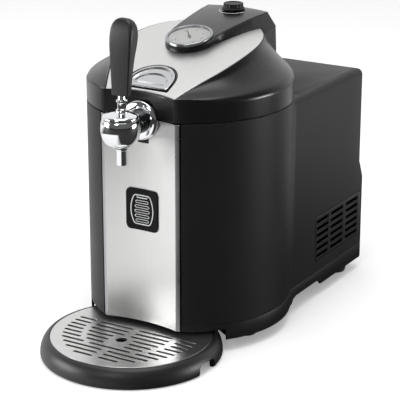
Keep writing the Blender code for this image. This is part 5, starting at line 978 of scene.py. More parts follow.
def polar_on(half, radius, first):
    """The outline with its points from the first one on moved out to a circle."""
    out = list(half[:first])
    for x, y in half[first:]:
        a = math.atan2(y, x)
        out.append((radius * math.cos(a), radius * math.sin(a)))
    return out[:-1] + [(0.0, out[-1][1])]


def box_inset(half, distance):
    """The outline drawn in round the square box, and never inside the barrel's circle."""
    full = cabinet_half(BOX_REAR_HIGH_Y, distance, max(BOX_CORNER_R - distance, BOX_CORNER_R / 5.0))
    out = list(half[:CIRCLE_END + 1])
    for x, y in full[CIRCLE_END + 1:]:
        grow = max(1.0, BODY_R / math.hypot(x, y))
        out.append((x * grow, y * grow))
    return out


def cover_half(grow):
    front_r, side_y = COVER_FRONT_R - grow, COVER_SIDE_Y - grow
    half_w, rear = COVER_HALF_W + grow, COVER_REAR_Y + grow
    start = math.degrees(math.asin(side_y / front_r))
    half = [(0.0, front_r)] + arc(0.0, 0.0, front_r, 90.0, start, 32)[1:] + [(half_w, side_y)]
    half += arc(half_w - COVER_CORNER, rear - COVER_CORNER, COVER_CORNER, 0.0, 90.0, 6)
    return half + [(0.0, rear)]


# Cabinet


def shank_notch():
    return prism([(NOTCH_HALF_W, SEAM_Z + WALL), (-NOTCH_HALF_W, SEAM_Z + WALL), (-NOTCH_HALF_W, TAP_Z)]
                 + arc(0.0, TAP_Z, NOTCH_HALF_W, 180.0, 360.0, 24), -BODY_R, -INNER_FRONT_Y + WALL, "y")


def rear_hole(x, z, width, height, clear):
    """A square hole through the box's rear wall."""
    return box(x - width / 2.0 - clear, x + width / 2.0 + clear, BOX_REAR_LOW_Y - WALL * 2.0, BOX_REAR_LOW_Y + WALL,
               z - height / 2.0 - clear, z + height / 2.0 + clear)


def housing_shell():
    """Round barrel and square box in one thin shell, open below and at its mouth."""
    outer_low, inner_low = cabinet_half(BOX_REAR_LOW_Y), cabinet_half(BOX_REAR_LOW_Y, WALL)
    outer_high, inner_high = cabinet_half(BOX_REAR_HIGH_Y), cabinet_half(BOX_REAR_HIGH_Y, WALL)
    low = BASE_H + GAP
    levels = [(outer_low, low), (outer_low, BOX_STEP_LOW_Z), (outer_high, BOX_STEP_HIGH_Z),
              (outer_high, BOX_TOP_Z - BOX_FILLET)]
    levels += [(box_inset(outer_high, BOX_FILLET * (1.0 - c)), BOX_TOP_Z - BOX_FILLET * (1.0 - s))
               for c, s in turns(8)]
    outer_circle = polar_on(box_inset(outer_high, BOX_FILLET), BODY_R, CIRCLE_END + 1)
    share = (BODY_R - WALL) / BODY_R
    inner_circle = inner_high[:CIRCLE_END + 1] + [(x * share, y * share) for x, y in outer_circle[CIRCLE_END + 1:]]
    levels += [(outer_circle, BOX_TOP_Z), (outer_circle, SEAM_Z), (inner_circle, SEAM_Z),
               (inner_circle, BOX_TOP_Z - CEILING_T), (inner_high, BOX_TOP_Z - CEILING_T),
               (inner_high, BOX_STEP_HIGH_Z), (inner_low, BOX_STEP_LOW_Z), (inner_low, low)]
    cutters = [column(cover_half(GAP), BOX_TOP_Z - COVER_T - GAP, SEAM_Z + COVER_T),
               column(cover_half(-COVER_LEDGE), BOX_TOP_Z - BOX_FILLET * 2.0, SEAM_Z + COVER_T)]
    grille = (GRILLE_FRONT_Y, GRILLE_REAR_Y, GRILLE_LOW_Z, GRILLE_HIGH_Z)
    rear = (-REAR_HALF_W, REAR_HALF_W, REAR_LOW_Z, REAR_HIGH_Z)
    for side in (-1.0, 1.0):
        out = side * (BOX_HALF_W + WALL)
        deep, seat = side * (BOX_HALF_W - WALL * 2.0), side * (BOX_HALF_W - GRILLE_T / 2.0 - GAP)
        cutters += [prism(widened(grille, -GRILLE_LIP, GRILLE_CORNER / 2.0), deep, out, "x"),
                    prism(widened(grille, GAP, GRILLE_CORNER), seat, out, "x")]
    out = BOX_REAR_HIGH_Y + WALL
    cutters += [prism(widened(rear, -REAR_LIP, GRILLE_CORNER / 2.0), BOX_REAR_HIGH_Y - WALL * 2.0, out, "y"),
                prism(widened(rear, GAP, GRILLE_CORNER), BOX_REAR_HIGH_Y - REAR_T / 2.0 - GAP, out, "y"),
                rear_hole(INLET_X, INLET_Z, INLET_W, INLET_H, GAP),
                rear_hole(SWITCH_X, SWITCH_Z, SWITCH_W, SWITCH_H, SWITCH_CLEAR), shank_notch()]
    strikes = [box(side * (LATCH_X - LATCH_HALF_W - GAP), side * (LATCH_X + LATCH_HALF_W + GAP),
                   -INNER_FRONT_Y - WALL / 2.0, -STRIKE_Y, STRIKE_LOW_Z, STRIKE_HIGH_Z) for side in (-1.0, 1.0)]
    return join(cut(loft([at_z(half, z) for half, z in levels], closed=True), cutters), strikes)


def panel_sheet():
    """The steel front, folded back at both sides, with the tap's slot cut from its top."""
    face = front_run(PANEL_HALF_W, PANEL_STEPS)
    for k in (1, 2, 3, 4):
        x = PANEL_HALF_W + (PANEL_EDGE_W - PANEL_HALF_W) * k / 4.0
        face.append((x, -math.sqrt(BODY_R ** 2 - x ** 2)))
    edge_y = -math.sqrt(BODY_R ** 2 - PANEL_EDGE_W ** 2)
    face.append((PANEL_EDGE_W, -PANEL_FOLD_Y))
    back = [(PANEL_EDGE_W - PANEL_T, -PANEL_FOLD_Y), (PANEL_EDGE_W - PANEL_T, edge_y + PANEL_T),
            (PANEL_HALF_W - PANEL_T / 4.0, front_arc_y(PANEL_HALF_W) + PANEL_T)]
    back += front_run(PANEL_HALF_W, PANEL_STEPS, PANEL_T)[PANEL_STEPS - 2::-1]
    outline = face + back + [(-x, y) for x, y in reversed(back[:-1])] + [(-x, y) for x, y in reversed(face[1:])]
    bm = prism(outline, PANEL_LOW_Z, SEAM_Z - PANEL_TOP_GAP)
    return cut(bm, [box(-NOTCH_HALF_W, NOTCH_HALF_W, -BODY_R, -INNER_FRONT_Y, NOTCH_LOW_Z, SEAM_Z + WALL)])


def bent_plate(half_w, half_h, corner, centre_z, front, back):
    """A rounded plate that follows the panel's curve, front and back metres before it."""
    bm = bmesh.new()
    grid = []
    for layer in (front, back):
        rows = []
        for k in range(CURVE_STEPS + 1):
            x = -half_w + 2.0 * half_w * k / CURVE_STEPS
            reach = half_h
            edge = abs(x) - (half_w - corner)
            if edge > 0.0:
                reach = half_h - corner + math.sqrt(max(corner ** 2 - edge ** 2, 0.0))
            y = front_arc_y(x, -layer)
            rows.append((bm.verts.new((x, y, centre_z - reach)), bm.verts.new((x, y, centre_z + reach))))
        grid.append(rows)
    a, b = grid
    for k in range(CURVE_STEPS):
        bm.faces.new((a[k][0], a[k + 1][0], a[k + 1][1], a[k][1]))
        bm.faces.new((b[k][1], b[k + 1][1], b[k + 1][0], b[k][0]))
        bm.faces.new((a[k][1], a[k + 1][1], b[k + 1][1], b[k][1]))
        bm.faces.new((a[k + 1][0], a[k][0], b[k][0], b[k + 1][0]))
    return closed_ends(bm, (a[0][0], a[0][1], b[0][1], b[0][0]), (a[-1][1], a[-1][0], b[-1][0], b[-1][1]))


# Lid


def arc_between(x0, y0, x1, y1, radius, steps):
    """An arc of this radius from one point to another."""
    mx, my, dx, dy = (x0 + x1) / 2.0, (y0 + y1) / 2.0, x1 - x0, y1 - y0
    half = math.hypot(dx, dy) / 2.0
    rise = math.sqrt(radius ** 2 - half ** 2)
    cx, cy = mx - dy / (2.0 * half) * rise, my + dx / (2.0 * half) * rise
    a0 = math.degrees(math.atan2(y0 - cy, x0 - cx))
    a1 = math.degrees(math.atan2(y1 - cy, x1 - cx))
    return arc(cx, cy, radius, a0, a1, steps)


def plate_half():
    """Half of the lid plate's outline: the curved front, the cut corner, then three arcs to its rear end."""
    n, m = 6 * FINE, 3 * FINE
    half = front_run(PLATE_CORNER_X, n, FRONT_SET)
    half[n] = (PLATE_CORNER_X, -PLATE_CORNER_Y)
    half += [(PLATE_CORNER_X + (PLATE_SHOULDER_X - PLATE_CORNER_X) * k / m,
              -PLATE_CORNER_Y + (PLATE_CORNER_Y - PLATE_SHOULDER_Y) * k / m) for k in range(1, m + 1)]
    ends = ((PLATE_SHOULDER_X, -PLATE_SHOULDER_Y), (PLATE_WIDE_X, -PLATE_WIDE_Y),
            (PLATE_REAR_SIDE_X, PLATE_REAR_SIDE_Y), (0.0, PLATE_REAR_END_Y))
    radii = (PLATE_SIDE_R, PLATE_REAR_R, PLATE_REAR_SIDE_X * PLATE_END_BOW)
    for a, b, radius, count in zip(ends, ends[1:], radii, (4, 5, 6)):
        half += arc_between(*a, *b, radius, count * FINE)[1:]
    half[-1] = (0.0, PLATE_REAR_END_Y)
    return half


def rim_half(radius, front_back):
    """Half of the lid's round rim, with as many points as the plate's outline."""
    n = 6 * FINE
    half = front_run(PANEL_HALF_W, n, front_back)
    start = -math.degrees(math.acos(PANEL_HALF_W / radius))
    total = len(plate_half()) - n - 1
    for k in range(total):
        a = math.radians(start + (90.0 - start) * (k + 1) / total)
        half.append((radius * math.cos(a) if k < total - 1 else 0.0, radius * math.sin(a)))
    return half


def rim_z(y):
    share = (-RIM_RISE_REAR_Y - y) / (RIM_RISE_FRONT_Y - RIM_RISE_REAR_Y)
    share = min(max(share, 0.0), 1.0)
    return RIM_Z + RIM_RISE * share * share * (3.0 - 2.0 * share)


def flare(plate, rim, shares, top, edge):
    """Rings from the plate's outline out to the rim; top and edge give their heights."""
    return [[(px + (rx - px) * out, py + (ry - py) * out, top(py) + (edge(ry) - top(py)) * drop)
             for (px, py), (rx, ry) in zip(plate, rim)] for out, drop in shares]


def lid_rings(grow):
    """The flare's outer rings, or larger ones that clear it."""
    shares = zip(smooth_values(FLARE_OUT_SHARES, 3), smooth_values(FLARE_DROP_SHARES, 3))
    return flare(inset(plate_half(), -grow), rim_half(BODY_R + grow, -grow), shares,
                 lambda y: crown_z(y) + grow, lambda y: rim_z(y) + grow)


def lid_edge(grow):
    return at_z(rim_half(BODY_R + grow, -grow), LID_LOW_Z - grow)


def hump_z(y):
    if y >= HUMP_FRONT_DROP_Y:
        return HUMP_TOP_APEX_Z - (HUMP_TOP_R - math.sqrt(HUMP_TOP_R ** 2 - (HUMP_TOP_APEX_Y - y) ** 2))
    slope = math.tan(math.radians(GAUGE_TILT_DEG))
    return hump_z(HUMP_FRONT_DROP_Y) - (HUMP_FRONT_DROP_Y - y) * slope


def hump_half(front_r, side_x, rear_r, rear_x, shrink):
    """Half of the hump's outline at one height: a round nose, its long sides and the rim's arc."""
    r = front_r - shrink
    half = [(r * s, HUMP_FRONT_Y - r * c) for c, s in turns(16, 0, HUMP_NOSE_DEG)]
    half += [(x - shrink, y) for x, y in zip(smooth_values(side_x, FINE), smooth_values(HUMP_SIDE_Y, FINE))]
    rr, rx = rear_r - shrink, rear_x - shrink
    half += arc(0.0, 0.0, rr, math.degrees(math.acos(rx / rr)), 90.0, 20)
    half[-1] = (0.0, rr)
    return half


def hump_top(shrink):
    return hump_half(HUMP_FRONT_R, HUMP_TOP_X, HUMP_TOP_REAR_R, HUMP_TOP_REAR_X, shrink)


def hump_rings(wall):
    """The hump's outer rings, or the hollow inside its wall."""
    foot = hump_half(HUMP_FRONT_R, HUMP_FOOT_X, HUMP_REAR_R, HUMP_FOOT_REAR_X, wall)
    top = hump_top(wall)
    upper = [(x, y, hump_z(y) - HUMP_EDGE - wall) for x, y in top]
    if wall:
        return [at_z(foot, HUMP_LOW_Z), upper]
    # The side breaks from its foot to its steeper top half at the lid, and higher up towards the rear
    base = []
    for (fx, fy), (tx, ty) in zip(foot, top):
        back = min(max(fy / HUMP_REAR_R * 2.0 - 1.0, 0.0), 1.0)
        draw = HUMP_BREAK_DRAW * back
        base.append((fx + (tx - fx) * draw, fy + (ty - fy) * draw,
                     min(crown_z(fy), crown_z(0.0)) - WALL + HUMP_BREAK_RISE * back))
    rings = [at_z(foot, HUMP_LOW_Z), base, upper]
    pairs = list(zip(top, hump_top(HUMP_EDGE)))
    for c, s in turns(6):
        draw = 1.0 - c
        rings.append([(tx + (ex - tx) * draw, ty + (ey - ty) * draw,
                       hump_z(ty + (ey - ty) * draw) - HUMP_EDGE * (1.0 - s)) for (tx, ty), (ex, ey) in pairs])
    return rings


def on_gauge(bm):
    return moved(turned(bm, "X", GAUGE_TILT_DEG), 0.0, -GAUGE_Y, GAUGE_Z)


def gauge_well():
    """The room that the gauge needs, from under its stem to above its rim."""
    low, step = -GAUGE_CASE_DEPTH - GAUGE_STEM_L - GAP, -GAUGE_BEZEL_H - GAP
    return on_gauge(revolve([(0.0, low), (GAUGE_CASE_R + GAP, low), (GAUGE_CASE_R + GAP, step), (GAUGE_R + GAP, step),
                             (GAUGE_R + GAP, GAUGE_R), (0.0, GAUGE_R)], SEG))


def lid_opening():
    """The way through the lid under the hump."""
    rear = HUMP_OPEN_REAR_Y - HUMP_OPEN_IN
    half = [(x, min(y, rear)) for x, y in hump_top(HUMP_OPEN_IN)]
    keep = [p for k, p in enumerate(half) if k in (0, len(half) - 1) or p[1] < rear]
    return column(keep[:-1] + [(keep[-2][0], rear), keep[-1]], LINER_TOP_Z, HUMP_TOP_APEX_Z)


def rear_bow(width, shoulder, depth):
    """A quarter oval from the button's side to the middle of its rear."""
    half = [(width * c, shoulder + depth * s) for c, s in turns(BUTTON_STEPS, 0)]
    return half[:-1] + [(0.0, half[-1][1])]


def button_half(grow):
    """Half of the release button's outline, a straight front and a bowed rear."""
    front, shoulder, width = -BUTTON_FRONT_Y - grow, -BUTTON_FRONT_Y + BUTTON_STRAIGHT, BUTTON_HALF_W + grow
    half = [(0.0, front), (width * 0.5, front)]
    half += [(width - BUTTON_WALL + BUTTON_WALL * s, front + BUTTON_WALL - BUTTON_WALL * c) for c, s in turns(6, 0)]
    return half + rear_bow(width, shoulder, (-BUTTON_REAR_Y + grow) - shoulder)


def button_hole(clear):
    return column(button_half(clear), LID_LOW_Z + WALL, HUMP_TOP_APEX_Z)


def lid_skin():
    """One moulding from the crowned plate's seat, down the flare, to the band's lower edge."""
    rings = [[(x, y, crown_z(y) - PLATE_SEAT) for x, y in inset(plate_half(), GAP)]] + lid_rings(0.0)
    # A second ring below the crease keeps the band's smooth shading from tilting
    rings += [[(x, y, z - BAND_CREASE) for x, y, z in rings[-1]],
              [(x, y, z + LID_SHADOW_GAP) for x, y, z in lid_edge(0.0)]]
    inner_rim = rim_half(BODY_R - LID_WALL, LID_WALL)
    inner = flare(inset(plate_half(), LID_WALL * LID_INNER_SHARE), inner_rim,
                  zip(FLARE_OUT_SHARES[::2] + (1.0,), FLARE_DROP_SHARES[::2] + (1.0,)),
                  lambda y: crown_z(y) - PLATE_SEAT - LID_WALL, lambda y: rim_z(y) - LID_WALL)
    bm = loft(rings + [at_z(inner_rim, LID_LOW_Z + LID_SHADOW_GAP)] + list(reversed(inner)), front=7 * FINE)
    notch = prism([(-LID_NOTCH_HALF_W, LID_LOW_Z - WALL), (LID_NOTCH_HALF_W, LID_LOW_Z - WALL)]
                  + arc(0.0, LID_NOTCH_HIGH_Z - LID_NOTCH_HALF_W, LID_NOTCH_HALF_W, 0.0, 180.0, 24),
                  -BODY_R, -LID_CORE_FRONT_Y, "y")
    return cut(bm, [lid_opening(), button_hole(BUTTON_CLEAR), notch, gauge_well()])


def plate_sheet():
    """The crowned steel plate with its top edge broken, open for the hump, the gauge and the button."""
    ring = inset(plate_half(), PLATE_EDGE_GAP)
    edge = inset(plate_half(), PLATE_EDGE_GAP + PLATE_T * PLATE_BREAK)
    bm = loft([[(x, y, crown_z(y) - PLATE_T) for x, y in ring],
               [(x, y, crown_z(y) - PLATE_T * PLATE_BREAK) for x, y in ring],
               [(x, y, crown_z(y)) for x, y in edge]], front=7 * FINE)
    return cut(bm, [lid_opening(), button_hole(BUTTON_FRAME), gauge_well()])


def hump_shell():
    """The hollow hump, cut to the lid's flare, with the gauge's well and the knob's hole."""
    knob_hole = moved(rod(KNOB_SHAFT_HOLE_R, -KNOB_SHAFT_L * 2.0, KNOB_H, SEG_SMALL), 0.0, KNOB_Y, hump_z(KNOB_Y))
    solid = loft(lid_rings(GAP) + [lid_edge(GAP)], front=7 * FINE)
    return cut(loft(hump_rings(0.0)), [loft(hump_rings(HUMP_WALL)), solid, gauge_well(), knob_hole])


# Small turned and lofted pieces


def ribbed(radius, depth, z):
    """A ring whose edge rises and falls as even ribs."""
    ring = []
    total = KNOB_RIBS * RIB_POINTS
    for k in range(total):
        a = math.tau * k / total
        r = radius - depth * 0.5 * (1.0 - math.cos(a * KNOB_RIBS))
        ring.append((r * math.cos(a), r * math.sin(a), z))
    return ring


def knob_solid():
    """The regulator knob: a plain skirt, a fluted grip that fades into its edge, and a dished top."""
    skirt, top, depth, seat = KNOB_SKIRT_R, KNOB_TOP_R, KNOB_RIB_DEPTH, KNOB_SKIRT_H
    rings = [(skirt - KNOB_BREAK, 0.0, 0.0), (skirt, 0.0, KNOB_BREAK), (skirt, 0.0, seat - KNOB_STEP),
             (skirt - KNOB_STEP, 0.0, seat), (top + KNOB_FILLET, depth, seat + KNOB_FILLET / 2.0),
             (top, depth, seat + KNOB_STEP), (top, depth, KNOB_H - KNOB_EDGE)]
    for k, (c, s) in enumerate(turns(4), 1):
        rings.append((top - KNOB_EDGE * (1.0 - c), depth * (1.0 - k / 4.0), KNOB_H - KNOB_EDGE * (1.0 - s)))
    rings += [(top - KNOB_EDGE - KNOB_DISH_OUT, 0.0, KNOB_H),
              (top - KNOB_EDGE - KNOB_DISH_IN, 0.0, KNOB_H - KNOB_EDGE * 0.5)]
    shaft = rod(KNOB_SHAFT_R, -KNOB_SHAFT_L, seat / 2.0, SEG_SMALL)
    bm = join(full_loft([ribbed(*ring) for ring in rings]), [shaft])
    return moved(bm, 0.0, KNOB_Y, hump_z(KNOB_Y) + KNOB_CLEAR)


def button_dee(draw_x, draw_front, draw_rear, rise):
    """Half of a D, this far inside the button's outline and above the lid's crown."""
    width, front, rear = BUTTON_HALF_W - draw_x, -BUTTON_FRONT_Y + draw_front, -BUTTON_REAR_Y - draw_rear
    shoulder, corner = -BUTTON_FRONT_Y + BUTTON_STRAIGHT, BUTTON_CORNER
    half = [(0.0, front), (width * 0.5, front)] + arc(width - corner, front + corner, corner, -90.0, 0.0, 6)
    return [(x, y, crown_z(y) + rise) for x, y in half + rear_bow(width, shoulder, rear - shoulder)]


def scoop_share(back):
    """How much of the scoop's depth is reached this far behind the button's front edge."""
    share = min(max(back / SCOOP_RUN, 0.0), 1.0)
    return share * share * (3.0 - 2.0 * share)


def button_cap():
    """The release button: a bright rim round a stepped finger scoop, open towards the front edge."""
    top, edge = BUTTON_PROUD, BUTTON_WALL / 2.0
    rings = [button_dee(SKIRT_DRAW, SKIRT_DRAW, SKIRT_DRAW, -BUTTON_SKIRT), button_dee(0.0, 0.0, 0.0, top - edge)]
    for c, s in turns(4):
        draw = edge * (1.0 - c)
        rings.append(button_dee(draw, draw, draw, top - edge * (1.0 - s)))
    for in_x, in_front, in_rear, sink in SCOOP_STEPS:
        rings.append([(x, y, z - sink * scoop_share(y + BUTTON_FRONT_Y))
                      for x, y, z in button_dee(in_x, in_front, in_rear, top)])
    posts = [moved(rod(BUTTON_POST_R, BUTTON_POST_Z, crown_z(-BUTTON_POST_Y), 16),
                   side * BUTTON_POST_X, -BUTTON_POST_Y + BUTTON_WALL, 0.0) for side in (-1.0, 1.0)]
    return join(loft(rings, front=BUTTON_FRONT_POINTS), posts)


def flange_solid():
    """The domed rose behind the coupling."""
    h = FLANGE_FACE_Y - FLANGE_BACK_Y
    profile = [(FLANGE_BORE_R, 0.0), (FLANGE_R, 0.0), (FLANGE_R, FLANGE_EDGE_T)]
    for k in range(1, 15):
        a = math.radians(90.0 - 90.0 * k / 14.0)
        profile.append((COUPLING_R + (FLANGE_R - COUPLING_R) * math.sin(a),
                        FLANGE_EDGE_T + (h - FLANGE_EDGE_T) * math.cos(a)))
    return along_front(revolve(profile + [(FLANGE_BORE_R, h)], SEG), -FLANGE_BACK_Y, TAP_Z)


def coupling_solid():
    """The coupling: turned rings side by side between flange and barrel."""
    reach = COUPLING_FRONT_Y - COUPLING_BACK_Y
    pitch = reach / COUPLING_RINGS
    profile = [(COUPLING_R - COUPLING_RIB * 2.0 + COUPLING_RIB * 2.0 * s ** COUPLING_BLUNT,
                pitch * (ring + 0.5 - 0.5 * c)) for ring in range(COUPLING_RINGS) for c, s in turns(12, 0, 180.0)]
    profile = [(SHANK_R + GAP, 0.0)] + profile + [(SHANK_R + GAP, reach)]
    return along_front(revolve(profile, SEG), -COUPLING_BACK_Y, TAP_Z)


def ball_cup():
    """The round seat that the lever's ball turns in."""
    ball = bmesh.new()
    bmesh.ops.create_uvsphere(ball, u_segments=48, v_segments=32, radius=BALL_CUP_R)
    return moved(ball, 0.0, -STEM_Y, BALL_Z)


def tap_barrel():
    """The tap's bulging round body and the neck to the coupling."""
    middle = BARREL_LOW_Z + (BARREL_HIGH_Z - BARREL_LOW_Z) * BARREL_MID_SHARE
    profile = [(0.0, BARREL_LOW_Z)]
    profile += [(SPOUT_COLLAR_R + (BARREL_R - SPOUT_COLLAR_R) * s ** BARREL_FULL_SHARE,
                 middle - (middle - BARREL_LOW_Z) * c ** BARREL_FULL_SHARE) for c, s in turns(24, 0)]
    profile += [(BARREL_R - BARREL_DRAW_IN * (1.0 - c), middle + (BARREL_HIGH_Z - middle) * s) for c, s in turns(16)]
    bm = moved(revolve(profile + [(0.0, BARREL_HIGH_Z)], SEG), 0.0, -BARREL_Y, 0.0)
    neck = along_front(rod(BARREL_NECK_R, 0.0, BARREL_Y - BARREL_NECK_Y, SEG_MID), -BARREL_NECK_Y, TAP_Z)
    return cut(join(bm, [neck]), [ball_cup()])


def bonnet_solid():
    """The domed bonnet that closes the barrel, open at its top for the lever's stem."""
    low = BARREL_HIGH_Z + GAP
    profile = [(0.0, low), (BONNET_R - GAP, low), (BONNET_R, low + GAP), (BONNET_R, low + BONNET_RIM_H)]
    profile += [(BONNET_SHOULDER_R + (BONNET_R - BONNET_SHOULDER_R) * c,
                 low + BONNET_RIM_H + (BONNET_SHOULDER_Z - low - BONNET_RIM_H) * s) for c, s in turns(12)]
    profile += [(BONNET_TOP_R, BONNET_TOP_Z), (0.0, BONNET_TOP_Z)]
    mouth = revolve([(0.0, 0.0), (BALL_CUP_R, 0.0), (BALL_CUP_R * MOUTH_FLARE, BALL_CUP_R), (0.0, BALL_CUP_R)], 48)
    return cut(moved(revolve(profile, SEG), 0.0, -BARREL_Y, 0.0), [ball_cup(), moved(mouth, 0.0, -STEM_Y, BALL_Z)])


def spout_solid():
    """The spout with its collar."""
    collar = SPOUT_TOP_Z - SPOUT_COLLAR_T
    profile = [(SPOUT_BORE_R, SPOUT_LOW_Z), (SPOUT_R, SPOUT_LOW_Z), (SPOUT_R, collar),
               (SPOUT_COLLAR_R, SPOUT_TOP_Z - SPOUT_COLLAR_T * SPOUT_SLOPE_SHARE), (SPOUT_COLLAR_R, SPOUT_TOP_Z),
               (SPOUT_BORE_R, SPOUT_TOP_Z)]
    return moved(revolve(rounded(profile, SPOUT_ROUND, 3), SEG_MID), 0.0, -SPOUT_Y, 0.0)


def stem_solid():
    """The lever: its ball, the ringed stem and the shank inside the handle."""
    profile = [(0.0, -BALL_R)]
    top_a = math.degrees(math.acos(STEM_R / BALL_R))
    for k in range(1, 25):
        a = math.radians(-90.0 + (90.0 + top_a) * k / 24.0)
        profile.append((BALL_R * math.cos(a), BALL_R * math.sin(a)))
    ring, foot, top = STEM_RING_Z - BALL_Z, HANDLE_LOW_Z - BALL_Z - GAP, STEM_TOP_Z - BALL_Z
    upper = [(STEM_R, ring - STEM_RING_H), (STEM_RING_R, ring - STEM_RING_H / 2.0),
             (STEM_RING_R, ring + STEM_RING_H / 2.0), (STEM_R * STEM_NECK_SHARE, ring + STEM_RING_H),
             (STEM_TOP_R * STEM_FOOT_SHARE, foot), (STEM_TOP_R, foot), (STEM_TOP_R, top), (0.0, top)]
    profile += rounded([profile[-1]] + upper, STEM_ROUND, 3)[1:]
    return moved(revolve(profile, SEG_MID), 0.0, -STEM_Y, BALL_Z)


def handle_solid():
    """The handle: a flat-fronted paddle whose corners soften towards its crown."""
    tables = (HANDLE_LEVELS, HANDLE_HALF_W, HANDLE_FRONT_Y, HANDLE_REAR_Y, HANDLE_CORNER_R)
    rings = [[(x, y, HANDLE_LOW_Z + level) for x, y in rounded_rectangle(-half_w, half_w, -front, -rear, corner)]
             for level, half_w, front, rear, corner in zip(*(smooth_values(table, 6) for table in tables))]
    socket = rod(HANDLE_SOCKET_R, 0.0, HANDLE_SOCKET_L + WALL, 32)
    return cut(full_loft(rings), [moved(socket, 0.0, -STEM_Y, HANDLE_LOW_Z - WALL)])


# Drip tray


def tray_solid():
    """The round tray, with a finger scoop through its skirt on each side."""
    # The skirt swells from the rim and tucks in at the floor
    swell_z, rim_z0 = TRAY_TUCK - FOOT_H, TRAY_TOP_Z - GAP * 2.0
    skirt = [(TRAY_SKIRT_R - TRAY_TUCK * (1.0 - s), swell_z - TRAY_TUCK * c) for c, s in turns(6, 0)]
    skirt += [(TRAY_RIM_R + (TRAY_SKIRT_R - TRAY_RIM_R) * c ** TRAY_SWELL, swell_z + (rim_z0 - swell_z) * s)
              for c, s in turns(12)[:-1]]
    under = [(0.0, -TRAY_UNDER_Z), (TRAY_GUTTER_R - WALL / 2.0, -TRAY_UNDER_Z), (TRAY_GUTTER_R, TRAY_GUTTER_Z),
             (TRAY_GUTTER_OUT_R, TRAY_GUTTER_Z), (TRAY_MID_R - TRAY_WALL, -TRAY_MID_Z),
             (TRAY_SKIRT_R - TRAY_TUCK - TRAY_WALL, -FOOT_H)]
    upper = [(TRAY_RIM_R, rim_z0), (TRAY_RIM_R - GAP * 2.0, TRAY_TOP_Z), (TRAY_LEDGE_R, TRAY_TOP_Z),
             (TRAY_LEDGE_R, TRAY_LEDGE_Z), (TRAY_BASIN_R, TRAY_LEDGE_Z), (TRAY_FLOOR_R, -TRAY_FLOOR_Z),
             (0.0, -TRAY_FLOOR_Z)]
    bm = revolve(rounded(under, TRAY_ROUND, 5) + skirt + rounded(upper, TRAY_ROUND, 5), 192)
    shape = rounded_rectangle(TRAY_Y - SCOOP_FRONT_Y, TRAY_Y - SCOOP_REAR_Y, -FOOT_H - SCOOP_LOW_Z, -SCOOP_HIGH_Z,
                              SCOOP_ROUND)
    scoops = [prism(shape, side * SCOOP_IN_X, side * SCOOP_OUT_X, "x") for side in (-1.0, 1.0)]
    return moved(cut(bm, scoops), 0.0, -TRAY_Y, 0.0)


def drip_plate():
    """The drip plate, with its rows of slots and the drain in its middle."""
    bm = revolve([(0.0, PLATE_LOW_Z), (PLATE_R - GAP, PLATE_LOW_Z), (PLATE_R, PLATE_LOW_Z + GAP),
                  (PLATE_R, PLATE_HIGH_Z - GAP), (PLATE_R - GAP, PLATE_HIGH_Z), (0.0, PLATE_HIGH_Z)], 160)
    slots = []
    for row, divider in enumerate(DIVIDER_X):
        y = TRAY_Y - (ROW_FIRST_Y + ROW_PITCH * row)
        reach = math.sqrt(SLOT_FIELD_R ** 2 - y ** 2)
        inner = DRAIN_CLEAR_X if row in DRAIN_ROWS else SLOT_CENTRE_GAP
        if divider > 0.0:
            outer, inner_end = divider + DIVIDER_HALF_W, divider - DIVIDER_HALF_W
            spans = [(outer, reach), (-reach, -outer)]
            spans += [(-inner_end, inner_end)] if row in BRIDGED_ROWS else [(inner, inner_end), (-inner_end, -inner)]
        else:
            spans = [(inner, reach), (-reach, -inner)]
        slots += [prism(rounded_rectangle(a, b, y - ROW_W / 2.0, y + ROW_W / 2.0, ROW_W * ROUND_END, 4),
                        PLATE_LOW_Z - WALL, PLATE_HIGH_Z + WALL) for a, b in spans]
    slots.append(moved(rod(DRAIN_R, 0.0, TRAY_TOP_Z * 2.0, 48), 0.0, TRAY_Y - DRAIN_Y, 0.0))
    return moved(cut(bm, [merged(slots)]), 0.0, -TRAY_Y, 0.0)


# Gauge


def gauge_case():
    """The gauge's cup and stem, with a small well for the needle's arbor."""
    low, lip, seat = -GAUGE_CASE_DEPTH - GAUGE_STEM_L, -GAUGE_BEZEL_H - GAP, -GAUGE_DIAL_IN - GAUGE_DIAL_T - GAP
    well = -GAUGE_DIAL_IN - GAUGE_WELL_R
    return on_gauge(revolve([
        (0.0, low), (GAUGE_STEM_R, low), (GAUGE_STEM_R, -GAUGE_CASE_DEPTH), (GAUGE_CASE_R, -GAUGE_CASE_DEPTH),
        (GAUGE_CASE_R, lip), (GAUGE_DIAL_R + GAP, lip), (GAUGE_DIAL_R + GAP, seat), (GAUGE_WELL_R, seat),
        (GAUGE_WELL_R, well), (0.0, well)], SEG))


def gauge_bezel():
    """The gauge's bright rim with a rounded outer edge."""
    profile = [(GAUGE_BEZEL_IN_R, -GAUGE_BEZEL_H), (GAUGE_R, -GAUGE_BEZEL_H), (GAUGE_R, -GAUGE_CASE_LIP)]
    profile += [(GAUGE_R - GAUGE_CASE_LIP * (1.0 - c), -GAUGE_CASE_LIP * (1.0 - s)) for c, s in turns(8)]
    return on_gauge(revolve(profile + [(GAUGE_BEZEL_IN_R + GAP, 0.0), (GAUGE_BEZEL_IN_R, -GAP)], SEG))


def needle_solid():
    """The needle's tapered blade on its hub."""
    under, bend = -NEEDLE_IN - NEEDLE_T, NEEDLE_L * NEEDLE_BEND_SHARE
    blade = prism([(-NEEDLE_TAIL, -NEEDLE_W), (-NEEDLE_TAIL, NEEDLE_W), (bend, NEEDLE_W / 2.0), (NEEDLE_L, 0.0),
                   (bend, -NEEDLE_W / 2.0)], under, -NEEDLE_IN)
    hub = rod(NEEDLE_HUB_R, under - GAP, -NEEDLE_IN + GAP / 3.0, 32)
    return on_gauge(join(turned(blade, "Z", NEEDLE_REST_DEG), [hub]))


# What repeats is made by small node trees


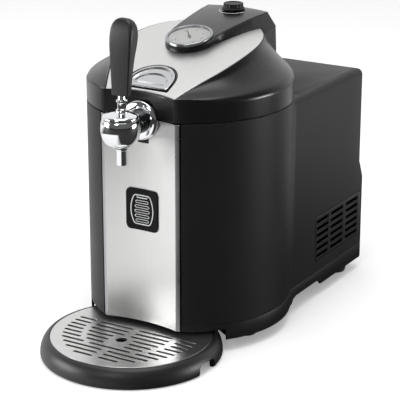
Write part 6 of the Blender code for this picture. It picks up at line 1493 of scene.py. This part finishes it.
def new_tree(name, **sizes):
    """An empty tree with a geometry input, an input for each size, and a finish."""
    tree = bpy.data.node_groups.new(name, "GeometryNodeTree")
    tree.interface.new_socket("Geometry", in_out="INPUT", socket_type="NodeSocketGeometry")
    for key, value in sizes.items():
        kind = {int: "NodeSocketInt", float: "NodeSocketFloat", tuple: "NodeSocketVector"}[type(value)]
        made = tree.interface.new_socket(key.replace("_", " ").capitalize(), in_out="INPUT", socket_type=kind)
        made.default_value = value
    tree.interface.new_socket("Finish", in_out="INPUT", socket_type="NodeSocketMaterial")
    tree.interface.new_socket("Geometry", in_out="OUTPUT", socket_type="NodeSocketGeometry")
    return tree, add(tree, "NodeGroupInput").outputs


def even_points(tree, count):
    """As many points as asked for, and the share of the way along them at which each stands."""
    points = add(tree, "GeometryNodePoints", links={"Count": count})
    index = add(tree, "GeometryNodeInputIndex")
    last = add(tree, "ShaderNodeMath", {1: 1.0}, {0: count}, operation="SUBTRACT")
    return points, last, add(tree, "ShaderNodeMath", links={0: index, 1: last}, operation="DIVIDE")


def close_tree(tree, finish, values=None, **links):
    """Sets the copies on their points, realizes them, sets their finish and sends them out."""
    copies = add(tree, "GeometryNodeInstanceOnPoints", values, links)
    real = add(tree, "GeometryNodeRealizeInstances", links={"Geometry": copies})
    painted = add(tree, "GeometryNodeSetMaterial", links={"Geometry": real, "Material": finish})
    add(tree, "NodeGroupOutput", links={"Geometry": painted})
    return tree


def ring_of_marks():
    """Bars set radially along an arc, such as a dial's ticks."""
    tree, given = new_tree("Ring of marks", count=11, radius=0.02, start=0.0, sweep=3.0, length=0.002, width=0.0004,
                           height=0.0001)
    points, _, share = even_points(tree, given["Count"])
    angle = add(tree, "ShaderNodeMath", links={0: share, 1: given["Sweep"], 2: given["Start"]},
                operation="MULTIPLY_ADD")
    cosine = add(tree, "ShaderNodeMath", links={0: angle}, operation="COSINE")
    sine = add(tree, "ShaderNodeMath", links={0: angle}, operation="SINE")
    x = add(tree, "ShaderNodeMath", links={0: cosine, 1: given["Radius"]}, operation="MULTIPLY")
    y = add(tree, "ShaderNodeMath", links={0: sine, 1: given["Radius"]}, operation="MULTIPLY")
    spot = add(tree, "ShaderNodeCombineXYZ", links={"X": x, "Y": y})
    placed = add(tree, "GeometryNodeSetPosition", links={"Geometry": points, "Position": spot})
    size = add(tree, "ShaderNodeCombineXYZ", links={"X": given["Length"], "Y": given["Width"], "Z": given["Height"]})
    bar = add(tree, "GeometryNodeMeshCube", links={"Size": size})
    turn = add(tree, "ShaderNodeCombineXYZ", links={"Z": angle})
    return close_tree(tree, given["Finish"], Points=placed, Instance=bar, Rotation=turn)


def screws_on_points():
    """A pan-head screw with a cross recess at each of the mesh's points, all turned one way."""
    tree, given = new_tree("Screws on points", head_radius=0.003, head_height=0.0012, turn=(0.0, 0.0, 0.0))
    radius, height = given["Head radius"], given["Head height"]
    lower, long, thin = (add(tree, "ShaderNodeMath", {1: share}, {0: radius}, operation="MULTIPLY")
                         for share in (SCREW_TOP_SHARE, SCREW_SLOT_L, SCREW_SLOT_W))
    head = add(tree, "GeometryNodeMeshCone", {"Vertices": 24},
               {"Radius Bottom": radius, "Radius Top": lower, "Depth": height})
    lift = add(tree, "ShaderNodeCombineXYZ", links={"Z": height})
    bars = add(tree, "GeometryNodeJoinGeometry")
    for x, y in ((long, thin), (thin, long)):
        size = add(tree, "ShaderNodeCombineXYZ", links={"X": x, "Y": y, "Z": height})
        bar = add(tree, "GeometryNodeMeshCube", links={"Size": size})
        up = add(tree, "GeometryNodeTransform", links={"Geometry": bar, "Translation": lift})
        tree.links.new(up.outputs["Geometry"], bars.inputs["Geometry"])
    recess = add(tree, "GeometryNodeMeshBoolean", links={"Mesh 1": head, "Mesh 2": bars}, operation="DIFFERENCE")
    return close_tree(tree, given["Finish"], Points=given["Geometry"], Instance=recess, Rotation=given["Turn"])


def stack_of_loops():
    """Rounded loops of line one above another, wider at mid-height as a barrel is."""
    tree, given = new_tree("Stack of loops", count=5, pitch=0.0057, width=0.017, bulge=0.15, height=0.0033,
                           line=0.001, thickness=0.0002)
    points, last, share = even_points(tree, given["Count"])
    middle = add(tree, "ShaderNodeMath", {1: 0.5}, {0: share}, operation="SUBTRACT")
    height = add(tree, "ShaderNodeMath", links={0: middle, 1: last}, operation="MULTIPLY")
    z = add(tree, "ShaderNodeMath", links={0: height, 1: given["Pitch"]}, operation="MULTIPLY")
    spot = add(tree, "ShaderNodeCombineXYZ", links={"Z": z})
    placed = add(tree, "GeometryNodeSetPosition", links={"Geometry": points, "Position": spot})
    square = add(tree, "ShaderNodeMath", links={0: middle, 1: middle}, operation="MULTIPLY")
    away = add(tree, "ShaderNodeMath", {1: 4.0}, {0: square}, operation="MULTIPLY")
    full = add(tree, "ShaderNodeMath", {0: 1.0}, {1: away}, operation="SUBTRACT")
    stretch = add(tree, "ShaderNodeMath", {2: 1.0}, {0: full, 1: given["Bulge"]}, operation="MULTIPLY_ADD")
    scale = add(tree, "ShaderNodeCombineXYZ", {"Y": 1.0, "Z": 1.0}, {"X": stretch})
    loop = add(tree, "GeometryNodeCurvePrimitiveQuadrilateral",
               links={"Width": given["Width"], "Height": given["Height"]})
    radius = add(tree, "ShaderNodeMath", {1: ROUND_END}, {0: given["Height"]}, operation="MULTIPLY")
    soft = add(tree, "GeometryNodeFilletCurve", {"Count": 6}, {"Curve": loop, "Radius": radius}, mode="POLY")
    dense = add(tree, "GeometryNodeResampleCurve", {"Count": 64}, {"Curve": soft})
    cross = add(tree, "GeometryNodeCurvePrimitiveQuadrilateral",
                links={"Width": given["Line"], "Height": given["Thickness"]})
    tube = add(tree, "GeometryNodeCurveToMesh", links={"Curve": dense, "Profile Curve": cross})
    return close_tree(tree, given["Finish"], {"Rotation": (math.radians(90.0), 0.0, 0.0)}, Points=placed,
                      Instance=tube, Scale=scale)


def grown(tree, finish, points=((0.0, 0.0, 0.0),), **values):
    """Runs a tree on a mesh of points and gives its result as a bmesh."""
    mesh = bpy.data.meshes.new("seed")
    mesh.from_pydata(points, [], [])
    obj = linked("seed", mesh)
    mod = obj.modifiers.new("grow", "NODES")
    mod.node_group = tree
    values["finish"] = FINISHES[finish]
    for item in tree.interface.items_tree:
        key = item.name.replace(" ", "_").lower()
        if item.in_out == "INPUT" and key in values:
            mod[item.identifier] = values[key]
    result = evaluated_mesh(obj)
    obj.modifiers.remove(mod)
    bpy.data.objects.remove(obj, do_unlink=True)
    return from_mesh(result)


def on_panel(bm, layer):
    """Bends a flat mesh in the XZ plane onto the front panel's curve, its own Y kept as thickness."""
    for v in bm.verts:
        v.co.y = front_arc_y(v.co.x, v.co.y - layer)
    return bm


def word(text, size, depth):
    """Plain numerals as a thin mesh, centred on the origin."""
    curve = bpy.data.curves.new("word", "FONT")
    curve.body = text
    curve.size = size
    curve.extrude = depth
    curve.align_x = "CENTER"
    curve.align_y = "CENTER"
    obj = linked("word", curve)
    mesh = evaluated_mesh(obj)
    bpy.data.objects.remove(obj, do_unlink=True)
    return from_mesh(mesh)


# Settings


def length_setting(name, description, default):
    return FloatProperty(name=name, description=description, default=default, unit="LENGTH")


def count_setting(name, description, default):
    return IntProperty(name=name, description=description, default=default, min=2)


def colour_setting(name, description, code):
    return FloatVectorProperty(name=name, description=description, size=4, subtype="COLOR", default=linear(code))


class KegDispenserSizes(bpy.types.PropertyGroup):
    """Sizes a user would change without touching the frame."""

    soft_edge: length_setting("Soft edge", "Radius on moulded corners", 0.0005)
    sheet_edge: length_setting("Sheet edge", "Radius on steel edges", 0.0002)
    dial_marks: count_setting("Dial marks", "Small marks round the gauge", 31)
    dial_numbers: count_setting("Dial numbers", "Numbered marks on the gauge", 7)
    level_loops: count_setting("Level loops", "Loops of the level window's mark", 5)
    screw_radius: length_setting("Screw head", "Radius of a screw's head", 0.0032)
    floor_size: length_setting("Floor", "Side of the floor", 14.0)


class KegDispenserColours(bpy.types.PropertyGroup):
    """Base colours of the main finishes."""

    cabinet: colour_setting("Cabinet", "Moulded cabinet plastic", "161617")
    lid: colour_setting("Lid", "Moulded lid plastic", "0f0f10")
    handle: colour_setting("Handle", "Tap handle plastic", "18181a")
    window: colour_setting("Window", "Level window acrylic", "0b0b0c")
    steel: colour_setting("Steel", "Brushed sheets", "d6d6d5")
    chrome: colour_setting("Chrome", "Tap plating", "e9eaec")
    button: colour_setting("Button", "Release button", "c6c7c9")
    dial: colour_setting("Dial", "Gauge face", "d8d8d6")


# One operator makes each piece or group of like pieces


class KEG_OT_finishes(bpy.types.Operator):
    """Make the finishes that every piece uses"""

    bl_idname = "keg_dispenser.finishes"
    bl_label = "Finishes"

    def execute(self, context):
        make_finishes(context.scene.keg_dispenser_colours)
        return {"FINISHED"}


class KEG_OT_housing(bpy.types.Operator):
    """Make the moulded housing"""

    bl_idname = "keg_dispenser.housing"
    bl_label = "Housing"

    def execute(self, context):
        edge = context.scene.keg_dispenser_sizes.soft_edge
        piece(housing_shell(), "moulded_housing", "black_abs", "cabinet", "housing", edge, SHARP_MOULDED)
        return {"FINISHED"}


class KEG_OT_base(bpy.types.Operator):
    """Dress the base, its feet and the cover on the box"""

    bl_idname = "keg_dispenser.base"
    bl_label = "Base, feet and cover"

    def execute(self, context):
        edge = context.scene.keg_dispenser_sizes.soft_edge
        for node in ("base", "top_cover"):
            dressed(node, "black_abs", "cabinet", edge, SHARP_MOULDED)
        for corner in ("front_left", "front_right", "rear_left", "rear_right"):
            dressed("foot_" + corner, "rubber", "cabinet", edge, SHARP_SHEET)
        return {"FINISHED"}


class KEG_OT_grilles(bpy.types.Operator):
    """Dress the slotted side grilles and the louvred rear panel"""

    bl_idname = "keg_dispenser.grilles"
    bl_label = "Grilles and rear panel"

    def execute(self, context):
        edge = context.scene.keg_dispenser_sizes.soft_edge
        for node in ("side_grille_left", "side_grille_right", "rear_panel"):
            dressed(node, "black_abs", "cabinet", edge * SLAT_EDGE_SHARE, SHARP_MOULDED)
        return {"FINISHED"}


class KEG_OT_front(bpy.types.Operator):
    """Make the folded steel front and its level window"""

    bl_idname = "keg_dispenser.front"
    bl_label = "Front panel and window"

    def execute(self, context):
        sizes = context.scene.keg_dispenser_sizes
        front = piece(panel_sheet(), "steel_front", "panel_steel", "cabinet", "front_panel", sizes.sheet_edge,
                      SHARP_SHEET)
        # The fold's faces take the darker steel: a painted reflection of the dim room beside the lamp
        front.data.materials.append(FINISHES["fold_steel"])
        for face in front.data.polygons:
            if PANEL_HALF_W < abs(face.center.x) < PANEL_EDGE_W and abs(face.normal.z) < 0.5:
                face.material_index = 1
        glass = bent_plate(WINDOW_HALF_W, WINDOW_HALF_H, WINDOW_CORNER_R, WINDOW_Z, WINDOW_T + GAP, GAP)
        piece(glass, "level_window", "gloss_black", "cabinet", "indicator_window", sizes.soft_edge, SHARP_ROUND)
        loops = grown(stack_of_loops(), "ink_light", count=sizes.level_loops, pitch=LOOP_PITCH, width=LOOP_W,
                      bulge=LOOP_BULGE, height=LOOP_H, line=LOOP_LINE, thickness=PRINT_T * 2.0)
        loops = on_panel(moved(loops, 0.0, 0.0, WINDOW_Z - LOOP_DROP), WINDOW_T + GAP)
        piece(loops, "level_loops", "ink_light", "cabinet")
        piece(on_panel(keg_outline(), WINDOW_T + GAP), "level_outline", "ink_light", "cabinet")
        return {"FINISHED"}


class KEG_OT_tap(bpy.types.Operator):
    """Make the chrome tap from flange to spout"""

    bl_idname = "keg_dispenser.tap"
    bl_label = "Tap"

    def execute(self, context):
        piece(flange_solid(), "chrome_flange", "chrome", "cabinet", "tap_flange")
        piece(coupling_solid(), "ringed_coupling", "black_chrome", "cabinet", "tap_coupling")
        piece(tap_barrel(), "chrome_barrel", "chrome", "cabinet", "tap_body")
        piece(bonnet_solid(), "chrome_bonnet", "chrome", "cabinet", "tap_bonnet")
        piece(spout_solid(), "chrome_spout", "chrome", "cabinet", "tap_spout")
        piece(stem_solid(), "chrome_stem", "chrome", "lever", "tap_lever")
        dressed("tap_shank", "chrome", "cabinet")
        return {"FINISHED"}


class KEG_OT_handle(bpy.types.Operator):
    """Make the tap's handle"""

    bl_idname = "keg_dispenser.handle"
    bl_label = "Handle"

    def execute(self, context):
        piece(handle_solid(), "paddle_handle", "handle_abs", "lever", "tap_handle", sharp=SHARP_ROUND)
        return {"FINISHED"}


class KEG_OT_lid(bpy.types.Operator):
    """Make the flared lid, its crowned steel plate and the hump"""

    bl_idname = "keg_dispenser.lid"
    bl_label = "Lid, plate and hump"

    def execute(self, context):
        edge = context.scene.keg_dispenser_sizes.soft_edge
        piece(lid_skin(), "flared_lid", "lid_abs", "lid", "lid_shell", edge, SHARP_MOULDED)
        piece(plate_sheet(), "crowned_plate", "lid_steel", "lid", "lid_plate", sharp=SHARP_SHEET)
        piece(hump_shell(), "rear_hump", "lid_abs", "lid", "hump")
        return {"FINISHED"}


class KEG_OT_gauge(bpy.types.Operator):
    """Make the pressure gauge with its printed scale"""

    bl_idname = "keg_dispenser.gauge"
    bl_label = "Gauge"

    def execute(self, context):
        sizes = context.scene.keg_dispenser_sizes
        piece(gauge_case(), "gauge_cup", "black_abs", "lid", "gauge_case")
        piece(gauge_bezel(), "bright_bezel", "nickel", "lid", "gauge_bezel")
        dial = rod(GAUGE_DIAL_R, -GAUGE_DIAL_IN - GAUGE_DIAL_T, -GAUGE_DIAL_IN, SEG, GAUGE_ARBOR_HOLE_R)
        piece(on_gauge(dial), "dial_face", "dial_white", "lid", "gauge_dial")
        start, sweep = math.radians(DIAL_START_DEG), math.radians(DIAL_SWEEP_DEG)
        ticks = ring_of_marks()
        ink = -GAUGE_DIAL_IN + DIAL_INK_LIFT
        for name, count, (radius, length, width) in (("dial_small_marks", sizes.dial_marks, SMALL_MARK),
                                                     ("dial_large_marks", sizes.dial_numbers, LARGE_MARK)):
            marks = grown(ticks, "ink_dark", count=count, radius=radius, start=start, sweep=sweep, length=length,
                          width=width, height=DIAL_INK_T)
            piece(on_gauge(moved(marks, 0.0, 0.0, ink)), name, "ink_dark", "lid")
        numerals = []
        for k in range(sizes.dial_numbers):
            a = start + sweep * k / (sizes.dial_numbers - 1)
            numerals.append(moved(word(str(k), NUMERAL_H, DIAL_INK_T / 2.0), NUMERAL_R * math.cos(a),
                                  NUMERAL_R * math.sin(a), ink))
        piece(on_gauge(merged(numerals)), "dial_numerals", "ink_dark", "lid")
        piece(needle_solid(), "dial_needle", "gloss_black", "needle", "gauge_needle")
        lens = rod(GAUGE_BEZEL_IN_R - GAP, -GAUGE_LENS_IN - GAUGE_LENS_T, -GAUGE_LENS_IN, SEG)
        piece(on_gauge(lens), "dial_lens", "clear", "lid", "gauge_lens")
        return {"FINISHED"}


class KEG_OT_knob(bpy.types.Operator):
    """Make the regulator knob and the scale round it"""

    bl_idname = "keg_dispenser.knob"
    bl_label = "Regulator knob"

    def execute(self, context):
        piece(knob_solid(), "fluted_knob", "black_abs", "knob", "regulator_knob", sharp=SHARP_ROUND)
        piece(knob_scale(), "knob_scale", "ink_light", "lid")
        return {"FINISHED"}


class KEG_OT_button(bpy.types.Operator):
    """Make the lid's release button"""

    bl_idname = "keg_dispenser.button"
    bl_label = "Release button"

    def execute(self, context):
        piece(button_cap(), "scooped_button", "silver_abs", "button", "release_button", sharp=SHARP_SCOOP)
        return {"FINISHED"}


class KEG_OT_tray(bpy.types.Operator):
    """Make the drip tray and its slotted plate"""

    bl_idname = "keg_dispenser.tray"
    bl_label = "Drip tray"

    def execute(self, context):
        edge = context.scene.keg_dispenser_sizes.sheet_edge
        piece(tray_solid(), "round_tray", "handle_abs", "tray", "tray_body", sharp=SHARP_MOULDED)
        piece(drip_plate(), "slotted_plate", "grille_steel", "grille", "drip_grille", edge)
        return {"FINISHED"}


class KEG_OT_inside(bpy.types.Operator):
    """Dress the chamber, cooling unit, hinge and the lid's inner pieces"""

    bl_idname = "keg_dispenser.inside"
    bl_label = "Inner pieces"

    def execute(self, context):
        for node, finish, body in INNER_PIECES:
            dressed(node, finish, body)
        return {"FINISHED"}


class KEG_OT_screws(bpy.types.Operator):
    """Set the screws that hold the rear panel"""

    bl_idname = "keg_dispenser.screws"
    bl_label = "Screws"

    def execute(self, context):
        x_out, y = REAR_HALF_W - SCREW_IN, BOX_REAR_HIGH_Y + GRILLE_PROUD + SCREW_HEAD_H / 2.0
        spots = [(x, y, z) for x in (-x_out, x_out) for z in (REAR_LOW_Z + SCREW_IN, REAR_HIGH_Z - SCREW_IN)]
        bm = grown(screws_on_points(), "plain_steel", spots, head_height=SCREW_HEAD_H,
                   head_radius=context.scene.keg_dispenser_sizes.screw_radius, turn=(math.radians(-90.0), 0.0, 0.0))
        piece(bm, "rear_screws", "plain_steel", "cabinet")
        return {"FINISHED"}


class KEG_OT_stage(bpy.types.Operator):
    """Set the floor, the lights, the sky and the camera"""

    bl_idname = "keg_dispenser.stage"
    bl_label = "Stage"

    def execute(self, context):
        set_stage(context.scene, context.scene.keg_dispenser_sizes.floor_size)
        return {"FINISHED"}


INNER_PIECES = (
    ("insulation", "foam", "cabinet"), ("chamber", "aluminium", "cabinet"), ("deck_ring", "black_abs", "cabinet"),
    ("mouth_seal", "rubber", "cabinet"), ("cold_block", "aluminium", "cabinet"),
    ("peltier_module", "white_abs", "cabinet"), ("heat_sink", "aluminium", "cabinet"),
    ("fan_frame", "black_abs", "cabinet"), ("fan_rotor", "black_abs", "rotor"),
    ("power_board", "board_green", "cabinet"), ("power_inlet", "black_abs", "cabinet"),
    ("power_switch", "gloss_black", "rocker"), ("hinge_bracket", "plain_steel", "cabinet"),
    ("hinge_pin", "plain_steel", "cabinet"), ("shank_nut", "brass", "cabinet"), ("beer_line", "hose", "cabinet"),
    ("lid_hinge", "plain_steel", "lid"), ("lid_liner", "white_abs", "lid"), ("tapping_head", "black_abs", "lid"),
    ("regulator_body", "brass", "lid"), ("gas_line", "hose", "lid"), ("latch_fork", "plain_steel", "latch"),
    ("co2_cartridge", "plain_steel", "cartridge"),
)


def line_loop(points, width, depth):
    """A closed printed line of even width in the XZ plane."""
    n = len(points)
    bm = bmesh.new()
    rows = []
    for k, (x, z) in enumerate(points):
        (ax, az), (bx, bz) = points[k - 1], points[(k + 1) % n]
        dx, dz = bx - ax, bz - az
        size = math.hypot(dx, dz)
        ox, oz = dz / size * width / 2.0, -dx / size * width / 2.0
        rows.append([bm.verts.new(p) for p in ((x + ox, 0.0, z + oz), (x - ox, 0.0, z - oz), (x - ox, -depth, z - oz),
                                               (x + ox, -depth, z + oz))])
    for k in range(n):
        bridge(bm, rows[k - 1], rows[k])
    bmesh.ops.recalc_face_normals(bm, faces=bm.faces)
    return bm


def keg_outline():
    """The barrel mark of the level window: bowed sides, flat ends and a plug under its top."""
    end, high, soft = KEG_MARK_END_W, KEG_MARK_HALF_H, KEG_MARK_ROUND
    right = []
    for k in range(CURVE_STEPS + 1):
        z = high * (2.0 * k / CURVE_STEPS - 1.0)
        right.append((end + KEG_MARK_BULGE * (1.0 - (z / high) ** 2), z))
    right[0], right[-1] = (end, -high + soft), (end, high - soft)
    points = right + [(end - soft, high), (0.0, high), (-end + soft, high)]
    points += [(-x, z) for x, z in reversed(right)] + [(-end + soft, -high), (end - soft, -high)]
    low, wide, narrow = high - KEG_PLUG_H, KEG_PLUG_HALF_W, KEG_PLUG_HALF_W * KEG_PLUG_TAPER
    plug = [(narrow, low), (wide, high), (0.0, high), (-wide, high), (-narrow, low), (0.0, low)]
    return moved(merged([line_loop(line, PRINT_LINE, PRINT_T) for line in (points, plug)]), 0.0, 0.0, WINDOW_Z)


def knob_scale():
    """The printed wedge that widens round the knob's front."""
    rings = []
    inner = KNOB_SKIRT_R + SCALE_OUT
    for k in range(SCALE_STEPS + 1):
        a = math.radians(SCALE_START_DEG + SCALE_SWEEP_DEG * k / SCALE_STEPS)
        outer = inner + SCALE_THIN + SCALE_WIDEN * k / SCALE_STEPS
        ring = []
        for r, lift in ((inner, SCALE_LOW), (outer, SCALE_LOW), (outer, SCALE_HIGH), (inner, SCALE_HIGH)):
            x, y = r * math.cos(a), KNOB_Y + r * math.sin(a)
            ring.append((x, y, hump_z(y) + lift))
        rings.append(ring)
    return full_loft(rings)


def set_stage(scene, size):
    """A matt white floor with a painted pool of light that only reflections see, a pale sky, four softboxes and the
    photograph's camera.
    """
    floor = bmesh.new()
    bmesh.ops.create_grid(floor, x_segments=1, y_segments=1, size=size / 2.0)
    obj = linked("studio_floor", to_mesh(floor, "studio_floor"))
    paper = bpy.data.materials.new("Matt white studio paper")
    paper.use_nodes = True
    tree = paper.node_tree
    shader = tree.nodes["Principled BSDF"]
    # In reflections alone the floor's colour is painted light: a white pool near the object, painted dark further out
    # and to its right, and lighter again behind it towards the backdrop
    spots = add(tree, "ShaderNodeTexCoord").outputs["Object"]
    away = add(tree, "ShaderNodeVectorMath", {1: POOL_SPOT}, {0: spots}, operation="SUBTRACT")
    near = add(tree, "ShaderNodeVectorMath", links={0: away}, operation="LENGTH").outputs["Value"]
    painted_pool = add(tree, "ShaderNodeMapRange", {"From Min": POOL_NEAR, "From Max": POOL_FAR, "To Min": 1.0,
                                            "To Max": PAINTED_FLOOR_SHADE}, {"Value": near})
    side = add(tree, "ShaderNodeVectorMath", {1: POOL_SIDE}, {0: away}, operation="DOT_PRODUCT").outputs["Value"]
    left = add(tree, "ShaderNodeMapRange", {"From Min": -POOL_SOFT, "From Max": POOL_SOFT, "To Min": 1.0,
                                            "To Max": PAINTED_FLOOR_SHADE}, {"Value": side})
    front = add(tree, "ShaderNodeMath", links={0: painted_pool, 1: left}, operation="MINIMUM")
    rear = add(tree, "ShaderNodeVectorMath", {1: BACKDROP_WAY}, {0: spots}, operation="DOT_PRODUCT").outputs["Value"]
    behind = add(tree, "ShaderNodeMapRange", {"From Min": REAR_NEAR, "From Max": REAR_FAR}, {"Value": rear})
    bright = add(tree, "ShaderNodeMath", links={0: front, 1: behind}, operation="MAXIMUM")
    rays = add(tree, "ShaderNodeLightPath")
    # Only glossy rays see the painted pool; every other ray sees the even white floor
    dim = add(tree, "ShaderNodeMix", {2: 1.0}, {0: rays.outputs["Is Glossy Ray"], 3: bright})
    shade = add(tree, "ShaderNodeMix", {6: (0.0, 0.0, 0.0, 1.0), 7: linear("f6f6f6")}, {0: dim}, data_type="RGBA")
    tree.links.new(shade.outputs[2], shader.inputs["Base Color"])
    lift = add(tree, "ShaderNodeMath", {1: FLOOR_LIFT}, {0: rays.outputs["Is Camera Ray"]}, operation="MULTIPLY")
    tree.links.new(lift.outputs[0], shader.inputs["Emission Strength"])
    preset(shader, {"Emission Color": WHITE, "Roughness": 0.9, "Specular IOR Level": 0.1})
    obj.data.materials.append(paper)
    world = bpy.data.worlds.new("Studio sky")
    world.use_nodes = True
    scene.world = world
    tree = world.node_tree
    sky = tree.nodes["Background"]
    # Reflections see the white backdrop behind the object and a dimmer room in front of it
    ways = add(tree, "ShaderNodeTexCoord").outputs["Generated"]
    facing = add(tree, "ShaderNodeVectorMath", {1: BACKDROP_WAY}, {0: ways}, operation="DOT_PRODUCT").outputs["Value"]
    room = add(tree, "ShaderNodeMapRange", {"From Min": ROOM_NEAR, "From Max": ROOM_FAR, "To Min": ROOM_LEVEL,
                                            "To Max": 1.0}, {"Value": facing}, interpolation_type="SMOOTHSTEP")
    path = add(tree, "ShaderNodeLightPath").outputs
    inside = add(tree, "ShaderNodeMix", {2: SKY_LEVEL}, {0: path["Is Glossy Ray"], 3: room})
    seen = add(tree, "ShaderNodeMath", links={0: path["Is Camera Ray"], 1: path["Is Transmission Ray"]},
               operation="MAXIMUM")
    level = add(tree, "ShaderNodeMix", {3: 1.0}, {0: seen, 2: inside})
    tree.links.new(level.outputs[0], sky.inputs["Strength"])
    preset(sky, {"Color": WHITE})
    for name, spot, width, height, power in LAMPS:
        lamp = bpy.data.lights.new(name, "AREA")
        lamp.shape = "RECTANGLE"
        lamp.size, lamp.size_y, lamp.energy = width, height, power
        obj = linked(name, lamp)
        obj.location = spot
        obj.rotation_euler = (Vector(LAMP_AIM) - Vector(spot)).to_track_quat("-Z", "Y").to_euler()
    data = bpy.data.cameras.new("Photo camera")
    data.lens = CAMERA_LENS
    data.sensor_width = CAMERA_SENSOR
    camera = linked("Photo camera", data)
    camera.location = CAMERA_SPOT
    camera.rotation_euler = (math.radians(90.0 - CAMERA_RISE_DEG), 0.0, math.radians(CAMERA_TURN_DEG))
    scene.camera = camera
    scene.view_settings.view_transform = "Standard"


class KEG_PT_panel(bpy.types.Panel):
    """Lists the steps that build the dispenser"""

    bl_idname = "KEG_PT_panel"
    bl_label = "Keg dispenser"
    bl_space_type = "VIEW_3D"
    bl_region_type = "UI"
    bl_category = "Keg dispenser"

    def draw(self, context):
        layout = self.layout
        for group in (context.scene.keg_dispenser_sizes, context.scene.keg_dispenser_colours):
            for name in group.__annotations__:
                layout.prop(group, name)
        for step in STEPS:
            layout.operator(step.bl_idname)


STEPS = (KEG_OT_finishes, KEG_OT_housing, KEG_OT_base, KEG_OT_grilles, KEG_OT_front, KEG_OT_tap, KEG_OT_handle,
         KEG_OT_lid, KEG_OT_gauge, KEG_OT_knob, KEG_OT_button, KEG_OT_tray, KEG_OT_inside, KEG_OT_screws, KEG_OT_stage)
CLASSES = (KegDispenserSizes, KegDispenserColours) + STEPS + (KEG_PT_panel,)


def register():
    for item in CLASSES:
        bpy.utils.register_class(item)
    bpy.types.Scene.keg_dispenser_sizes = PointerProperty(type=KegDispenserSizes)
    bpy.types.Scene.keg_dispenser_colours = PointerProperty(type=KegDispenserColours)


def unregister():
    del bpy.types.Scene.keg_dispenser_colours
    del bpy.types.Scene.keg_dispenser_sizes
    for item in reversed(CLASSES):
        bpy.utils.unregister_class(item)


def main():
    register()
    for step in STEPS:
        family, name = step.bl_idname.split(".")
        getattr(getattr(bpy.ops, family), name)()


if __name__ == "__main__":
    main()
